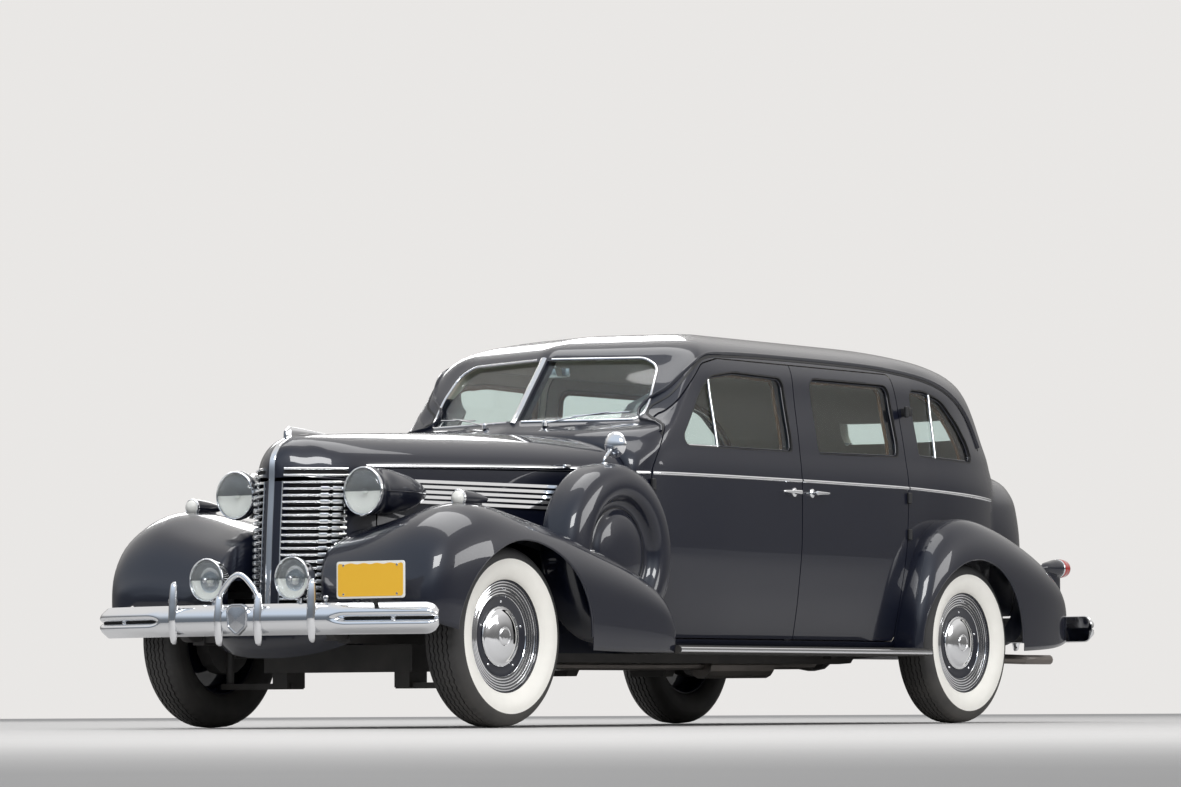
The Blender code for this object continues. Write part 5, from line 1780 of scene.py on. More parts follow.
@dataclass
class BodyPanels:
    """The painted shell, doors and trunk lid with their panes."""

    shop: Workshop
    forms: Forms
    pane_depth: float = 0.016
    pane: float = 0.005
    floor: float = 0.026
    rear_floor: float = 0.520
    skin: float = 0.022
    door_line: Table = ((0.500, 0.365), (0.522, 1.100), (0.535, 1.645))
    pillar_half: float = 0.022
    solid: Mesh = field(init=False)

    def __post_init__(self) -> None:
        """Joins cabin and luggage bulge."""
        self.solid = united(self.forms.cabin, self.forms.trunk)

    def rear_floor_cut(self, more: float) -> Mesh:
        """The room below the raised rear floor."""
        wide = 0.646 + more
        return block((-wide, wide), (1.44 - more, 3.5), (-0.2, self.rear_floor + more))

    def well_cut(self, more: float) -> Mesh:
        """The rear wheel wells.

        Args:
            more: Extra reach, in metres.

        Returns:
            The shape.
        """
        radius, inner = TYRE_RADIUS + 0.035 + more, 0.640 - more
        well = turned([(0, inner), (radius, inner), (radius, 1.1), (0, 1.1)], 48)
        return both(moved(well, (0, WHEELBASE / 2, TYRE_RADIUS)))

    def build(self) -> None:
        """Cuts all the panels from the body's wall."""
        cavity = grown(self.forms.cabin, -WALL)
        lowest = min(v.co.z for v in cavity.vertices)
        for vertex in cavity.vertices:
            if vertex.co.z < lowest + WALL / 2:
                vertex.co.z = 0.350 + self.floor
        cavity = less(cavity, self.rear_floor_cut(self.floor), self.well_cut(self.floor))
        hollow = less(grown(self.forms.trunk, -WALL / 2), self.rear_floor_cut(self.floor), self.well_cut(self.floor))
        wall = less(self.solid, self.rear_floor_cut(0), self.well_cut(0))
        wall = less(wall, cavity, hollow)
        self.shell(wall)
        self.doors(wall)
        lid = within(less(self.forms.trunk, hollow), Opening.TRUNK_LID.rear_cutter(SHUT_GAP / 2, 2.36))
        self.shop.add(
            "trunk_lid_panel", paint_inside(leftover(lid), self.forms.trunk), ["navy_paint", "door_cloth"],
            "trunk_lid", source=self.forms.trunk,
        )
        self.panes()

    def pillar(self, half: float) -> Mesh:
        """Strip on both sides of the line where the doors meet."""
        outline = [(y - half, z) for y, z in self.door_line] + [(y + half, z) for y, z in reversed(self.door_line)]
        return prism(outline, 0.45, 1.1, "X")

    def shell(self, wall: Mesh) -> None:
        """The fixed part of the body.

        Args:
            wall: The hollow inner form.
        """
        shell = wall
        for rows in (Opening.FRONT_DOOR, Opening.REAR_DOOR):
            shell = less(shell, both(rows.side_cutter(-SHUT_GAP / 2)))
        shell = less(shell, both(Opening.QUARTER_WINDOW.side_cutter()), both(Opening.SCREEN.screen_cutter()))
        shell = less(shell, Opening.BACKLIGHT.rear_cutter(0, 1.8), Opening.TRUNK_LID.rear_cutter(-SHUT_GAP / 2, 2.36))
        post = within(within(wall, both(self.pillar(self.pillar_half))), grown(self.forms.cabin, -self.skin - SHUT_GAP))
        shell = gathered(shell, post)
        self.shop.add(
            "body_shell_panels", paint_inside(leftover(shell), self.solid), ["navy_paint", "headliner"],
            source=self.solid,
        )

    def doors(self, wall: Mesh) -> None:
        """The four doors.

        Args:
            wall: The hollow inner form.
        """
        rebate = within(self.pillar(self.pillar_half + SHUT_GAP), grown(self.forms.cabin, -self.skin))
        for name, rows, window in (
            ("door_front", Opening.FRONT_DOOR, Opening.FRONT_WINDOW),
            ("door_rear", Opening.REAR_DOOR, Opening.REAR_WINDOW),
        ):
            door = within(wall, rows.side_cutter(SHUT_GAP / 2))
            door = less(door, window.side_cutter(), rebate)
            door = paint_inside(leftover(door), self.forms.cabin)
            self.shop.pair(
                f"{name}_panel", door, ["navy_paint", "door_cloth"], f"{name}_{{side}}", source=self.forms.cabin
            )

    def panes(self) -> None:
        """The window glass, set back from the skin."""
        outer, inner = grown(self.forms.cabin, -self.pane_depth), grown(self.forms.cabin, -self.pane_depth - self.pane)
        sheet = less(outer, inner)
        edge = -0.004
        for name, rows, body in (
            ("pane_front", Opening.FRONT_WINDOW, "door_front_{side}"),
            ("pane_rear", Opening.REAR_WINDOW, "door_rear_{side}"),
            ("pane_quarter", Opening.QUARTER_WINDOW, "car_body"),
        ):
            self.shop.pair(name, leftover(within(sheet, rows.side_cutter(edge))), "window_glass", body)
        self.shop.pair("pane_screen", leftover(within(sheet, Opening.SCREEN.screen_cutter(edge))), "window_glass")
        self.shop.add("pane_back", leftover(within(sheet, Opening.BACKLIGHT.rear_cutter(edge, 1.8))), "window_glass")


@dataclass
class HoodPanels:
    """The hood's hinged top halves, its fixed sides and the nose beside the grille."""

    shop: Workshop
    forms: Forms
    sheet: float = 0.006

    def build(self) -> None:
        """Cuts the panels from the hood's form."""
        inner = less(grown(self.forms.hood, -self.sheet), block((-1, 1), (-2.6, -2.262), (0.4, 1.4)))
        shell = less(self.forms.hood, inner)
        rear = -0.700 - SHUT_GAP / 2
        edge = list(self.forms.hood_edge)
        top = prism(dense(edge + [(rear, edge[-1][1]), (rear, 1.6), (-2.35, 1.6)], 0.05), SHUT_GAP / 2, 0.965, "X")
        panel = leftover(within(shell, top))
        self.shop.pair("hood_panel", panel, "navy_paint", "hood_{side}", source=self.forms.hood)
        drop = 0.006
        lower = [(y, z - drop) for y, z in edge if y > -1.96]
        lower = [(-1.960, 1.080)] + lower
        lower[-1] = (rear, lower[-1][1])
        side = prism(dense(lower + [(rear, 0.800), (-1.960, 0.800)], 0.05), 0.003, 0.965, "X")
        self.shop.pair("hood_side_panel", leftover(within(shell, side)), "navy_paint", source=self.forms.hood)
        nose = prism([(-2.092, 0.50), (-2.092, 1.052), (-2.075, 1.055), (-1.966, 1.079), (-1.966, 0.50)], 0.0, 0.6, "X")
        self.shop.pair("nose_panel", leftover(within(shell, nose)), "navy_paint", source=self.forms.hood)


@dataclass
class Fenders:
    """The four fenders with their rolled edges."""

    shop: Workshop
    forms: Forms
    sheet: float = 0.005

    @staticmethod
    def arch_outline(spot: tuple[float, float, float], more: float = 0.0) -> Outline:
        """A wheel opening seen from the side, from one foot over the top to the other.

        Args:
            spot: The wheel's middle and the opening's radius.
            more: How much wider than the opening.

        Returns:
            The new outline.
        """
        centre, half, top = spot
        outline = []
        for angle in np.linspace(0, pi, 49):
            outline.append((centre + (half + more) * cos(angle), TYRE_RADIUS + (top + more - TYRE_RADIUS) * sin(angle)))
        return outline

    def arch_cutter(self, spot: tuple[float, float, float], low: float) -> Mesh:
        """Solid that cuts the wheel opening.

        Args:
            spot: The wheel's middle and the opening's radius.
            low: Distance from the middle of the car at which it starts.

        Returns:
            The shape.
        """
        arch = self.arch_outline(spot)
        outline = [(spot[0] - spot[1], -0.2), (spot[0] + spot[1], -0.2)] + arch
        return prism(outline, low, 1.1, "X")

    def build(self, cover: Mesh) -> None:
        """Hollows the forms, cuts the wheel openings and rolls their edges.

        Args:
            cover: The spare wheel cover, which the front fender makes room for.
        """
        outer, inner = self.forms.hollow_fender(True, self.sheet)
        front = less(outer, inner, self.arch_cutter(self.forms.front_arch, 0.44))
        apron = block((-0.2, 0.444), (-2.26, -0.98), (-0.2, 0.62))
        front = less(front, apron, self.forms.cabin, self.forms.hood, cover)
        self.shop.pair("fender_front_panel", leftover(front, 0.03), "navy_paint", source=self.forms.front_fender)
        self.lip("fender_front_lip", self.forms.front_arch, self.forms.front_fender)
        outer, inner = self.forms.hollow_fender(False, self.sheet)
        rear = less(outer, inner, self.arch_cutter(self.forms.rear_arch, 0.60))
        rear = less(rear, self.forms.cabin, self.forms.trunk)
        self.shop.pair("fender_rear_panel", leftover(rear, 0.03), "navy_paint", source=self.forms.rear_fender)
        self.lip("fender_rear_lip", self.forms.rear_arch, self.forms.rear_fender)

    def lip(self, name: str, spot: tuple[float, float, float], form: Mesh) -> None:
        """A rolled bead along the wheel opening's edge.

        Args:
            name: The name, or its start.
            spot: The wheel's middle and the opening's radius.
            form: The fender's form.
        """
        path = []
        tree = tree_of(form)
        for y, z in self.arch_outline(spot, -0.001):
            hit = tree.ray_cast(Vector((1.3, y, z)), Vector((-1, 0, 0)))[0]
            if hit is not None:
                path.append((hit.x - 0.006, y, z))
        self.shop.pair(name, tube(path, 0.0055, 10), "navy_paint")


# Bright work and lamps


@dataclass
class Grille:
    """Two halves of level bars that wrap from the centre spine round to the side columns."""

    shop: Workshop
    forms: Forms
    # Height, spine place, corner across, corner place, flank across, flank place
    rows: Table = (
        (0.540, -2.312, 0.190, -2.165, 0.212, -2.100),
        (0.800, -2.300, 0.200, -2.150, 0.225, -2.092),
        (1.010, -2.282, 0.204, -2.140, 0.230, -2.088),
    )
    bars: int = 17
    curve: float = 1.35
    navy_half: float = 0.046
    strip_half: float = 0.0155

    def plan(self, height: float) -> tuple[float, float, float, float, float]:
        """The grille's plan at a height: spine place, corner across and place, flank across and place."""
        table = np.array(self.rows)
        return tuple(float(natural_spline(table[:, 0], table[:, k], np.array([height]))[0]) for k in range(1, 6))

    def path(self, height: float, first: float = 0.2, count: int = 26) -> np.ndarray:
        """A bar's centre line on the left half, from a share of the way across to the flank.

        Args:
            height: Height of the bar.
            first: Where it starts, as a share of the way across.
            count: Number of points.

        Returns:
            The points.
        """
        spine, corner_x, corner_y, flank_x, flank_y = self.plan(height)
        points = []
        for share in np.linspace(first, 1.0, count):
            points.append((corner_x * share, spine + (corner_y - spine) * share**self.curve, height))
        end = smooth_path(
            [
                points[-4], points[-1], ((corner_x + flank_x) / 2 + 0.005, (corner_y + flank_y) / 2 - 0.006, height),
                (flank_x, flank_y, height),
            ],
            12,
        )
        return np.vstack([np.array(points[:-3]), end[1:]])

    def build(self) -> None:
        """Builds the bars, side columns, top bars, radiator core and spine."""
        low, high = self.rows[0][0], self.rows[-1][0]
        bars = []
        section = [
            (0.011, 0.0), (0.009, 0.0042), (0.004, 0.0056), (-0.011, 0.0036), (-0.011, -0.0036), (0.004, -0.0056),
            (0.009, -0.0042),
        ]
        for i in range(self.bars):
            height = low + (high - low) * (i + 0.5) / self.bars
            bars.append(swept(self.path(height), section))
        height = high + 0.0135
        bars.append(swept(self.path(height), section))
        self.shop.pair("grille_bars", gathered(*bars), "bar_chrome", smooth=50)
        self.columns(low, high)
        self.hood_bars(section)
        self.backing(low, high)
        self.spine(low, high)

    def columns(self, low: float, high: float) -> None:
        """Upright ribs that stand on the bars near each flank.

        Args:
            low: The lower end.
            high: The upper end.
        """
        ribs = []
        path = []
        for height in np.linspace(low - 0.004, high + 0.006, 24):
            _, _, _, flank_x, flank_y = self.plan(height)
            path.append((flank_x + 0.004, flank_y - 0.006, height))
        ribs.append(tube(path, 0.0048, 10))
        block_section = [
            (0.0150, 0.0), (0.0135, 0.0080), (0.0060, 0.0105), (-0.011, 0.0100), (-0.011, -0.0100), (0.0060, -0.0105),
            (0.0135, -0.0080),
        ]
        for i in range(self.bars):
            run = self.path(low + (high - low) * (i + 0.5) / self.bars, 0.82, 14)
            half = len(run) // 2
            ribs += [swept(run[: half - 1], block_section), swept(run[half + 1 :], block_section)]
        height = low - 0.004
        ribs.append(
            swept(
                self.path(height, 0.22),
                [(0.012, -0.005), (0.013, 0.0), (0.012, 0.005), (-0.011, 0.006), (-0.011, -0.006)],
            )
        )
        self.shop.pair("grille_columns", gathered(*ribs), "bar_chrome")

    def hood_bars(self, section: Outline) -> None:
        """The topmost bars, which lie on the nose of each hood half and lift with it, with a near-black strip between
        them as painted shade.

        Args:
            section: The section, out and across.
        """
        tree = tree_of(self.forms.hood)
        bars, gaps = [], []
        for height, dark in ((1.052, False), (1.0655, True), (1.079, False)):
            _, corner_x, _, _, _ = self.plan(1.010)
            path = []
            for x in np.linspace(0.052, corner_x * 1.18, 34):
                hit = tree.ray_cast(Vector((x, -3.0, height)), Vector((0, 1, 0)))[0]
                if hit is not None and hit.y < -2.082:
                    path.append((x, hit.y - (0.001 if dark else 0.002), height))
            # The middle line is a near-black strip in the gap between the two bars, as painted shade.
            if dark:
                gaps.append(
                    swept(
                        path,
                        [(0.0016, 0.0), (0.0012, 0.0078), (-0.004, 0.0078), (-0.004, -0.0078), (0.0012, -0.0078)],
                    )
                )
            else:
                bars.append(swept(path, section))
        self.shop.pair("grille_top_bars", gathered(*bars), "bar_chrome", "hood_{side}", smooth=50)
        self.shop.pair("grille_top_gaps", gathered(*gaps), "black_gap", "hood_{side}")

    def backing(self, low: float, high: float) -> None:
        """The radiator core behind the bars: a near-black sheet, partly the core's own dark paint and partly painted
        shade.

        Args:
            low: The lower end.
            high: The upper end.
        """
        front = []
        for height in np.linspace(low - 0.02, high + 0.012, 8):
            front.append(self.path(height, 0.0, 20) + np.array([0.0, 0.045, 0.0]))
        rings = [np.vstack([row, row[::-1] + np.array([0, 0.012, 0])]) for row in front]
        # The core's near-black is partly its own dark paint and partly painted shade behind the fins.
        self.shop.pair("radiator_core", loft(rings), "black_gap")
        slats = []
        for height in np.linspace(low, high, 60):
            path = self.path(height, 0.04, 14) + np.array([0.0, 0.040, 0.0])
            slats.append(swept(path, [(0.003, -0.0012), (0.003, 0.0012), (-0.003, 0.0012), (-0.003, -0.0012)]))
        self.shop.pair("radiator_fins", gathered(*slats), "underbody_black")

    def nose_line(self) -> np.ndarray:
        """The centre line from the bottom of the grille, up over the hood's nose.

        Returns:
            The points.
        """
        knots = [
            (-2.318, 0.500), (-2.317, 0.540), (-2.310, 0.700), (-2.302, 0.850), (-2.292, 1.000), (-2.290, 1.045),
            (-2.2885, 1.090), (-2.283, 1.122), (-2.270, 1.148), (-2.240, 1.1805), (-2.190, 1.2085), (-2.130, 1.2235),
            (-2.060, 1.2305),
        ]
        return smooth_path([(0.0, y, z) for y, z in knots], 90)

    def spine(self, low: float, high: float) -> None:
        """The navy spine with its bright strip, which runs over the nose into the hood's ornament.

        Args:
            low: The lower end.
            high: The upper end.
        """
        line = self.nose_line()
        ahead = np.gradient(line, axis=0)
        normals = np.array([Vector((0, -d[2], d[1])).normalized() for d in ahead])
        rings = []
        for spot, out in zip(line, normals):
            if spot[2] > 1.032:
                break
            wide = self.navy_half
            ring = [(x, spot[1] + (abs(x) / wide) ** 1.6 * 0.016, spot[2]) for x in np.linspace(-wide, wide, 17)]
            ring += [(wide, spot[1] + 0.055, spot[2]), (-wide, spot[1] + 0.055, spot[2])]
            rings.append(np.array(ring))
        self.shop.add("grille_spine", loft(rings), "navy_paint")
        strip = [
            (-self.strip_half, -0.004), (-self.strip_half, 0.0015), (-self.strip_half * 0.8, 0.0045), (0.0, 0.0065),
            (self.strip_half * 0.8, 0.0045), (self.strip_half, 0.0015), (self.strip_half, -0.004),
        ]
        count = len(line)
        scales = [1.0 if i < count * 0.62 else 1.0 - 0.35 * (i - count * 0.62) / (count * 0.38) for i in range(count)]
        rings = []
        for spot, out, size in zip(line, normals, scales):
            rings.append(np.array([np.array(spot) + np.array([a * size, 0, 0]) + np.array(out) * b for a, b in strip]))
        self.shop.add("grille_spine_strip", loft(rings), "chrome")
        beads = []
        for side in (-1, 1):
            path = [
                np.array(spot) + np.array([side * (self.navy_half + 0.002), 0.012, 0])
                for spot in line
                if spot[2] < 1.03
            ]
            beads.append(tube(path, 0.0035, 8))
        self.shop.add("grille_spine_beads", gathered(*beads), "chrome")
        self.ornament()

    def ornament(self) -> None:
        """A plain, low winged blade on the nose of the hood."""
        rings = []
        for t in np.linspace(0, 1, 26):
            y = -2.205 + 0.30 * t
            base = 1.2315 + 0.004 * t
            height = 0.034 * (1 - t) ** 0.8 * min(1.0, (t + 0.03) * 9) ** 0.5 + 0.002
            wide = 0.011 * (1 - 0.75 * t) * min(1.0, (t + 0.04) * 7) ** 0.5
            lift = base - 0.012 if t > 0.05 else base - 0.016
            ring = [
                (wide * 1.2 * cos(a), y, lift + max(0.0, sin(a)) ** 0.8 * height + 0.008)
                for a in np.linspace(0, pi, 13)
            ]
            ring += [(-wide * 1.3, y, lift - 0.004), (wide * 1.3, y, lift - 0.004)]
            rings.append(np.array(ring))
        self.shop.add("hood_ornament", loft(rings), "chrome")


@dataclass(frozen=True)
class LampShape:
    """The sizes of a round lamp that looks forward. Profiles are pairs of radius share and place share."""

    radius: float
    front: tuple[tuple[float, float], ...]
    shell: tuple[tuple[float, float], ...]
    steps: int
    bulge: float
    rim: float
    rim_place: float
    lens_share: float
    dish_share: float
    dish_depth: float


@dataclass
class Lamps:
    """Headlamps, road lamps, parking lamps and tail lamps."""

    shop: Workshop
    forms: Forms
    head: LampShape = LampShape(
        0.099, ((0.0, 0.30), (0.7, 0.30), (0.97, 0.10)),
        (
            (1.0, 0.10), (1.0, 0.45), (0.975, 1.1), (0.90, 1.9), (0.76, 2.7), (0.56, 3.4), (0.30, 4.0), (0.10, 4.26),
            (0.0, 4.32),
        ),
        90, 0.30, 0.0085, 0.004, 0.965, 0.93, 0.028,
    )
    fog: LampShape = LampShape(
        0.088, ((0.0, 0.2), (0.7, 0.18), (0.97, 0.02)),
        ((1.0, 0.0), (1.0, 0.12), (0.96, 0.35), (0.82, 0.68), (0.58, 0.94), (0.3, 1.1), (0.0, 1.16)),
        50, 0.20, 0.007, -0.002, 0.955, 0.92, 0.024,
    )
    head_spot: Point = (0.345, -2.116, 0.983)
    fog_spot: Point = (0.229, -2.435, 0.617)
    park_spot: Point = (0.720, -1.955, 0.948)
    tail_spot: Point = (0.790, 2.820, 0.748)

    @staticmethod
    def lathe(profile: Section, size: float, count: int = 40, closed: bool = False) -> Mesh:
        """A smooth turned shape from a few profile points.

        Args:
            profile: Radius and place of each point.
            size: The scale, in metres.
            count: Number of steps.
            closed: Whether the end joins back to the start.

        Returns:
            The shape.
        """
        path = smooth_path([(r * size, x * size) for r, x in profile], count)
        path[:, 0] = np.maximum(path[:, 0], 0.0)
        if profile[-1][0] == 0.0:
            path[-1, 0] = 0.0
        if profile[0][0] == 0.0:
            path[0, 0] = 0.0
        return turned([(float(r), float(x)) for r, x in path], 64, closed)

    def dome(self, radius: float, bulge: float, thick: float = 0.004) -> Mesh:
        """A lens: a shallow dome that looks forward, with some thickness.

        Args:
            radius: The radius.
            bulge: How far it stands out, as a share.
            thick: Thickness.

        Returns:
            The shape.
        """
        outer = [(radius * sin(a), -bulge * radius * cos(a)) for a in np.linspace(0, pi / 2, 18)]
        inner = [(r * 0.97, x + thick) for r, x in reversed(outer)]
        inner[-1] = (0.0, inner[-1][1])
        outer[0] = (0.0, outer[0][1])
        return turned(outer + inner, 64)

    def rim(self, radius: float, width: float, place: float) -> Mesh:
        """A bright ring round a lens."""
        section = [(radius + width * 0.55 * cos(a), place + width * 1.25 * sin(a)) for a in turns(16)]
        return turned(section, 64, closed=True)

    def build(self) -> None:
        """Builds every lamp."""
        self.headlamps()
        self.fog_lamps()
        self.parking_lamps()
        self.tail_lamps()

    def reflector(self, radius: float, depth: float) -> Mesh:
        """A dished reflector behind a lens, with the bulb's shield at its middle.

        Args:
            radius: The radius.
            depth: Depth of the dish.

        Returns:
            The shape.
        """
        dish = [(radius * sin(a), depth * cos(a)) for a in np.linspace(0, pi / 2, 16)]
        dish[0] = (0.0, depth)
        back = [(r + 0.002, x + 0.003) for r, x in reversed(dish)]
        back[-1] = (0.0, depth + 0.003)
        bulb = turned(
            [
                (0.0, depth * 0.15), (0.009, depth * 0.2), (0.013, depth * 0.4), (0.010, depth * 0.75),
                (0.0, depth * 0.9),
            ],
            24,
        )
        return gathered(turned(dish + back, 48), bulb)

    def lit_below(self, mesh: Mesh, height: float) -> Mesh:
        """Marks the faces over a height as the second finish, a flat grey that is a painted reflection of the dark
        ground; the faces below keep a flat white that is a painted bright reflection.

        Args:
            mesh: The shape.
            height: Faces above this height take the second finish.

        Returns:
            The shape.
        """
        for polygon in mesh.polygons:
            polygon.material_index = 1 if polygon.center.z > height else 0
        return mesh

    def shell(self, name: str, shape: LampShape, spot: Point, finish: str) -> None:
        """A lamp's turned shell.

        Args:
            name: Start of the pieces' names.
            shape: The lamp's sizes.
            spot: The middle of its lens.
            finish: The shell's finish.
        """
        body = self.lathe(shape.front + shape.shell, shape.radius, shape.steps)
        self.shop.pair(f"{name}_shell", facing_front(body, spot), finish)

    def lens_and_dish(self, name: str, shape: LampShape, spot: Point) -> None:
        """A lamp's rim, lens and reflector, whose dish is painted: flat white below as a painted bright reflection,
        flat grey above as a painted dark reflection.

        Args:
            name: Start of the pieces' names.
            shape: The lamp's sizes.
            spot: The middle of its lens.
        """
        rim = self.rim(shape.radius - 0.001, shape.rim, shape.rim_place)
        self.shop.pair(f"{name}_rim", facing_front(rim, spot), "chrome")
        lens = self.dome(shape.radius * shape.lens_share, shape.bulge)
        self.shop.pair(f"{name}_lens", facing_front(lens, spot), "lamp_lens")
        dish = facing_front(self.reflector(shape.radius * shape.dish_share, shape.dish_depth), spot)
        # The dish's lower half is painted white and its upper half grey, as painted reflections.
        self.shop.pair(f"{name}_reflector", self.lit_below(dish, spot[2]), ["reflector", "reflector_shade"])

    def headlamps(self) -> None:
        """The drop-shaped lamps beside the hood, each with a crease along its side and a clip under its rim."""
        shape, (x, y, z) = self.head, self.head_spot
        self.shell("headlamp", shape, self.head_spot, "navy_paint")
        knots = np.array([(place, r) for r, place in shape.shell])
        crease = []
        for t in np.linspace(0.02, 1.0, 30):
            place = 0.25 + 3.95 * t
            radius = float(steady_spline(knots[:, 0], knots[:, 1], np.array([place]))[0]) * shape.radius
            crease.append((x + radius + 0.0005, y + place * shape.radius, z))
        bead = swept(crease, [(0.0022, 0.0), (0.0, 0.0016), (-0.002, 0.0), (0.0, -0.0016)])
        self.shop.pair("headlamp_crease", bead, "navy_paint")
        self.lens_and_dish("headlamp", shape, self.head_spot)
        clip = block((x - 0.010, x + 0.010), (y - 0.010, y + 0.016), (z - 0.106, z - 0.095), 0.003)
        self.shop.pair("headlamp_clip", clip, "chrome")

    def fog_lamps(self) -> None:
        """The two road lamps over the bumper, each with a button on its lens."""
        shape, (x, y, z) = self.fog, self.fog_spot
        self.shell("fog_lamp", shape, self.fog_spot, "chrome")
        self.lens_and_dish("fog_lamp", shape, self.fog_spot)
        button = turned([(0.0, -0.008), (0.007, -0.007), (0.011, -0.003), (0.011, 0.004), (0.0, 0.004)], 24)
        self.shop.pair("fog_lamp_button", facing_front(button, (x, y - shape.bulge * shape.radius, z)), "satin_chrome")
        foot = tube([(x, y + 0.050, z - 0.070), (x, y + 0.048, z - 0.11), (x, y + 0.020, z - 0.135)], 0.014, 16)
        self.shop.pair("fog_lamp_foot", foot, "chrome")

    def parking_lamps(self) -> None:
        """The bullet lamps on the fenders."""
        x, y, z = self.park_spot
        size = 0.034
        shell = facing_front(
            self.lathe(
                ((0.95, 0.0), (1.0, 0.5), (0.97, 1.6), (0.82, 3.0), (0.55, 4.5), (0.25, 5.6), (0.0, 6.0)), size, 50
            ),
            (x, y, z),
        )
        self.shop.pair("parking_lamp_shell", shell, "navy_paint")
        face = facing_front(
            self.lathe(
                ((0.0, -0.85), (0.45, -0.68), (0.8, -0.35), (0.97, 0.05), (0.99, 0.15), (0.8, 0.2), (0.0, 0.2)), size,
                40,
            ),
            (x, y, z),
        )
        self.shop.pair("parking_lamp_lens", face, "plate_white")
        band = facing_front(self.rim(size * 0.99, 0.006, 0.003), (x, y, z))
        self.shop.pair("parking_lamp_rim", band, "chrome")
        top = [
            (y + 0.02, z + size * 0.95), (y + 0.10, z + size * 0.82), (y + 0.19, z + size * 0.2), (y + 0.19, z),
            (y + 0.02, z),
        ]
        fin = prism(top, x - 0.0035, x + 0.0035, "X")
        self.shop.pair("parking_lamp_fin", softened(fin, 0.0015, 2), "chrome")
        foot = self.foot(self.forms.front_fender, (x, y + 0.075, z), (0.020, 0.085), 0.05, 9, True)
        self.shop.pair("parking_lamp_foot", foot, "navy_paint")

    def tail_lamps(self) -> None:
        """The drop-shaped lamps on the rear fenders."""
        x, y, z = self.tail_spot
        size = 0.044
        shell = self.lathe(
            ((0.98, -1.15), (0.99, -1.5), (0.92, -2.2), (0.74, -3.2), (0.42, -4.4), (0.0, -5.0)), size, 50
        )
        self.shop.pair("tail_lamp_shell", facing_front(shell, (x, y, z)), "navy_paint")
        lens = self.lathe(
            ((0.0, 0.72), (0.4, 0.64), (0.75, 0.42), (0.94, 0.1), (1.0, -0.4), (0.98, -1.1), (0.8, -1.2), (0.0, -1.2)),
            size, 40,
        )
        self.shop.pair("tail_lamp_lens", facing_front(lens, (x, y, z)), "lamp_red")
        self.shop.pair("tail_lamp_rim", facing_front(self.rim(size * 0.99, 0.005, -size * 1.15), (x, y, z)), "chrome")
        foot = self.foot(self.forms.rear_fender, (x, y - 0.10, z), (0.018, 0.070), 0.08, 8, False)
        self.shop.pair("tail_lamp_foot", foot, "navy_paint")

    def foot(self, form: Mesh, spot: Point, half: tuple[float, float], drop: float, rows: int, flared: bool) -> Mesh:
        """The foot that carries a small lamp on a fender.

        Args:
            form: The fender's form.
            spot: The lamp's middle, over the foot.
            half: Half sizes across and along the car.
            drop: How far the foot reaches down where the fender isn't below it.
            rows: Rings from the fender to the lamp.
            flared: Whether the foot widens towards the fender.

        Returns:
            The foot.
        """
        x, y, z = spot
        tree = tree_of(form)
        rings = []
        for height in np.linspace(0, 1, rows):
            across, along = (1.25 - 0.35 * height, 1.1 - 0.3 * height) if flared else (1.0, 1.0)
            ring = []
            for a in turns(24):
                px, py = x + half[0] * cos(a) * across, y + half[1] * sin(a) * along
                hit = tree.ray_cast(Vector((px, py, 1.4)), Vector((0, 0, -1)))[0]
                base = (hit.z if hit else z - drop) - 0.004
                ring.append((px, py, base + (z - 0.006 - base) * height))
            rings.append(np.array(ring))
        return loft(rings)


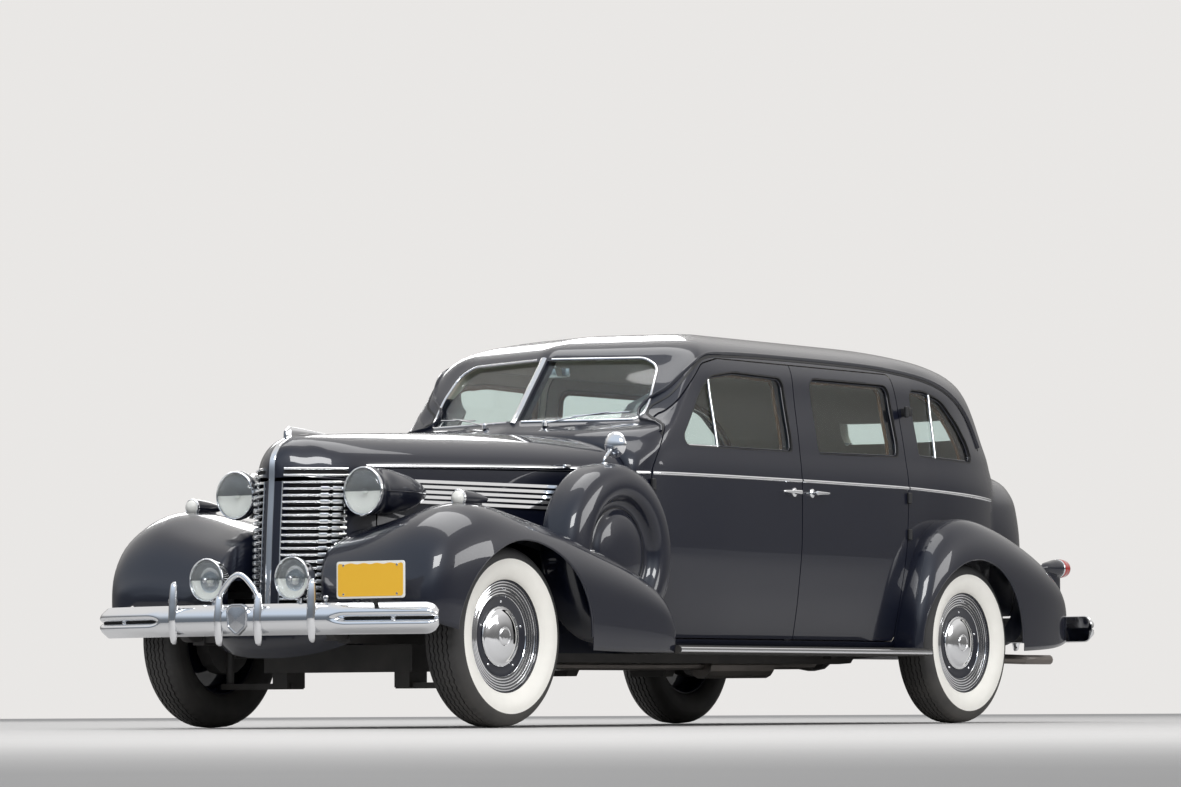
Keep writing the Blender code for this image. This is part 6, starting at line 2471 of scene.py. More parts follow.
@dataclass
class Bumpers:
    """Front and rear bumpers with their guards, medallion, hoop and brackets."""

    shop: Workshop
    half: float = 0.898
    bow: float = 0.16
    bow_power: float = 2.2
    height: float = 0.130
    front_spot: tuple[float, float] = (-2.480, 0.448)
    rear_spot: tuple[float, float] = (3.067, 0.455)
    groove_start: float = 0.46
    outer_guard: float = 0.370
    inner_guard: float = 0.105

    def spot(self, x: float, front: bool) -> tuple[float, float]:
        """The bar's place along the car at a distance from the centre, and its height.

        Args:
            x: Distance from the middle of the car.
            front: Whether it is the front bumper.

        Returns:
            Place along the car and height.
        """
        y, z = self.front_spot if front else self.rear_spot
        sign = 1 if front else -1
        return y + sign * self.bow * abs(x / self.half) ** self.bow_power, z

    def bar(self, front: bool) -> Mesh:
        """The bar, with a crowned face. Its ends are divided by a groove.

        Args:
            front: Whether it is the front bumper.

        Returns:
            The shape.
        """
        sign = 1 if front else -1
        rings = []
        places = np.concatenate(
            [np.linspace(-self.half, -0.40, 40), np.linspace(-0.38, 0.38, 21), np.linspace(0.40, self.half, 40)]
        )
        for x in places:
            y, z = self.spot(x, front)
            ahead = Vector(
                (
                    1,
                    sign * self.bow * self.bow_power * abs(x / self.half) ** (
                        self.bow_power - 1
                    ) / self.half * (1 if x > 0 else -1),
                    0,
                )
            ).normalized()
            out = Vector((ahead.y, -ahead.x, 0)) * sign
            end = min(1.0, (self.half - abs(x)) / 0.055 + 0.02)
            round_off = sqrt(max(0.0, 1 - (1 - end) ** 2))
            deep = min(1.0, max(0.0, (abs(x) - self.groove_start) / 0.05))
            ring = []
            for share, bulge in self.face(deep):
                height = share * self.height / 2 * (0.35 + 0.65 * round_off)
                ring.append(Vector((x, y, z + height)) + out * (bulge * (0.25 + 0.75 * round_off)))
            for share, back in ((-0.93, -0.004), (-0.5, 0.000), (0.5, 0.000), (0.93, -0.004)):
                height = share * self.height / 2 * (0.35 + 0.65 * round_off)
                ring.append(Vector((x, y, z + height)) + out * (back + 0.001))
            rings.append(np.array([tuple(p) for p in ring]))
        return loft(rings)

    def face(self, deep: float) -> list[tuple[float, float]]:
        """The face's section from top to bottom: height share and how far out, with the groove sunk in by a share.

        Args:
            deep: Share of the groove's depth.

        Returns:
            Height share and distance out of each point.
        """
        points = []
        for share in np.linspace(1, -1, 33):
            bulge = 0.034 * (1 - abs(share) ** 2.6) + 0.002
            if deep:
                dip = exp(-((share / 0.13) ** 2)) * 0.028
                lobes = 0.007 * cos(pi * (abs(share) - 0.52) / 0.96) ** 2
                bulge += deep * (lobes - dip - 0.002)
            points.append((share, max(bulge, 0.0022)))
        return points

    def guard(self, x: float, low: float, high: float, front: bool) -> Mesh:
        """An upright blade over the bar.

        Args:
            x: Distance from the middle of the car.
            low: Foot height.
            high: Top height.
            front: Whether it is the front bumper.

        Returns:
            The shape.
        """
        sign = 1 if front else -1
        y, z = self.spot(x, front)
        rings = []
        for t in np.linspace(0, 1, 32):
            height = low + (high - low) * t
            near = max(0.0, 1 - abs(height - z) / 0.075)
            swell = sin(pi * min(max(t, 0.0), 1.0)) ** 0.35
            depth = 0.006 + 0.014 * swell
            wide = 0.0215 * (0.35 + 0.65 * swell)
            out = 0.029 + 0.002 * near - 0.008 * (1 - swell)
            ring = []
            for a in turns(16):
                ring.append((x + wide * sin(a) * (0.6 + 0.4 * abs(sin(a))), y - sign * (out + depth * cos(a)), height))
            rings.append(np.array(ring))
        return loft(rings)

    def build(self) -> None:
        """Builds both bumpers."""
        for front in (True, False):
            name = "front_bumper" if front else "rear_bumper"
            self.shop.add(f"{name}_bar", self.bar(front), "chrome", smooth=50)
            self.shop.pair(
                f"{name}_outer_guard", self.guard(self.outer_guard, 0.352, 0.612 if front else 0.555, front), "chrome"
            )
            self.bolts(name, front)
            self.groove_lines(name, front)
            self.brackets(name, front)
        self.shop.pair("front_bumper_inner_guard", self.guard(self.inner_guard, 0.342, 0.556, True), "chrome")
        self.hoop()
        self.medallion()

    def groove_lines(self, name: str, front: bool) -> None:
        """A near-black strip on the floor of the groove in the bar's ends, as painted shade, and the round knobs beside
        the outer guards.

        Args:
            name: The name, or its start.
            front: Whether it is the front bumper.
        """
        sign = 1 if front else -1
        path = []
        for x in np.linspace(self.groove_start + 0.045, self.half - 0.014, 40):
            y, z = self.spot(x, front)
            path.append((x, y - sign * 0.0082, z))
        # Near-black strip on the groove's floor: painted shade in the recess.
        line = swept(path, [(0.004, 0.0), (0.003, 0.0062), (-0.003, 0.0062), (-0.003, -0.0062), (0.003, -0.0062)])
        self.shop.pair(f"{name}_groove", line, "black_gap")
        y, z = self.spot(0.415, front)
        knob = [
            (0.0, 0.018), (0.008, 0.017), (0.0135, 0.011), (0.0135, 0.003), (0.008, -0.005), (0.008, -0.02),
            (0.0, -0.02),
        ]
        self.shop.pair(f"{name}_knob", moved(turned(knob, 24), (0.415, y + sign * 0.004, z + 0.078), UPRIGHT), "chrome")

    def hoop(self) -> None:
        """The pointed hoop between the inner guards."""
        y = self.front_spot[0] - 0.022
        knots = [
            (-self.inner_guard, y, 0.520), (-0.097, y - 0.002, 0.552), (-0.066, y - 0.003, 0.592),
            (-0.030, y - 0.003, 0.624), (0.0, y - 0.003, 0.634), (0.030, y - 0.003, 0.624), (0.066, y - 0.003, 0.592),
            (0.097, y - 0.002, 0.552), (self.inner_guard, y, 0.520),
        ]
        self.shop.add("front_bumper_hoop", tube(smooth_path(knots, 60), 0.0120, 16), "chrome")

    def medallion(self) -> None:
        """The blank shield at the middle of the front bumper."""
        y, z = self.front_spot
        rings = []
        outline = [
            (-0.058, 0.052), (-0.030, 0.066), (0.030, 0.066), (0.058, 0.052), (0.050, -0.030), (0.0, -0.068),
            (-0.050, -0.030),
        ]
        outline = rounded(outline, 0.02, 6)
        for scale, out in (
            (1.0, 0.026), (1.0, 0.038), (0.93, 0.0425), (0.86, 0.0425), (0.80, 0.0395), (0.4, 0.043), (0.05, 0.0445)
        ):
            rings.append(np.array([(x * scale, y - out, z + h * scale) for x, h in outline]))
        self.shop.add("front_bumper_medallion", loft(rings), "satin_chrome")

    def bolts(self, name: str, front: bool) -> None:
        """The round bolt heads near the bar's ends.

        Args:
            name: The name, or its start.
            front: Whether it is the front bumper.
        """
        sign = 1 if front else -1
        x = 0.72
        y, z = self.spot(x, front)
        head = turned([(0.0, -0.008), (0.006, -0.007), (0.010, -0.003), (0.011, 0.004), (0.0, 0.004)], 24)
        bolt = facing_front(head, (0, 0, 0)) if front else mirrored(
            moved(facing_front(head, (0, 0, 0)), turn=Matrix.Rotation(pi, 4, "Z"))
        )
        self.shop.pair(f"{name}_bolt", moved(bolt, (x, y - sign * 0.012, z)), "chrome")

    def brackets(self, name: str, front: bool) -> None:
        """The arms that carry the bar from the frame.

        Args:
            name: The name, or its start.
            front: Whether it is the front bumper.
        """
        sign = 1 if front else -1
        x = 0.39
        y, z = self.spot(x, front)
        end, height = (-2.30, 0.385) if front else (2.86, 0.440)
        knots = [
            (x, y + sign * 0.004, z), (x, y + sign * 0.05, z - 0.01), (x, (y + end) / 2, height + 0.005),
            (x, end - sign * 0.002, height),
        ]
        arm = swept(smooth_path(knots, 16), [(-0.024, -0.018), (0.024, -0.018), (0.024, 0.018), (-0.024, 0.018)])
        self.shop.pair(f"{name}_arm", softened(arm, 0.004, 2), "underbody_black")


@dataclass
class Plate:
    """The blank number plate in its scalloped white border."""

    shop: Workshop
    low: tuple[float, float] = (0.474, 0.528)
    high: tuple[float, float] = (0.826, 0.679)
    place: float = -2.452

    def outline(self, inset: float, wavy: bool) -> Outline:
        """The plate's edge, with a wavy top and bottom where asked.

        Args:
            inset: How far the edge moves in.
            wavy: Whether top and bottom wave.

        Returns:
            The new outline.
        """
        x0, x1 = self.low[0] + inset, self.high[0] - inset
        z0, z1 = self.low[1] + inset, self.high[1] - inset
        outline = rounded([(x0, z0), (x1, z0), (x1, z1), (x0, z1)], 0.012, 8)
        outline = dense(outline, 0.006)
        if not wavy:
            return outline
        result = []
        for x, z in outline:
            t = (x - x0) / (x1 - x0)
            wave = 0.0045 * (0.5 - 0.5 * cos(2 * pi * 5 * t)) if z > (z0 + z1) / 2 else 0.0
            result.append((x, z - wave))
        return result

    def build(self) -> None:
        """Builds the carrier, the white border and the yellow field."""
        self.shop.add(
            "plate_carrier",
            softened(prism(self.outline(0.0, False), self.place, self.place + 0.005, "Y"), 0.0012, 2), "plate_white",
        )
        self.shop.add(
            "plate_field", prism(self.outline(0.008, True), self.place - 0.0012, self.place + 0.001, "Y"),
            "plate_yellow",
        )
        foot = tube([(0.65, -2.447, 0.532), (0.65, -2.43, 0.524), (0.65, -2.415, 0.506)], 0.010, 12)
        self.shop.add("plate_foot", foot, "underbody_black")
        heads = [
            facing_front(
                turned([(0.0, -0.003), (0.005, -0.0025), (0.006, 0.001), (0.0, 0.001)], 16),
                (x, self.place - 0.001, z),
            )
            for x in (0.512, 0.788)
            for z in (0.545, 0.662)
        ]
        self.shop.add("plate_screws", gathered(*heads), "chrome")


@dataclass
class SpareCovers:
    """The spare wheel covers in the front fenders, with their round mirrors."""

    shop: Workshop
    forms: Forms
    spot: tuple[float, float] = (-0.995, 0.740)
    radius: float = 0.385
    # Radius share and place across
    profile: Table = (
        (0.0, 0.8780), (0.13, 0.8770), (0.26, 0.8730), (0.36, 0.8660), (0.425, 0.8560), (0.450, 0.8460),
        (0.475, 0.8380), (0.52, 0.8350), (0.565, 0.8390), (0.595, 0.8520), (0.618, 0.8700), (0.65, 0.8840),
        (0.70, 0.8905), (0.79, 0.8895), (0.88, 0.8800), (0.94, 0.8650), (0.975, 0.8450), (0.995, 0.8150),
        (1.0, 0.780), (1.0, 0.735), (0.985, 0.712), (0.955, 0.702), (0.93, 0.700), (0.0, 0.700),
    )

    def form(self) -> Mesh:
        """The cover's solid form.

        Returns:
            The shape.
        """
        path = smooth_path([(r * self.radius, x) for r, x in self.profile[:-1]], 110)
        path[0, 0] = 0.0
        profile = [(float(r), float(x)) for r, x in path] + [(0.0, 0.700)]
        return moved(turned(profile, 96), (0, *self.spot))

    def build(self) -> None:
        """Builds the covers with a near-black ring in the recess as painted shade, their clip and mirror."""
        cover = less(self.form(), self.forms.cabin, self.forms.hood)
        self.shop.pair("spare_cover_drum", leftover(cover, 0.03), "navy_paint", smooth=40)
        y, z = self.spot
        # A near-black ring on the floor of the recess, as painted shade.
        ring = []
        for a in turns(96):
            ring.append((0.8360, y + 0.500 * self.radius * cos(a), z + 0.500 * self.radius * sin(a)))
        self.shop.pair("spare_cover_seam", tube(ring, 0.0022, 8, closed=True), "black_rubber")
        clip = block((0.868, 0.893), (y - 0.270, y - 0.238), (z - 0.006, z + 0.006), 0.003)
        self.shop.pair("spare_cover_clip", clip, "chrome")
        self.mirror()

    def mirror(self) -> None:
        """The round mirror on its stem."""
        x, y, z = 0.801, -0.955, 1.205
        foot = self.spot[1] + self.radius
        stem = tube(
            smooth_path(
                [
                    (x - 0.02, y - 0.05, foot - 0.012), (x - 0.02, y - 0.05, foot + 0.018),
                    (x - 0.012, y - 0.03, foot + 0.045), (x, y - 0.006, z),
                ],
                24,
            ),
            0.0065, 12,
        )
        collar = moved(
            turned([(0.0, -0.004), (0.017, -0.004), (0.014, 0.008), (0.0, 0.008)], 24),
            (x - 0.02, y - 0.05, foot - 0.006), UPRIGHT,
        )
        self.shop.pair("mirror_stem", gathered(stem, collar), "chrome")
        head = turned(
            [
                (0.0, -0.026), (0.021, -0.024), (0.040, -0.017), (0.053, -0.006), (0.0565, 0.002), (0.055, 0.005),
                (0.052, 0.004), (0.0, 0.003),
            ],
            48,
        )
        self.shop.pair("mirror_head", facing_front(head, (x, y, z)), "chrome")
        glass = turned([(0.0, 0.0032), (0.051, 0.0042), (0.051, 0.0052), (0.0, 0.0046)], 48)
        self.shop.pair("mirror_face", facing_front(glass, (x, y, z)), "mirror_silver")


@dataclass
class RunningBoards:
    """Running boards with ribbed rubber tops and bright edges."""

    shop: Workshop
    front: float = -0.672
    rear: float = 1.366
    low: float = 0.3125
    top: float = 0.349

    def build(self) -> None:
        """Builds board, mat, ribs and edge strip."""
        section = rounded(
            [
                (0.58, self.low), (0.925, self.low), (0.940, self.low + 0.008), (0.942, self.top - 0.010),
                (0.934, self.top - 0.004), (0.58, self.top - 0.004),
            ],
            0.004, 4,
        )
        board = prism(section, self.front, self.rear, "Y")
        self.shop.pair("running_board_body", board, "underbody_black")
        mat = []
        for x in np.arange(0.745, 0.930, 0.0105):
            rib = [
                (x - 0.0032, self.top - 0.005), (x - 0.0026, self.top - 0.001), (x, self.top),
                (x + 0.0026, self.top - 0.001), (x + 0.0032, self.top - 0.005),
            ]
            mat.append(prism(rib, self.front + 0.004, self.rear - 0.004, "Y"))
        base = block((0.735, 0.932), (self.front + 0.002, self.rear - 0.002), (self.top - 0.0045, self.top - 0.0030))
        self.shop.pair("running_board_mat", gathered(base, *mat), "board_rubber")
        strip = [
            (0.9415, 0.320), (0.9445, 0.323), (0.9455, 0.330), (0.9445, 0.337), (0.9415, 0.340), (0.938, 0.340),
            (0.938, 0.320),
        ]
        self.shop.pair("running_board_strip", prism(strip, self.front + 0.002, self.rear - 0.002, "Y"), "chrome")


@dataclass
class Mouldings:
    """Bright strips, window frames, drip rails, handles, hinges and wipers, laid on the body's surface."""

    shop: Workshop
    forms: Forms
    cabin: BVHTree = field(init=False)
    hood: BVHTree = field(init=False)

    def __post_init__(self) -> None:
        """Readies the forms for finding points on them."""
        self.cabin = tree_of(self.forms.cabin)
        self.hood = tree_of(self.forms.hood)

    def on_cabin(self, y: float, z: float) -> tuple[Vector, Vector]:
        """The point on the body's left side at a place and height, and the way it faces."""
        hit, facing, _, _ = self.cabin.ray_cast(Vector((1.3, y, z)), Vector((-1, 0, 0)))
        return hit, facing

    def on_hood(self, y: float, z: float) -> tuple[Vector, Vector]:
        """The point on the hood's left side at a place and height, and the way it faces."""
        hit, facing, _, _ = self.hood.ray_cast(Vector((1.3, y, z)), Vector((-1, 0, 0)))
        return hit, facing

    def laid(self, line: Section, section: Outline, sink: float = 0.0, on: str = "cabin", closed: bool = False) -> Mesh:
        """A strip laid along a line on the body's side.

        Args:
            line: Places and heights.
            section: Pairs of outward and sideways offset.
            sink: How deep the section's origin lies below the surface.
            on: The form it lies on, "cabin" or "hood".
            closed: Whether the line returns to its start.

        Returns:
            The strip.
        """
        reach = self.on_cabin if on == "cabin" else self.on_hood
        spots, faces = [], []
        for y, z in line:
            hit, facing = reach(y, z)
            if hit is None:
                continue
            spots.append(hit - facing * sink)
            faces.append(facing)
        count = len(spots)
        rings = []
        for i, (spot, facing) in enumerate(zip(spots, faces)):
            before = spots[i - 1] if i or closed else spot
            after = spots[(i + 1) % count] if i + 1 < count or closed else spot
            ahead = (after - before).normalized()
            level = ahead.cross(facing).normalized()
            rings.append(np.array([spot + facing * a + level * b for a, b in section]))
        return loft(rings, closed=closed)

    @staticmethod
    def line(knots: Section, count: int) -> list[tuple[float, float]]:
        """Evenly spaced places and heights along a smooth line."""
        return [(float(y), float(z)) for y, z in smooth_path(knots, count)]

    def build(self) -> None:
        """Builds everything that lies on the body."""
        self.belt()
        self.louvres()
        self.window_frames()
        self.drip_rail()
        self.handles()
        self.hinges()
        self.screen_trim()
        self.wipers()

    def belt(self) -> None:
        """The bright belt strip along hood, cowl, doors and quarters."""
        strip = half_round(0.0165, 0.0065)
        height = [
            (-2.02, 1.0815), (-1.70, 1.090), (-1.30, 1.096), (-0.95, 1.099), (-0.72, 1.100), (-0.45, 1.100),
            (0.0, 1.1005), (0.5, 1.101), (1.0, 1.0995), (1.44, 1.097), (1.9, 1.086), (2.36, 1.070),
        ]
        table = np.array(height)

        def run(first: float, last: float, count: int) -> list[tuple[float, float]]:
            """Places and heights of the belt line from first to last."""
            places = np.linspace(first, last, count)
            return list(zip(places.tolist(), steady_spline(table[:, 0], table[:, 1], places).tolist()))

        hood_line = [(y, z + 0.0095) for y, z in run(-2.01, -0.705, 70)]
        self.shop.pair("hood_belt", self.laid(hood_line, strip, 0.001, on="hood"), "chrome", "hood_{side}")
        self.shop.pair("cowl_belt", self.laid(run(-0.675, -0.602, 10), strip, 0.001), "chrome")
        self.shop.pair(
            "door_front_belt", self.laid(run(-0.585, 0.516, 50), strip, 0.001), "chrome", "door_front_{side}"
        )
        self.shop.pair("door_rear_belt", self.laid(run(0.528, 1.434, 44), strip, 0.001), "chrome", "door_rear_{side}")
        self.shop.pair("quarter_belt", self.laid(run(1.445, 2.34, 44), strip, 0.001), "chrome")

    def louvres(self) -> None:
        """The bright louvre strips on the hood's sides."""
        strips = []
        for share in np.linspace(0, 1, 5):
            front, rear = (-1.80, 1.034 - 0.086 * share), (-1.075, 1.026 - 0.092 * share)
            line = [
                (front[0] + (rear[0] - front[0]) * t, front[1] + (rear[1] - front[1]) * t)
                for t in np.linspace(0, 1, 40)
            ]
            section = [
                (0.0010, -0.0085), (0.0035, -0.0070), (0.0095, 0.0062), (0.0080, 0.0080), (0.0, 0.0088),
                (-0.003, 0.0088), (-0.003, -0.0085),
            ]
            strips.append(self.laid(line, section, 0.0, on="hood"))
        self.shop.pair("hood_louvres", gathered(*strips), "chrome")
        latch = block((-0.012, 0.012), (-0.02, 0.02), (-0.008, 0.008), 0.004)
        hit, _ = self.on_hood(-1.02, 1.116)
        self.shop.pair("hood_latch", moved(latch, hit), "chrome", "hood_{side}")

    def window_frames(self) -> None:
        """Rubber seals, and bright edges where the photograph shows them."""
        for name, rows, body in (
            ("door_front", Opening.FRONT_WINDOW, "door_front_{side}"),
            ("door_rear", Opening.REAR_WINDOW, "door_rear_{side}"),
            ("quarter", Opening.QUARTER_WINDOW, "car_body"),
        ):
            outline = rows.curve(0.0, 0.02)
            seal = self.laid(
                outline, [(0.004, -0.004), (0.004, 0.003), (-0.014, 0.005), (-0.014, -0.004)], 0.004, closed=True
            )
            self.shop.pair(f"{name}_window_seal", seal, "black_rubber", body)
            inner = rows.curve(0.009, 0.02)
            bead = self.laid(inner, ring_section(0.0035, 8), 0.0135, closed=True)
            self.shop.pair(f"{name}_window_bead", bead, "navy_paint", body)
        post = self.laid(
            [(-0.135 + 0.012 * t, 1.556 - 0.326 * t) for t in np.linspace(0, 1, 24)], half_round(0.017, 0.006), 0.008
        )
        self.shop.pair("vent_window_post", post, "chrome", "door_front_{side}")
        sill = self.laid([(-0.395 + 0.275 * t, 1.232) for t in np.linspace(0, 1, 16)], half_round(0.011, 0.004), 0.008)
        self.shop.pair("vent_window_sill", sill, "chrome", "door_front_{side}")
        bar = self.laid(
            [(1.735 - 0.004 * t, 1.556 - 0.306 * t) for t in np.linspace(0, 1, 24)], half_round(0.017, 0.006), 0.008
        )
        self.shop.pair("quarter_window_post", bar, "chrome")

    def drip_rail(self) -> None:
        """The gutter over the doors and round the quarter window, with a near-black strip just under it as painted
        shade.
        """
        knots = [
            (-0.51, 1.285), (-0.43, 1.385), (-0.30, 1.530), (-0.17, 1.628), (0.0, 1.655), (0.5, 1.664), (1.0, 1.664),
            (1.45, 1.652), (1.80, 1.610), (2.02, 1.535), (2.16, 1.430), (2.225, 1.320),
        ]
        section = [
            (0.011, -0.004), (0.0125, 0.000), (0.011, 0.004), (0.001, 0.008), (-0.003, 0.007), (-0.003, -0.005),
            (0.001, -0.005),
        ]
        self.shop.pair("drip_rail", self.laid(self.line(knots, 120), section), "navy_paint")
        # A near-black strip just below the rail: painted shade under the gutter.
        groove = self.laid(
            self.line([(y, z - 0.013) for y, z in knots], 120),
            [(0.0018, -0.0055), (0.0018, 0.0055), (-0.002, 0.0055), (-0.002, -0.0055)],
        )
        self.shop.pair("drip_rail_groove", groove, "black_rubber")

    def handles(self) -> None:
        """The four lever handles with their escutcheons."""
        for name, y, sign in (("front", 0.455, -1), ("rear", 0.600, 1)):
            hit, _ = self.on_cabin(y, 1.047)
            plate = turned([(0.0, -0.002), (0.021, -0.002), (0.020, 0.003), (0.012, 0.007), (0.0, 0.008)], 32)
            stem = turned([(0.0, 0.0), (0.010, 0.0), (0.0085, 0.020), (0.0095, 0.034), (0.0, 0.036)], 24)
            rings = []
            for t in np.linspace(0, 1, 22):
                reach = -0.016 + 0.135 * t
                tall = 0.0105 * (1 - 0.55 * t) * sqrt(max(0.02, 1 - (2 * t - 1) ** 16))
                deep = 0.0075 * (1 - 0.45 * t) * sqrt(max(0.02, 1 - (2 * t - 1) ** 16))
                out = 0.033 - 0.012 * t**1.5
                ring = [(out + deep * cos(a), sign * reach, tall * sin(a) + 0.002 * t) for a in turns(16)]
                rings.append(np.array(ring))
            lever = loft(rings)
            handle = moved(gathered(plate, stem, lever), hit)
            self.shop.pair(f"door_{name}_handle", handle, "chrome", f"door_{name}_{{side}}")

    def hinges(self) -> None:
        """The visible barrels of the door hinges."""
        for name, y, heights in (("front", -0.594, (0.88, 1.05)), ("rear", 1.428, (0.88, 1.05))):
            parts = []
            x = 0.746 if name == "front" else 0.786
            for height in heights:
                barrel = turned(
                    [(0.0, -0.026), (0.009, -0.026), (0.0125, -0.022), (0.0125, 0.022), (0.009, 0.026), (0.0, 0.026)],
                    24,
                )
                parts.append(moved(barrel, (x, y, height), Matrix.Rotation(pi / 2, 4, "Y")))
            if name == "rear":
                parts.append(moved(barrel, (x - 0.012, y, 1.455), Matrix.Rotation(pi / 2, 4, "Y")))
                hit, _ = self.on_cabin(1.462, 1.455)
                arm = block((hit.x - 0.006, x - 0.006), (1.446, 1.476), (1.436, 1.474), 0.005)
                self.shop.pair("upper_hinge_arm", arm, "black_rubber")
            self.shop.pair(f"door_{name}_hinges", gathered(*parts), "black_rubber", f"door_{name}_{{side}}")

    def screen_trim(self) -> None:
        """The windscreen's bright surround and divider."""
        outline = Opening.SCREEN.curve(-0.006, 0.02)
        spots = []
        for x, z in outline:
            if x < 0.021:
                continue
            hit = self.cabin.ray_cast(Vector((x, -1.5, z)), Vector((0, 1, 0)))
            if hit[0] is not None:
                spots.append((hit[0], hit[1]))
        start = max(range(len(spots)), key=lambda i: (spots[i][0] - spots[i - 1][0]).length)
        spots = spots[start:] + spots[:start]
        rings = []
        for i, (spot, facing) in enumerate(spots):
            before, after = spots[max(i - 1, 0)][0], spots[min(i + 1, len(spots) - 1)][0]
            ahead = (after - before).normalized()
            level = ahead.cross(facing).normalized()
            rings.append(np.array([spot + facing * a + level * b for a, b in half_round(0.013, 0.006)]))
        self.shop.pair("screen_surround", loft(rings), "chrome")
        line = []
        for z in np.linspace(1.340, 1.642, 24):
            hit = self.cabin.ray_cast(Vector((0.0005, -1.5, z)), Vector((0, 1, 0)))[0]
            line.append((0.0, hit.y, z))
        slope = Vector(line[-1]) - Vector(line[0])
        out = Vector((0, -slope.z, slope.y)).normalized()
        section = [
            (-0.015, -0.010), (-0.015, 0.002), (-0.008, 0.007), (0.0, 0.009), (0.008, 0.007), (0.015, 0.002),
            (0.015, -0.010),
        ]
        rings = [np.array([Vector(p) + Vector((a, 0, 0)) + out * b for a, b in section]) for p in line]
        self.shop.add("screen_divider", loft(rings), "chrome")

    def wipers(self) -> None:
        """The wiper arms and blades at the foot of the windscreen."""
        def on_front(x: float, z: float, lift: float) -> Vector:
            """A point over the windscreen's outer face."""
            hit, facing, _, _ = self.cabin.ray_cast(Vector((x, -1.5, z)), Vector((0, 1, 0)))
            return hit + facing * lift

        parts = []
        for pivot_x, tip_x in ((0.165, 0.43), (-0.165, -0.43)):
            pivot = on_front(pivot_x, 1.326, 0.012)
            tip = on_front(tip_x, 1.372, 0.014)
            middle = (pivot + tip) / 2
            parts.append(tube([pivot, middle + Vector((0, -0.004, 0.004)), tip], 0.0032, 8))
            first = on_front(tip_x - 0.16 * (1 if tip_x > 0 else -1), 1.361, 0.009)
            last = on_front(tip_x + 0.09 * (1 if tip_x > 0 else -1), 1.374, 0.009)
            parts.append(tube([first, (first + last) / 2, last], 0.0036, 8))
            base = turned([(0.0, -0.012), (0.012, -0.012), (0.014, 0.004), (0.008, 0.014), (0.0, 0.016)], 24)
            parts.append(moved(base, pivot, UPRIGHT))
        self.shop.add("wipers", gathered(*parts), "chrome")


@dataclass
class LidTrim:
    """The trunk lid's handle, hinges and the rear plate's blank carrier."""

    shop: Workshop
    forms: Forms
    trunk: BVHTree = field(init=False)

    def __post_init__(self) -> None:
        """Readies the luggage bulge for finding points on it."""
        self.trunk = tree_of(self.forms.trunk)

    def on_back(self, x: float, z: float) -> tuple[Vector, Vector]:
        """The point on the luggage bulge at a place across and a height, and the way it faces."""
        hit, facing, _, _ = self.trunk.ray_cast(Vector((x, 3.6, z)), Vector((0, -1, 0)))
        return hit, facing

    def build(self) -> None:
        """Builds the lid's furniture."""
        hit, _ = self.on_back(0.0, 0.665)
        plate = rounded([(-0.03, -0.018), (0.03, -0.018), (0.03, 0.018), (-0.03, 0.018)], 0.012)
        base = prism([(hit.x + x, hit.z + z) for x, z in plate], hit.y - 0.004, hit.y + 0.006, "Y")
        bar = tube(
            smooth_path(
                [
                    (-0.062, hit.y + 0.020, hit.z), (-0.045, hit.y + 0.030, hit.z), (0.0, hit.y + 0.033, hit.z),
                    (0.045, hit.y + 0.030, hit.z), (0.062, hit.y + 0.020, hit.z),
                ],
                30,
            ),
            0.0075, 14,
        )
        stem = block((-0.010, 0.010), (hit.y, hit.y + 0.032), (hit.z - 0.008, hit.z + 0.008), 0.003)
        self.shop.add("trunk_handle", gathered(base, bar, stem), "chrome", "trunk_lid")
        y, z = 2.936, 1.160
        barrels = []
        for side in (-1, 1):
            barrel = turned([(0.0, -0.040), (0.0098, -0.040), (0.0098, 0.040), (0.0, 0.040)], 32)
            barrels.append(moved(barrel, (side * 0.240, y, z)))
            strap = [
                (y - 0.040, z - 0.055), (y - 0.004, z - 0.050), (y + 0.008, z - 0.010), (y + 0.006, z + 0.004),
                (y - 0.006, z + 0.004), (y - 0.020, z - 0.019), (y - 0.040, z - 0.026),
            ]
            barrels.append(prism(strap, side * 0.240 - 0.030, side * 0.240 + 0.030, "X"))
        self.shop.add("trunk_hinges", gathered(*barrels), "chrome", "trunk_lid")
        cheeks = []
        outline = [
            (y - 0.080, z + 0.006), (y - 0.040, z - 0.006), (y + 0.008, z - 0.008), (y + 0.010, z),
            (y + 0.008, z + 0.008), (y - 0.080, z + 0.032),
        ]
        for side in (-1, 1):
            for end in (-1, 1):
                near = side * 0.240 + end * 0.0404
                low, high = sorted((near, near + end * 0.010))
                cheeks.append(prism(outline, low, high, "X"))
        self.shop.add("trunk_hinge_cheeks", gathered(*cheeks), "chrome")
        hit, _ = self.on_back(0.0, 0.800)
        carrier = prism(
            rounded([(-0.17, 0.73), (0.17, 0.73), (0.17, 0.87), (-0.17, 0.87)], 0.012), hit.y + 0.002, hit.y + 0.010,
            "Y",
        )
        self.shop.add("rear_plate_carrier", softened(carrier, 0.0015, 2), "plate_white", "trunk_lid")
        field_plate = prism(
            rounded([(-0.162, 0.738), (0.162, 0.738), (0.162, 0.862), (-0.162, 0.862)], 0.010), hit.y + 0.0095,
            hit.y + 0.0115, "Y",
        )
        self.shop.add("rear_plate_field", field_plate, "plate_yellow", "trunk_lid")


# Wheels


@dataclass(frozen=True)
class WheelSizes:
    """Sizes of a wheel and tyre, measured from the middle of the tyre. X looks out of the car."""

    radius: float = TYRE_RADIUS
    bead: float = 0.2315
    wall_top: float = 0.321
    rim_face: float = 0.058
    ring_outer: float = 0.2265
    ring_inner: float = 0.168
    cap: float = 0.120
    dish: float = 0.036
    zigzags: int = 66
    groove: float = 0.0065
    tread: float = 0.3735
    crown: float = 0.0040
    shoulder_crown: float = 0.0042
    tread_half: float = 0.045
    wave: float = 0.0032
    nick: float = 0.0035
    trim_lines: int = 5


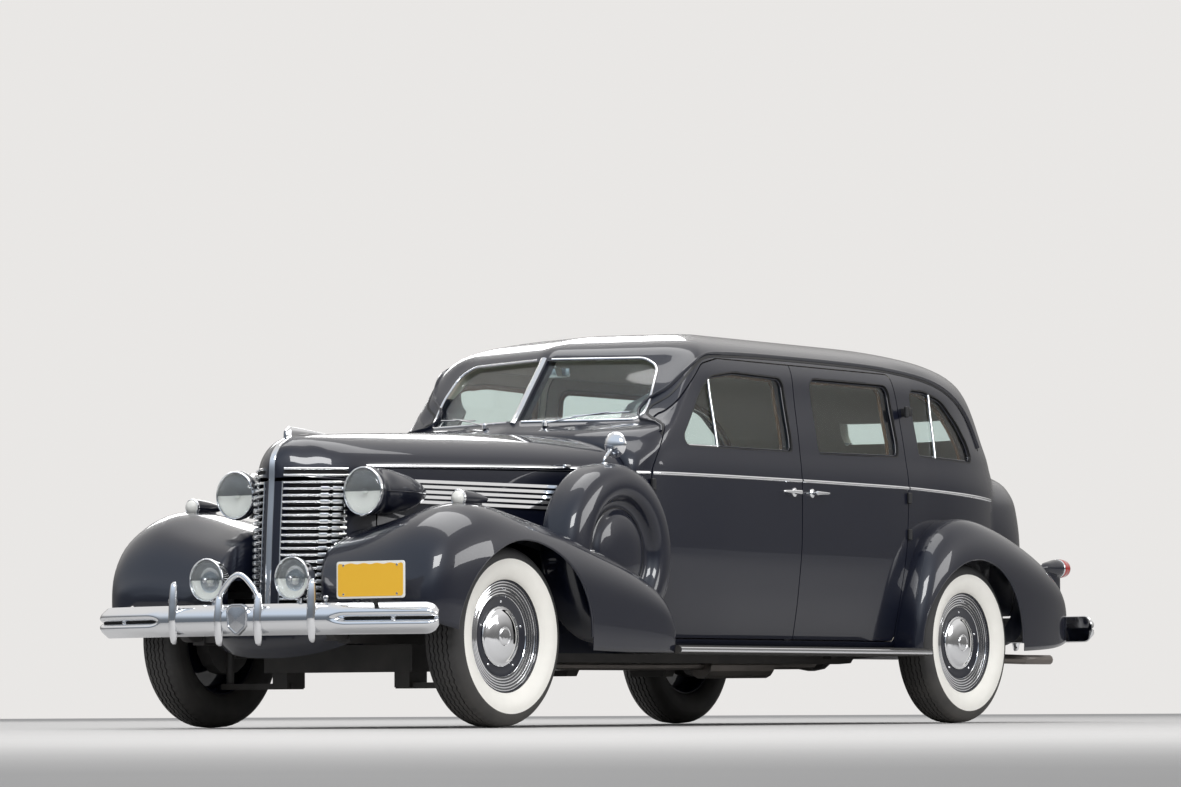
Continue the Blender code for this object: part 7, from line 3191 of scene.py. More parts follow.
@dataclass
class Wheels:
    """Four wheels with wide white sidewalls, bright trim rings and domed caps."""

    shop: Workshop
    sizes: WheelSizes = WheelSizes()

    def tyre_section(self) -> list[tuple[float, float, float]]:
        """The tyre's section, from the outer bead over the tread to the inner bead.

        Returns:
            Radius, place and zigzag share of each point.
        """
        s = self.sizes
        wall = smooth_path(
            [
                (s.bead, 0.060), (0.238, 0.070), (0.262, 0.0865), (0.292, 0.0955), (0.318, 0.0950), (0.342, 0.0885),
                (0.3595, 0.0760),
            ],
            22,
        )
        side: list[tuple[float, float, float]] = [(float(r), float(x), 0.0) for r, x in wall]
        ridge = [i for i, (r, _, _) in enumerate(side) if abs(r - s.wall_top) < 0.004][:1]
        for i in ridge:
            side[i] = (s.wall_top, side[i][1] + 0.0012, 0.0)
        shoulder = [(0.3655, 0.0690, 0.0), (0.3700, 0.0600, 0.2), (0.3722, 0.0540, 0.6)]
        tread: list[tuple[float, float, float]] = []
        for place in (s.tread_half, s.tread_half / 2, 0.0):
            top = s.tread + s.crown * (1 - place / s.tread_half)
            tread += [(top, place + 0.0035, 1.0), (top - s.groove, place + 0.0022, 1.0)]
            if place:
                beside = s.tread + s.shoulder_crown * (1 - place / s.tread_half)
                tread += [(top - s.groove, place - 0.0022, 1.0), (beside, place - 0.0035, 1.0)]
        half = side + shoulder + tread
        other = [(r, -x, z) for r, x, z in reversed(half)]
        return half + other

    def tyre(self) -> Mesh:
        """The tyre with its zigzag grooves and shoulder nicks.

        Returns:
            The shape.
        """
        s = self.sizes
        section = self.tyre_section()
        steps = s.zigzags * 4
        count = len(section)
        points, faces = [], []
        for step in range(steps):
            angle = 2 * pi * step / steps
            wave = (0.0, 1.0, 0.0, -1.0)[step % 4] * s.wave
            nick = 0.0 if step % 4 else s.nick
            for r, x, share in section:
                low = nick if 0.15 < share < 0.9 else 0.0
                out = min(s.radius, r) - low
                points.append((x + wave * (share if share > 0.9 else share * 0.4), out * cos(angle), out * sin(angle)))
        for step in range(steps):
            here, there = step * count, (step + 1) % steps * count
            faces += [[here + i, here + i + 1, there + i + 1, there + i] for i in range(count - 1)]
            faces.append([here + count - 1, here, there, there + count - 1])
        mesh = mesh_of(points, faces)
        for polygon in mesh.polygons:
            centre = polygon.center
            reach = hypot(centre.y, centre.z)
            polygon.material_index = 1 if centre.x > 0.05 and 0.2345 < reach < s.wall_top else 0
        return mesh

    def rim(self) -> Mesh:
        """The painted steel rim and its dished disc, as one closed section.

        Returns:
            The shape.
        """
        s = self.sizes
        front = [
            (0.0, s.dish), (s.cap, s.dish), (s.cap + 0.012, s.dish + 0.001), (0.150, s.dish + 0.004),
            (s.ring_inner, s.dish + 0.007), (0.185, s.dish + 0.006), (0.205, s.dish + 0.004),
            (0.216, s.rim_face - 0.016), (0.2235, s.rim_face - 0.004), (0.2290, s.rim_face + 0.0035),
            (0.2330, s.rim_face + 0.0035), (0.2345, s.rim_face + 0.0005), (0.2325, s.rim_face - 0.0035),
            (0.2270, s.rim_face - 0.010),
        ]
        barrel = [
            (0.222, 0.030), (0.212, 0.020), (0.212, -0.020), (0.222, -0.030), (0.2285, -0.050), (0.2340, -0.0575),
            (0.2325, -0.0600), (0.2260, -0.0590),
        ]
        inner = [
            (0.2200, -0.050), (0.2085, -0.022), (0.2050, 0.012), (0.196, 0.022), (0.150, 0.020), (0.090, 0.014),
            (0.060, 0.014), (0.0, 0.014),
        ]
        return turned(front + barrel + inner, 96)

    def trim_ring(self) -> Mesh:
        """The bright ring with its stepped lines, most of each band near-black as a painted dark reflection.

        Returns:
            The shape.
        """
        s = self.sizes
        face: list[tuple[float, float]] = []
        for i in range(s.trim_lines):
            share = i / s.trim_lines
            r0 = s.ring_outer - (s.ring_outer - s.ring_inner) * share
            width = (s.ring_outer - s.ring_inner) / s.trim_lines
            base = s.rim_face + 0.0005 - 0.013 * share**0.8
            for k in range(6):
                bulge = 0.0024 * sin(pi * (k + 0.15) / 5.3)
                face.append((r0 - width * k / 5.3, base + max(bulge, 0.0) - 0.0026 * k / 5.3))
        face.append((s.ring_inner - 0.001, s.dish + 0.0065))
        back = [(r, x - 0.003) for r, x in reversed(face[::4])]
        mesh = turned(face + back, 96, closed=True)
        width = (s.ring_outer - s.ring_inner) / s.trim_lines
        # Most of each band takes the near-black finish, a painted dark reflection in the chrome; the rest stays bright.
        for polygon in mesh.polygons:
            share = (s.ring_outer - hypot(polygon.center.y, polygon.center.z)) / width % 1.0
            polygon.material_index = 1 if 0.40 < share < 0.97 else 0
        return mesh

    def cap(self) -> Mesh:
        """The domed cap with a rolled edge and a raised middle.

        Returns:
            The shape.
        """
        s = self.sizes
        knots = [
            (s.cap + 0.003, s.dish + 0.0005), (s.cap + 0.0055, s.dish + 0.003), (s.cap + 0.003, s.dish + 0.0065),
            (s.cap - 0.004, s.dish + 0.0085),
        ]
        edge = smooth_path(knots, 12)
        dome = smooth_path(
            [
                (0.112, s.dish + 0.0095), (0.098, s.dish + 0.016), (0.075, s.dish + 0.0220), (0.048, s.dish + 0.0262),
                (0.040, s.dish + 0.0268),
            ],
            20,
        )
        middle = smooth_path(
            [
                (0.037, s.dish + 0.0250), (0.034, s.dish + 0.0272), (0.024, s.dish + 0.0290),
                (0.012, s.dish + 0.0298), (0.0, s.dish + 0.0300),
            ],
            12,
        )
        front = np.vstack([edge, dome, middle])
        profile = [(max(float(r), 0.0), float(x)) for r, x in front]
        profile[-1] = (0.0, profile[-1][1])
        profile += [(0.0, s.dish), (s.cap - 0.004, s.dish)]
        return turned(profile, 96)

    def nibs(self) -> Mesh:
        """Small round heads on the painted band and the valve's stem.

        Returns:
            The shape.
        """
        s = self.sizes
        head = turned([(0.0, 0.005), (0.0035, 0.0045), (0.0055, 0.002), (0.006, -0.002), (0.0, -0.002)], 16)
        parts = []
        for i in range(5):
            angle = 2 * pi * i / 5 + 0.3
            parts.append(moved(head, (s.dish + 0.003, 0.144 * cos(angle), 0.144 * sin(angle))))
        valve = tube(
            [(s.dish + 0.010, 0.0, 0.199), (s.dish + 0.024, 0.0, 0.196), (s.dish + 0.030, 0.0, 0.193)], 0.0035, 10
        )
        return gathered(*parts, valve)

    def build(self) -> None:
        """Places all four wheels."""
        tyre, rim, ring, cap, nibs = self.tyre(), self.rim(), self.trim_ring(), self.cap(), self.nibs()
        for end, track, place in (("front", FRONT_TRACK, -WHEELBASE / 2), ("rear", REAR_TRACK, WHEELBASE / 2)):
            spot = (track / 2, place, TYRE_RADIUS)
            body = f"road_wheel_{end}_{{side}}"
            self.shop.pair(f"{end}_tyre_tread", moved(tyre, spot), ["tyre_rubber", "whitewall"], body, smooth=35)
            self.shop.pair(f"{end}_wheel_rim", moved(rim, spot), "navy_paint", body)
            self.shop.pair(f"{end}_wheel_ring", moved(ring, spot), ["chrome", "ring_groove"], body)
            self.shop.pair(f"{end}_wheel_cap", moved(cap, spot), "chrome", body)
            self.shop.pair(f"{end}_wheel_nibs", moved(nibs, spot), "chrome", body)


# The inside


def rounded_box(
    half: tuple[float, float, float], radius: float, cells: tuple[int, int, int]
) -> tuple[np.ndarray, list[list[int]]]:
    """Points and faces of a box with round edges and an even grid on every face.

    Args:
        half: Half sizes.
        radius: The edges' radius.
        cells: Grid cells along each axis.

    Returns:
        The points and the faces, with points repeated where the six faces meet.
    """
    size = np.array(half)
    points: list[np.ndarray] = []
    faces: list[list[int]] = []
    for axis in range(3):
        first, second = (axis + 1) % 3, (axis + 2) % 3
        across, along = cells[first], cells[second]
        for sign in (-1, 1):
            start = len(points)
            for i in range(across + 1):
                for j in range(along + 1):
                    p = np.zeros(3)
                    p[axis], p[first], p[second] = sign, -1 + 2 * i / across, -1 + 2 * j / along
                    p *= size
                    core = np.clip(p, -(size - radius), size - radius)
                    out = p - core
                    points.append(core + out / np.linalg.norm(out) * radius)
            for i in range(across):
                for j in range(along):
                    a = start + i * (along + 1) + j
                    faces.append([a, a + 1, a + along + 2, a + along + 1])
    return np.array(points), faces


@dataclass(frozen=True)
class Cushion:
    """A padded form: crowned, with sewn channels, its sides pulled in between the corners."""

    centre: Point
    half: tuple[float, float, float]
    radius: float
    crown: float
    channels: int
    depth: float
    lean: float = 0.0
    splits: tuple[float, ...] = ()

    def mesh(self) -> Mesh:
        """The cushion's mesh. Z is its padded side and X runs along it, before it leans back.

        Returns:
            The shape.
        """
        cells = (self.channels * 10 if self.channels else 90, 34, 12)
        points, faces = rounded_box(self.half, self.radius, cells)
        hx, hy, hz = self.half
        u, v, w = points[:, 0] / hx, points[:, 1] / hy, points[:, 2] / hz
        up = np.clip(w * 0.5 + 0.5, 0, 1)
        dome = np.clip(1 - np.abs(u) ** 6, 0, 1) * np.clip(1 - np.abs(v) ** 2.6, 0, 1)
        points[:, 2] += self.crown * dome * up**2
        pull = np.clip(1 - np.abs(w) ** 2, 0, 1)
        points[:, 0] -= np.sign(u) * 0.006 * pull * (np.abs(u) > 0.97) * np.cos(v * pi / 2)
        points[:, 1] -= np.sign(v) * 0.008 * pull * (np.abs(v) > 0.9) * np.cos(u * pi / 2)
        if self.channels:
            phase = (u + 1) / 2 * self.channels
            near = np.abs(phase - np.round(phase)) * 2 * hx / self.channels
            inner = (np.round(phase) > 0.5) & (np.round(phase) < self.channels - 0.5)
            groove = np.exp(-((near / 0.007) ** 2)) * inner
            swell = np.sin(np.clip(phase % 1.0, 0, 1) * pi) ** 0.7 * 0.005
            face = np.clip((w - 0.2) / 0.5, 0, 1) * np.clip((0.97 - np.abs(v)) / 0.08, 0, 1)
            points[:, 2] += (swell - groove * self.depth) * face
            front = np.clip((v < -0.8) * (1 - face), 0, 1) * np.clip((w + 0.6) / 0.4, 0, 1)
            points[:, 1] += groove * self.depth * 0.6 * front
        for place in self.splits:
            near = np.abs(points[:, 0] - place)
            points[:, 2] -= np.exp(-((near / 0.009) ** 2)) * 0.014 * up
        turn = np.array(Matrix.Rotation(radians(self.lean), 3, "X"))
        points = points @ turn.T + np.array(self.centre)
        return mesh_of(points, faces, 2e-5)

    def piping(self) -> Mesh:
        """The welt that is sewn round the padded side.

        Returns:
            The shape.
        """
        hx, hy, hz = self.half
        corner = self.radius * 0.9
        ring = rounded(
            [
                (-hx + 0.004, -hy + 0.004), (hx - 0.004, -hy + 0.004), (hx - 0.004, hy - 0.004),
                (-hx + 0.004, hy - 0.004),
            ],
            corner, 6,
        )
        turn = Matrix.Rotation(radians(self.lean), 3, "X")
        path = [turn @ Vector((x, y, hz - self.radius * 0.42)) + Vector(self.centre) for x, y in dense(ring, 0.03)]
        return tube(path, 0.0042, 8, closed=True)


@dataclass
class Seats:
    """Front bench and rear seat, in plain wool cloth with sewn channels."""

    shop: Workshop
    front_cushion: Cushion = Cushion((0, 0.279, 0.630), (0.622, 0.262, 0.072), 0.045, 0.016, 14, 0.012)
    front_back: Cushion = Cushion((0, 0.610, 0.905), (0.622, 0.285, 0.050), 0.040, 0.010, 14, 0.010, lean=-101.5)
    rear_cushion: Cushion = Cushion((0, 1.425, 0.700), (0.582, 0.305, 0.098), 0.060, 0.020, 13, 0.012)
    rear_back: Cushion = Cushion((0, 1.905, 1.000), (0.582, 0.285, 0.072), 0.055, 0.012, 13, 0.010, lean=-107.0)

    def build(self) -> None:
        """Builds the cushions, their welts, plinths and the front seat's cloth back."""
        for name, cushion, fill in (
            ("front_cushion", self.front_cushion, 0.75),
            ("front_backrest", self.front_back, 0.75),
            ("rear_cushion", self.rear_cushion, 0.7),
            ("rear_backrest", self.rear_back, 0.7),
        ):
            piece = self.shop.add(name, cushion.mesh(), "wool_cloth", smooth=70)
            self.shop.add(f"{name}_welt", cushion.piping(), "door_cloth", smooth=60)
        plinth = block((-0.600, 0.600), (0.06, 0.50), (0.378, 0.562), 0.012)
        self.shop.add("front_seat_plinth", plinth, "door_cloth")
        outline = [(0.560, 0.520), (0.604, 0.520), (0.700, 1.150), (0.690, 1.188), (0.668, 1.196), (0.655, 1.180)]
        board = slab(outline, 0.008, -0.615, 0.615, "X", 0.006)
        self.shop.add("front_seat_backboard", board, "door_cloth")
        rail = tube(
            smooth_path(
                [
                    (-0.50, 0.716, 1.02), (-0.50, 0.738, 1.03), (-0.45, 0.752, 1.035), (0, 0.757, 1.035),
                    (0.45, 0.752, 1.035), (0.50, 0.738, 1.03), (0.50, 0.716, 1.02),
                ],
                60,
            ),
            0.0085, 12,
        )
        self.shop.add("robe_rail", rail, "chrome")
        plinth = block((-0.560, 0.560), (1.15, 1.70), (0.547, 0.640), 0.012)
        self.shop.add("rear_seat_plinth", plinth, "door_cloth")
        arms = block((0.560, 0.615), (1.32, 1.83), (0.760, 0.905), 0.024)
        self.shop.pair("rear_armrest", arms, "wool_cloth")


@dataclass
class Dashboard:
    """Dashboard with dials, radio grille and glove box, the steering column and wheel, and the pedals."""

    shop: Workshop
    hub: Point = (0.360, -0.170, 1.110)
    tilt: float = 24.0
    rim: float = 0.2155

    def along(self, distance: float, side: float = 0.0, up: float = 0.0) -> Vector:
        """A point measured from the steering wheel's hub along, across and square to its axis.

        Args:
            distance: How far along the axis.
            side: How far across the axis.
            up: How far square to both.

        Returns:
            The point.
        """
        tilt = radians(self.tilt)
        axis, square = Vector((0, cos(tilt), sin(tilt))), Vector((0, -sin(tilt), cos(tilt)))
        return Vector(self.hub) + axis * distance + Vector((side, 0, 0)) + square * up

    def build(self) -> None:
        """Builds the dashboard and what belongs to it."""
        self.board()
        self.dials()
        self.column()
        self.wheel()
        self.controls()

    def board(self) -> None:
        """The dashboard's panel with a rolled top."""
        section = [
            (-0.640, 1.020), (-0.500, 1.026), (-0.482, 1.034), (-0.4775, 1.060), (-0.4775, 1.130), (-0.482, 1.160),
            (-0.498, 1.178), (-0.530, 1.1835), (-0.640, 1.172),
        ]
        rings = []
        for x in np.linspace(-0.498, 0.498, 61):
            bow = 0.030 * abs(x / 0.5) ** 3
            drop = 1.0 if abs(x) < 0.485 else 0.985
            rings.append(
                np.array(
                    [(x, y - bow if y > -0.6 else y, 1.02 + (z - 1.02) * drop) for y, z in smooth_path(section, 40)]
                )
            )
        self.shop.add("dash_panel", loft(rings), "wood_grain", smooth=50)
        strip = []
        for height in (1.048, 1.140):
            path = [(x, -0.4768 - 0.030 * abs(x / 0.5) ** 3, height) for x in np.linspace(-0.48, 0.48, 50)]
            strip.append(tube(path, 0.0022, 8))
        for x in np.linspace(-0.052, 0.052, 9):
            strip.append(block((x - 0.0028, x + 0.0028), (-0.482, -0.4745), (1.056, 1.132), 0.001))
        self.shop.add("dash_brightwork", gathered(*strip), "chrome")
        lid = rounded([(-0.400, 1.058), (-0.170, 1.058), (-0.170, 1.130), (-0.400, 1.130)], 0.010)
        door = prism(lid, -0.4850, -0.4762, "Y")
        knob = facing_front(
            turned([(0.0, -0.004), (0.009, 0.0), (0.011, 0.006), (0.006, 0.012), (0.0, 0.012)], 20),
            (-0.285, -0.472, 1.118),
        )
        self.shop.add("glove_door", softened(door, 0.002, 2), "wood_grain")
        self.shop.add("glove_knob", knob, "ivory")

    def dials(self) -> None:
        """Three round dials in front of the driver."""
        for name, x, size in (("speed_dial", 0.340, 0.040), ("gauge_dial", 0.235, 0.032), ("fuel_dial", 0.440, 0.030)):
            y = -0.4765 - 0.030 * abs(x / 0.5) ** 3
            spot = (x, y, 1.094)
            rim = turned([(size + 0.004 * cos(a), -0.003 + 0.005 * sin(a)) for a in turns(12)], 40, closed=True)
            face = turned([(0.0, -0.002), (size, -0.002), (size, 0.003), (0.0, 0.003)], 40)
            flip = TO_REAR
            self.shop.add(f"{name}_rim", moved(rim, spot, flip), "chrome")
            self.shop.add(f"{name}_face", moved(face, (x, y + 0.001, 1.094), flip), "dial_face")
            marks = []
            for i in range(13):
                angle = radians(-30 + 20 * i)
                tick = block((size * 0.80, size * 0.95), (0.0020, 0.0035), (-0.0008, 0.0008))
                marks.append(moved(tick, (x, y + 0.0015, 1.094), Matrix.Rotation(-angle, 4, "Y")))
            hand = block((-0.004, size * 0.75), (0.0030, 0.0042), (-0.0010, 0.0010))
            marks.append(moved(hand, (x, y + 0.0020, 1.094), Matrix.Rotation(radians(-140), 4, "Y")))
            self.shop.add(f"{name}_marks", gathered(*marks), "black_rubber")

    def column(self) -> None:
        """The steering column."""
        self.shop.add(
            "column_tube", tube([self.along(-0.030), self.along(-0.25), self.along(-0.505)], 0.024, 24),
            "black_rubber",
        )
        collar = [
            (0.024, 0.0), (0.031, 0.002), (0.033, 0.012), (0.033, 0.040), (0.027, 0.052), (0.0, 0.052), (0.0, 0.0)
        ]
        turn = Matrix.Rotation(radians(self.tilt), 4, "X") @ TO_REAR
        self.shop.add("column_collar", moved(turned(collar, 32), self.along(-0.094), turn), "chrome")

    def wheel(self) -> None:
        """The ivory steering wheel with its finger grips, spokes, horn ring and button."""
        rim = []
        for i in range(96):
            angle = 2 * pi * i / 96
            rim.append(self.along(0.0, self.rim * cos(angle), self.rim * sin(angle)))
        ups = [(p - Vector(self.hub)).normalized() for p in rim]
        scales = [1.0 + 0.05 * cos(12 * pi * i / 24) for i in range(96)]
        torus = swept(rim, ring_section(0.0108, 14), True, ups, scales)
        self.shop.add("steering_rim", torus, "ivory", "steering_wheel")
        spokes = []
        for angle in (90, 210, 330):
            for offset in (-0.010, 0.0, 0.010):
                a = radians(angle)
                across = Vector((-sin(a), cos(a)))
                inner = (0.030 * cos(a) + across.x * offset, 0.030 * sin(a) + across.y * offset)
                outer = (self.rim * cos(a) + across.x * offset, self.rim * sin(a) + across.y * offset)
                path = [
                    self.along(-0.024, *inner),
                    self.along(-0.018, (inner[0] + outer[0]) / 2, (inner[1] + outer[1]) / 2), self.along(0.0, *outer),
                ]
                spokes.append(tube(smooth_path(path, 14), 0.0028, 8))
        self.shop.add("steering_spokes", gathered(*spokes), "chrome", "steering_wheel")
        turn = Matrix.Rotation(radians(self.tilt), 4, "X") @ TO_REAR
        hub = [
            (0.0, -0.036), (0.028, -0.036), (0.034, -0.026), (0.036, -0.014), (0.033, -0.006), (0.024, 0.0),
            (0.012, 0.003), (0.0, 0.004),
        ]
        self.shop.add("steering_hub", moved(turned(hub, 40), self.hub, turn), "ivory", "steering_wheel")
        ring = [self.along(-0.004, 0.105 * cos(a), 0.105 * sin(a)) for a in turns(64)]
        self.shop.add("horn_ring", tube(ring, 0.0030, 8, closed=True), "chrome", "steering_wheel")

    def controls(self) -> None:
        """Pedals and gear lever. None has a joint."""
        pads, arms = [], []
        for x in (0.445, 0.325):
            pad = slab(
                [(x - 0.030, -0.035), (x + 0.030, -0.035), (x + 0.030, 0.035), (x - 0.030, 0.035)], 0.014, -0.006,
                0.006, "Z", 0.002,
            )
            tilt = Matrix.Rotation(radians(52), 4, "X")
            pads.append(moved(pad, (0, -0.500, 0.560), tilt))
            arms.append(
                tube(
                    smooth_path([(x, -0.508, 0.552), (x, -0.560, 0.530), (x, -0.615, 0.455), (x, -0.640, 0.400)], 14),
                    0.008, 10,
                )
            )
        gas = slab([(0.205, -0.085), (0.245, -0.085), (0.255, 0.085), (0.200, 0.085)], 0.010, -0.005, 0.005, "Z", 0.002)
        pads.append(moved(gas, (0, -0.545, 0.470), Matrix.Rotation(radians(48), 4, "X")))
        self.shop.add("pedal_pads", gathered(*pads), "black_rubber")
        arms.append(tube([(0.225, -0.555, 0.462), (0.225, -0.600, 0.425), (0.225, -0.638, 0.410)], 0.006, 10))
        self.shop.add("pedal_arms", gathered(*arms), "dull_steel")
        lever = tube(
            smooth_path([(0.02, -0.20, 0.385), (0.02, -0.19, 0.55), (0.03, -0.15, 0.72), (0.05, -0.10, 0.80)], 24),
            0.0075, 12,
        )
        knob = moved(
            turned(
                [(0.0, -0.022), (0.012, -0.020), (0.020, -0.010), (0.022, 0.004), (0.017, 0.016), (0.0, 0.022)], 28
            ),
            (0.052, -0.095, 0.812), UPRIGHT,
        )
        boot = moved(
            turned([(0.055, 0.0), (0.050, 0.010), (0.030, 0.030), (0.014, 0.060), (0.009, 0.075), (0.0, 0.075)], 28),
            (0.02, -0.20, 0.384), UPRIGHT,
        )
        self.shop.add("gear_lever", lever, "chrome")
        self.shop.add("gear_knob", knob, "ivory")
        self.shop.add("gear_boot", boot, "black_rubber")


@dataclass
class CabinTrim:
    """Carpets, window garnish and the small fittings of the inside."""

    shop: Workshop
    lay: Mouldings

    def build(self) -> None:
        """Builds the inside's trim."""
        front = slab(
            [(-0.665, -0.610), (0.665, -0.610), (0.700, 0.0), (0.700, 1.100), (-0.700, 1.100), (-0.700, 0.0)], 0.03,
            0.3765, 0.3835, "Z", 0.002,
        )
        self.shop.add("front_carpet", front, "carpet")
        toe = softened(
            prism(
                [(-0.640, 0.384), (-0.630, 0.384), (-0.505, 0.384), (-0.632, 0.560), (-0.642, 0.560)], -0.62, 0.62,
                "X",
            ),
            0.004, 2,
        )
        self.shop.add("toe_board", toe, "carpet")
        rear = slab([(-0.600, 1.43), (0.600, 1.43), (0.600, 1.70), (-0.600, 1.70)], 0.02, 0.5465, 0.5530, "Z", 0.002)
        self.shop.add("rear_carpet", rear, "carpet")
        for name, rows, body in (
            ("door_front", Opening.FRONT_WINDOW, "door_front_{side}"),
            ("door_rear", Opening.REAR_WINDOW, "door_rear_{side}"),
            ("quarter", Opening.QUARTER_WINDOW, "car_body"),
        ):
            outline = rows.curve(-0.006, 0.03)
            garnish = self.lay.laid(
                outline, [(0.0, -0.015), (-0.012, -0.014), (-0.017, -0.004), (-0.014, 0.010), (0.0, 0.012)], 0.0545,
                closed=True,
            )
            self.shop.pair(f"{name}_garnish", garnish, "wood_grain", body)
        self.door_fittings()
        self.mirror()

    def door_fittings(self) -> None:
        """Window winders and arm rests."""
        for name, y, sign in (("door_front", -0.10, 1), ("door_rear", 0.95, -1)):
            hit, _ = self.lay.on_cabin(y, 0.90)
            inner = hit.x - WALL - 0.001
            disc = moved(
                turned([(0.0, 0.0), (0.022, 0.0), (0.020, -0.006), (0.010, -0.012), (0.0, -0.013)], 28),
                (inner, y, 0.90),
            )
            arm = tube(
                [
                    (inner - 0.012, y, 0.90), (inner - 0.020, y + sign * 0.04, 0.885),
                    (inner - 0.026, y + sign * 0.085, 0.872),
                ],
                0.0055, 10,
            )
            grip = moved(
                turned([(0.0, 0.0), (0.008, 0.0), (0.011, -0.014), (0.009, -0.030), (0.0, -0.032)], 20),
                (inner - 0.026, y + sign * 0.085, 0.872),
            )
            self.shop.pair(f"{name}_winder", gathered(disc, arm, grip), "chrome", f"{name}_{{side}}")
            rest = block(
                (inner - 0.055, inner + 0.002), (y - 0.02 + sign * 0.20 - 0.13, y - 0.02 + sign * 0.20 + 0.13),
                (0.770, 0.815), 0.016,
            )
            self.shop.pair(f"{name}_armrest", rest, "wool_cloth", f"{name}_{{side}}")

    def mirror(self) -> None:
        """The inside mirror on its stem."""
        glass = slab(
            [(-0.085, 1.560), (0.085, 1.560), (0.080, 1.605), (-0.080, 1.605)], 0.014, -0.300, -0.290, "Y", 0.003
        )
        self.shop.add("inside_mirror", glass, "mirror_silver")
        self.shop.add(
            "inside_mirror_stem", tube([(0, -0.295, 1.600), (0, -0.310, 1.625), (0, -0.318, 1.645)], 0.005, 10),
            "chrome",
        )


# Underneath


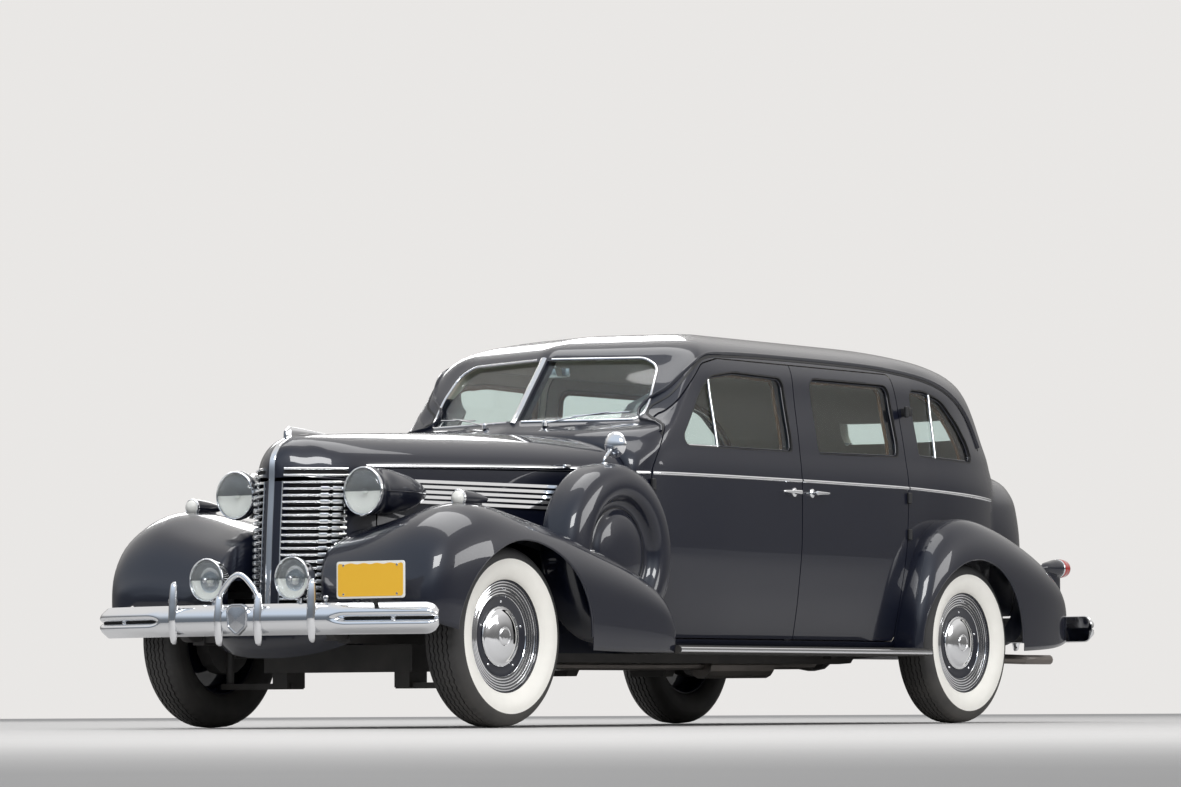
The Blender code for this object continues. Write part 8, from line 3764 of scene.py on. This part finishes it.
@dataclass
class Underside:
    """Finishes for the solids that stay as they are, and the engine over its plain block."""

    shop: Workshop
    kept: tuple[tuple[str, str], ...] = (
        ("chassis_frame", "underbody_black"),
        ("frame_rear", "underbody_black"),
        ("front_suspension", "underbody_black"),
        ("knuckle_left", "cast_iron"),
        ("knuckle_right", "cast_iron"),
        ("rear_axle", "underbody_black"),
        ("fuel_tank", "dull_steel"),
        ("exhaust", "exhaust_steel"),
        ("front_valance", "navy_paint"),
    )

    def build(self) -> None:
        """Dresses the kept solids and builds the engine."""
        for node, finish in self.kept:
            holder = self.shop.frame["nodes"][node]
            for slot in holder.material_slots:
                slot.link = "OBJECT"
                slot.material = self.shop.palette[finish]
        self.apron()
        self.engine()
        self.radiator()
        self.tank_straps()

    def apron(self) -> None:
        """The curved apron under the front bumper."""
        rings = []
        for x in np.linspace(-0.345, 0.345, 49):
            y = -2.352 + 0.085 * (abs(x) / 0.345) ** 2.2
            low = 0.292 + 0.055 * (abs(x) / 0.345) ** 2.5
            front = smooth_path(
                [(y + 0.030, 0.452), (y + 0.008, 0.420), (y, 0.380), (y + 0.014, low + 0.030), (y + 0.042, low)], 20
            )
            back = front[::-1] + np.array([0.006, 0.003])
            rings.append(np.array([(x, float(a), float(b)) for a, b in np.vstack([front, back])]))
        self.shop.add("front_apron", loft(rings), "navy_paint", smooth=60)

    def engine(self) -> None:
        """A long in-line engine inside the block's place: sump, block, head, air cleaner, exhaust manifold, fan."""
        sump = [(-0.110, 0.250), (0.110, 0.250), (0.150, 0.420), (0.165, 0.520), (-0.165, 0.520), (-0.150, 0.420)]
        pan = slab(sump, 0.02, -1.520, -0.800, "Y", 0.010)
        self.shop.add("engine_sump", pan, "cast_iron")
        block_outline = [
            (-0.162, 0.515), (0.162, 0.515), (0.150, 0.620), (0.120, 0.800), (-0.120, 0.800), (-0.150, 0.620)
        ]
        core = slab(block_outline, 0.012, -1.560, -0.800, "Y", 0.008)
        ribs = [
            block((0.118, 0.150), (y - 0.006, y + 0.006), (0.60, 0.79), 0.003) for y in np.linspace(-1.50, -0.86, 9)
        ]
        self.shop.add("engine_casting", gathered(core, *ribs, *[mirrored(rib) for rib in ribs]), "engine_paint")
        head = slab(
            [(-0.115, 0.802), (0.115, 0.802), (0.108, 0.880), (0.060, 0.905), (-0.060, 0.905), (-0.108, 0.880)],
            0.010, -1.550, -0.812, "Y", 0.006,
        )
        self.shop.add("engine_head", head, "engine_paint")
        bolts, plugs = [], []
        for y in np.linspace(-1.51, -0.85, 10):
            for x in (-0.088, 0.088):
                bolts.append(
                    moved(
                        turned([(0.0, 0.0), (0.010, 0.0), (0.010, 0.010), (0.006, 0.014), (0.0, 0.014)], 6),
                        (x, y, 0.888), UPRIGHT,
                    )
                )
        for y in np.linspace(-1.48, -0.88, 8):
            plugs.append(
                moved(
                    turned(
                        [(0.0, 0.0), (0.011, 0.0), (0.011, 0.010), (0.007, 0.014), (0.006, 0.036), (0.0, 0.038)], 12
                    ),
                    (0.030, y, 0.904), UPRIGHT,
                )
            )
        self.shop.add("engine_head_nuts", gathered(*bolts), "dull_steel")
        self.shop.add("engine_plugs", gathered(*plugs), "ivory")
        wires = []
        for i, y in enumerate(np.linspace(-1.48, -0.88, 8)):
            wires.append(
                tube(
                    smooth_path(
                        [
                            (0.030, y, 0.940), (0.026, y, 0.956), (0.0, y * 0.95 - 0.05, 0.962),
                            (-0.060, -1.20 + 0.010 * i, 0.950), (-0.095, -1.20 + 0.009 * i, 0.925),
                        ],
                        20,
                    ),
                    0.0035, 8,
                )
            )
        self.shop.add("engine_leads", gathered(*wires), "black_rubber")
        cleaner = [
            (0.0, -0.16), (0.050, -0.16), (0.058, -0.15), (0.060, -0.10), (0.060, 0.10), (0.058, 0.15), (0.050, 0.16),
            (0.0, 0.16),
        ]
        drum = moved(turned(cleaner, 40), (-0.105, -1.16, 0.912), TO_REAR)
        bands = [
            moved(
                turned(
                    [(0.0595, y - 0.006), (0.0625, y - 0.005), (0.0625, y + 0.005), (0.0595, y + 0.006)], 40,
                    closed=True,
                ),
                (-0.105, -1.16, 0.912), TO_REAR,
            )
            for y in (-0.11, 0.11)
        ]
        self.shop.add("air_cleaner", drum, "underbody_black")
        self.shop.add("air_cleaner_bands", gathered(*bands), "dull_steel")
        branches = []
        for y in np.linspace(-1.44, -0.90, 4):
            branches.append(
                tube(
                    smooth_path([(0.118, y, 0.760), (0.150, y, 0.750), (0.160, (y - 1.17) / 2 - 0.01, 0.705)], 14),
                    0.020, 12,
                )
            )
        branches.append(tube([(0.156, -1.45, 0.722), (0.160, -1.17, 0.700), (0.156, -0.89, 0.722)], 0.024, 14))
        self.shop.add("exhaust_manifold", gathered(*branches), "exhaust_steel")
        self.fan()
        case = slab(
            [(-0.130, 0.290), (0.130, 0.290), (0.150, 0.420), (0.110, 0.560), (-0.110, 0.560), (-0.150, 0.420)], 0.02,
            -0.802, -0.735, "Y", 0.008,
        )
        tail = softened(block((-0.105, 0.105), (-0.745, -0.445), (0.255, 0.340)), 0.012, 2)
        self.shop.add("gear_case", gathered(case, tail), "cast_iron")

    def fan(self) -> None:
        """The fan, its pulley and belt at the engine's front."""
        spot = Vector((0.0, -1.600, 0.720))
        blades = []
        for i in range(6):
            blade = prism(
                rounded([(-0.026, 0.035), (0.026, 0.035), (0.040, 0.155), (-0.022, 0.155)], 0.008), -0.0012, 0.0012,
                "Y",
            )
            blade = moved(blade, (0, 0, 0), Matrix.Rotation(radians(28), 4, "Z"))
            blades.append(moved(blade, spot, Matrix.Rotation(radians(60 * i), 4, "Y")))
        hub = facing_front(
            turned([(0.0, -0.012), (0.036, -0.010), (0.040, 0.0), (0.040, 0.028), (0.0, 0.028)], 28), tuple(spot)
        )
        pulley = facing_front(
            turned([(0.0, 0.0), (0.060, 0.0), (0.052, 0.010), (0.060, 0.020), (0.0, 0.020)], 32), (0, -1.578, 0.480)
        )
        self.shop.add("fan_blades", gathered(*blades), "dull_steel")
        self.shop.add("fan_pulleys", gathered(hub, pulley), "underbody_black")
        belt = []
        for angle in turns(48):
            upper = sin(angle) >= 0
            middle, size = (0.720, 0.040) if upper else (0.480, 0.055)
            belt.append((size * cos(angle), -1.568, middle + size * sin(angle)))
        self.shop.add(
            "fan_belt",
            swept(
                belt, [(-0.004, -0.006), (0.004, -0.006), (0.004, 0.006), (-0.004, 0.006)], closed=True,
                ups=[(0, 1, 0)] * 48,
            ),
            "black_rubber",
        )

    def radiator(self) -> None:
        """The radiator hose behind the grille."""
        hose = tube(
            smooth_path([(0.0, -1.555, 0.860), (0.0, -1.64, 0.880), (0.0, -1.78, 0.900), (0.0, -1.93, 0.900)], 24),
            0.022, 16,
        )
        self.shop.add("radiator_hose", hose, "black_rubber")

    def tank_straps(self) -> None:
        """Steel bands round the fuel tank."""
        low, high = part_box("fuel_tank")
        straps = []
        for x in (-0.14, 0.14):
            y0, y1 = low.y - self.shop.shift.y - 0.002, high.y - self.shop.shift.y + 0.002
            ring = rounded(
                [(y0, low.z - 0.002), (y1, low.z - 0.002), (y1, high.z - 0.010), (y0, high.z - 0.010)], 0.020
            )
            path = [(x, y, z) for y, z in dense(ring, 0.04)]
            straps.append(
                swept(
                    path, [(-0.016, -0.001), (0.016, -0.001), (0.016, 0.001), (-0.016, 0.001)], closed=True,
                    ups=[(1, 0, 0)] * len(path),
                )
            )
        self.shop.add("fuel_tank_straps", gathered(*straps), "dull_steel")


# Stage


@dataclass(frozen=True)
class View:
    """The photograph's view: a long lens at floor level, off the front left corner."""

    spot: Point = (13.1368, -18.1955, 0.09)
    yaw: float = 35.867
    pitch: float = 3.605
    roll: float = -0.2548
    lens: float = 151.02
    sensor: float = 36.0

    def build(self, shift: Vector) -> Object:
        """Makes the scene's camera.

        Args:
            shift: The frame's shift.

        Returns:
            The object.
        """
        data = bpy.data.cameras.new("view")
        data.lens, data.sensor_width, data.sensor_fit = self.lens, self.sensor, "HORIZONTAL"
        data.clip_end = 400
        camera = bpy.data.objects.new("view", data)
        yaw, pitch, roll = (radians(a) for a in (self.yaw, self.pitch, self.roll))
        back = Vector((sin(yaw), -cos(yaw), 0))
        ahead = (-back * cos(pitch) + Vector((0, 0, sin(pitch)))).normalized()
        right = ahead.cross(Vector((0, 0, 1))).normalized()
        up = right.cross(ahead)
        right, up = right * cos(roll) + up * sin(roll), up * cos(roll) - right * sin(roll)
        camera.matrix_world = Matrix((right, up, -ahead)).transposed().to_4x4()
        camera.location = Vector(self.spot) + shift
        bpy.context.scene.collection.objects.link(camera)
        bpy.context.scene.camera = camera
        return camera


@dataclass
class Studio:
    """A pale floor, a pale surround and large soft lamps."""

    floor_radius: float = 20.5
    floor_colour: Point = (0.50, 0.49, 0.48)
    air_colour: Point = (0.815, 0.80, 0.785)
    sky_colour: Point = (0.66, 0.745, 0.86)
    horizon: float = 0.22

    def build(self) -> None:
        """Builds floor, world and lamps."""
        self.floor()
        self.world()
        self.lamp("key_lamp", (6.5, -9.0, 7.5), (5.0, 3.0), 620)
        self.lamp("fill_lamp", (11.0, 3.0, 4.5), (7.0, 3.0), 330)
        self.lamp("top_lamp", (0.0, 0.0, 9.5), (9.0, 5.0), 420)
        self.lamp("back_lamp", (-8.0, 7.0, 6.0), (6.0, 3.0), 300)

    def floor(self) -> None:
        """A round pale floor."""
        ring = [(self.floor_radius * cos(a), self.floor_radius * sin(a), 0.0) for a in turns(128)]
        mesh = bpy.data.meshes.new("floor")
        mesh.from_pydata(ring, [], [list(range(128))])
        plate = bpy.data.objects.new("floor", mesh)
        plate.location.z = -0.0005
        bpy.context.scene.collection.objects.link(plate)
        mesh.materials.append(self.floor_finish())
        plate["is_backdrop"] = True

    def floor_finish(self) -> Material:
        """Fine concrete, its tone varied by noise.

        Returns:
            The material.
        """
        material = bpy.data.materials.new("studio_floor")
        material.use_nodes = True
        wires = Wiring(material.node_tree)
        shader = material.node_tree.nodes["Principled BSDF"]
        shader.inputs["Roughness"].default_value = 0.78
        place = wires.node("ShaderNodeTexCoord").outputs["Object"]
        reach = wires.node("ShaderNodeVectorMath", operation="LENGTH")
        wires.join(place, reach.inputs[0])
        speck = wires.noise(240.0, 3.0, place)
        broad = wires.noise(1.3, 4.0, place)
        shade = wires.node("ShaderNodeMapRange")
        shade.inputs["To Min"].default_value = 0.93
        shade.inputs["To Max"].default_value = 1.07
        wires.join(wires.maths("MULTIPLY", wires.maths("ADD", speck, broad), 0.5), shade.inputs["Value"])
        colour = wires.node("ShaderNodeVectorMath", operation="SCALE")
        colour.inputs[0].default_value = self.floor_colour
        wires.join(shade.outputs["Result"], colour.inputs["Scale"])
        wires.join(colour.outputs[0], shader.inputs["Base Color"])
        wires.join(wires.bump(speck, 0.12, 0.001), shader.inputs["Normal"])
        return material

    def world(self) -> None:
        """Soft even light, and a pale surround where the camera, metal or glass sees it."""
        world = bpy.data.worlds.new("studio")
        world.use_nodes = True
        bpy.context.scene.world = world
        wires = Wiring(world.node_tree)
        lit = world.node_tree.nodes["Background"]
        lit.inputs["Color"].default_value = (0.95, 0.97, 1.0, 1.0)
        lit.inputs["Strength"].default_value = 0.55
        seen = wires.node("ShaderNodeBackground")
        seen.inputs["Color"].default_value = (*self.air_colour, 1.0)
        seen.inputs["Strength"].default_value = 1.0
        path = wires.node("ShaderNodeLightPath")
        which = wires.maths("MAXIMUM", path.outputs["Is Camera Ray"], path.outputs["Is Transmission Ray"])
        mix = wires.node("ShaderNodeMixShader")
        wires.join(which, mix.inputs[0])
        wires.join(lit.outputs[0], mix.inputs[1])
        wires.join(seen.outputs[0], mix.inputs[2])
        gloss = wires.node("ShaderNodeMixShader")
        wires.join(path.outputs["Is Glossy Ray"], gloss.inputs[0])
        wires.join(mix.outputs[0], gloss.inputs[1])
        wires.join(self.surround(wires), gloss.inputs[2])
        wires.join(gloss.outputs[0], world.node_tree.nodes["World Output"].inputs["Surface"])

    def surround(self, wires: Wiring) -> Socket:
        """What polished parts mirror: the pale surround, darker towards the far horizon.

        Args:
            wires: The node tree that is built.

        Returns:
            The result's socket.
        """
        parts = wires.node("ShaderNodeSeparateXYZ")
        wires.join(wires.node("ShaderNodeTexCoord").outputs["Generated"], parts.inputs[0])
        rise = wires.node("ShaderNodeMapRange", interpolation_type="SMOOTHSTEP")
        rise.inputs["From Min"].default_value = 0.02
        rise.inputs["From Max"].default_value = 0.42
        rise.inputs["To Min"].default_value = self.horizon
        rise.inputs["To Max"].default_value = 1.0
        wires.join(parts.outputs["Z"], rise.inputs["Value"])
        shine = wires.node("ShaderNodeBackground")
        ahead = wires.node("ShaderNodeMapRange", interpolation_type="SMOOTHSTEP")
        for key, value in (("From Min", -0.75), ("From Max", 0.10), ("To Min", 1.0), ("To Max", 0.0)):
            ahead.inputs[key].default_value = value
        wires.join(parts.outputs["Y"], ahead.inputs["Value"])
        tint = wires.node("ShaderNodeMix", data_type="RGBA")
        tint.inputs[6].default_value = (*self.air_colour, 1.0)
        tint.inputs[7].default_value = (*self.sky_colour, 1.0)
        wires.join(ahead.outputs["Result"], tint.inputs[0])
        wires.join(tint.outputs[2], shine.inputs["Color"])
        wires.join(rise.outputs["Result"], shine.inputs["Strength"])
        return shine.outputs[0]

    def lamp(self, name: str, spot: Point, size: tuple[float, float], power: float) -> None:
        """A large soft lamp that looks at the middle of the car.

        Args:
            name: The name, or its start.
            spot: Its place.
            size: Its sides, in metres.
            power: The power in watts.
        """
        data = bpy.data.lights.new(name, "AREA")
        data.shape = "RECTANGLE"
        data.size, data.size_y = size
        data.energy = power
        lamp = bpy.data.objects.new(name, data)
        lamp.location = spot
        ahead = (Vector((0, 0, 0.6)) - Vector(spot)).normalized()
        lamp.rotation_euler = ahead.to_track_quat("-Z", "Y").to_euler()
        bpy.context.scene.collection.objects.link(lamp)


# Making


def corners() -> list[list[float]]:
    """The whole object's box as plain numbers."""
    return [[float(value) for value in corner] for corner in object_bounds()]


def hide_solids(shop: Workshop) -> None:
    """Hides each solid that a piece takes the place of.

    Args:
        shop: The workshop.
    """
    for piece, node in (
        ("body_shell_panels", "body_shell"), ("trunk_lid_panel", "trunk_lid"), ("dash_panel", "dashboard"),
        ("engine_casting", "engine_block"), ("grille_bars_left", "grille"), ("front_bumper_bar", "front_bumper"),
        ("rear_bumper_bar", "rear_bumper"), ("plate_carrier", "number_plate"), ("front_cushion", "front_seat"),
        ("rear_cushion", "rear_seat"), ("steering_rim", "steering_wheel"), ("nose_panel_left", "nose_shell"),
        ("pane_back", "glass_back"),
    ):
        shop.hide(piece, node)
    for side in Side:
        for piece, node in (
            ("door_front_panel", "door_front"), ("door_rear_panel", "door_rear"), ("hood_panel", "hood"),
            ("hood_side_panel", "hood_side"), ("fender_front_panel", "fender_front"),
            ("fender_rear_panel", "fender_rear"), ("headlamp_shell", "headlamp"), ("spare_cover_drum", "spare_cover"),
            ("running_board_body", "running_board"), ("pane_front", "glass_front"), ("pane_rear", "glass_rear"),
            ("pane_quarter", "glass_quarter"), ("pane_screen", "glass_screen"), ("front_tyre_tread", "tyre_front"),
            ("rear_tyre_tread", "tyre_rear"), ("front_wheel_rim", "wheel_front"), ("rear_wheel_rim", "wheel_rear"),
        ):
            shop.hide(f"{piece}_{side.word}", f"{node}_{side.word}")


def main() -> None:
    """Builds the camera, the whole car and the studio."""
    logging.basicConfig(level=logging.INFO, format="%(message)s", stream=sys.stdout)
    for unused in list(bpy.data.objects):
        bpy.data.objects.remove(unused)
    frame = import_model()
    bpy.context.scene.view_settings.view_transform = "Standard"
    shop = Workshop(frame, Palette())
    View().build(shop.shift)
    forms = Forms()
    covers = SpareCovers(shop, forms)
    mouldings = Mouldings(shop, forms)
    BodyPanels(shop, forms).build()
    HoodPanels(shop, forms).build()
    Fenders(shop, forms).build(covers.form())
    Grille(shop, forms).build()
    Lamps(shop, forms).build()
    Bumpers(shop).build()
    Plate(shop).build()
    covers.build()
    RunningBoards(shop).build()
    mouldings.build()
    LidTrim(shop, forms).build()
    Wheels(shop).build()
    Seats(shop).build()
    Dashboard(shop).build()
    CabinTrim(shop, mouldings).build()
    Underside(shop).build()
    hide_solids(shop)
    Studio().build()
    LOG.info("%d pieces", shop.count)


if __name__ == "__main__":
    main()
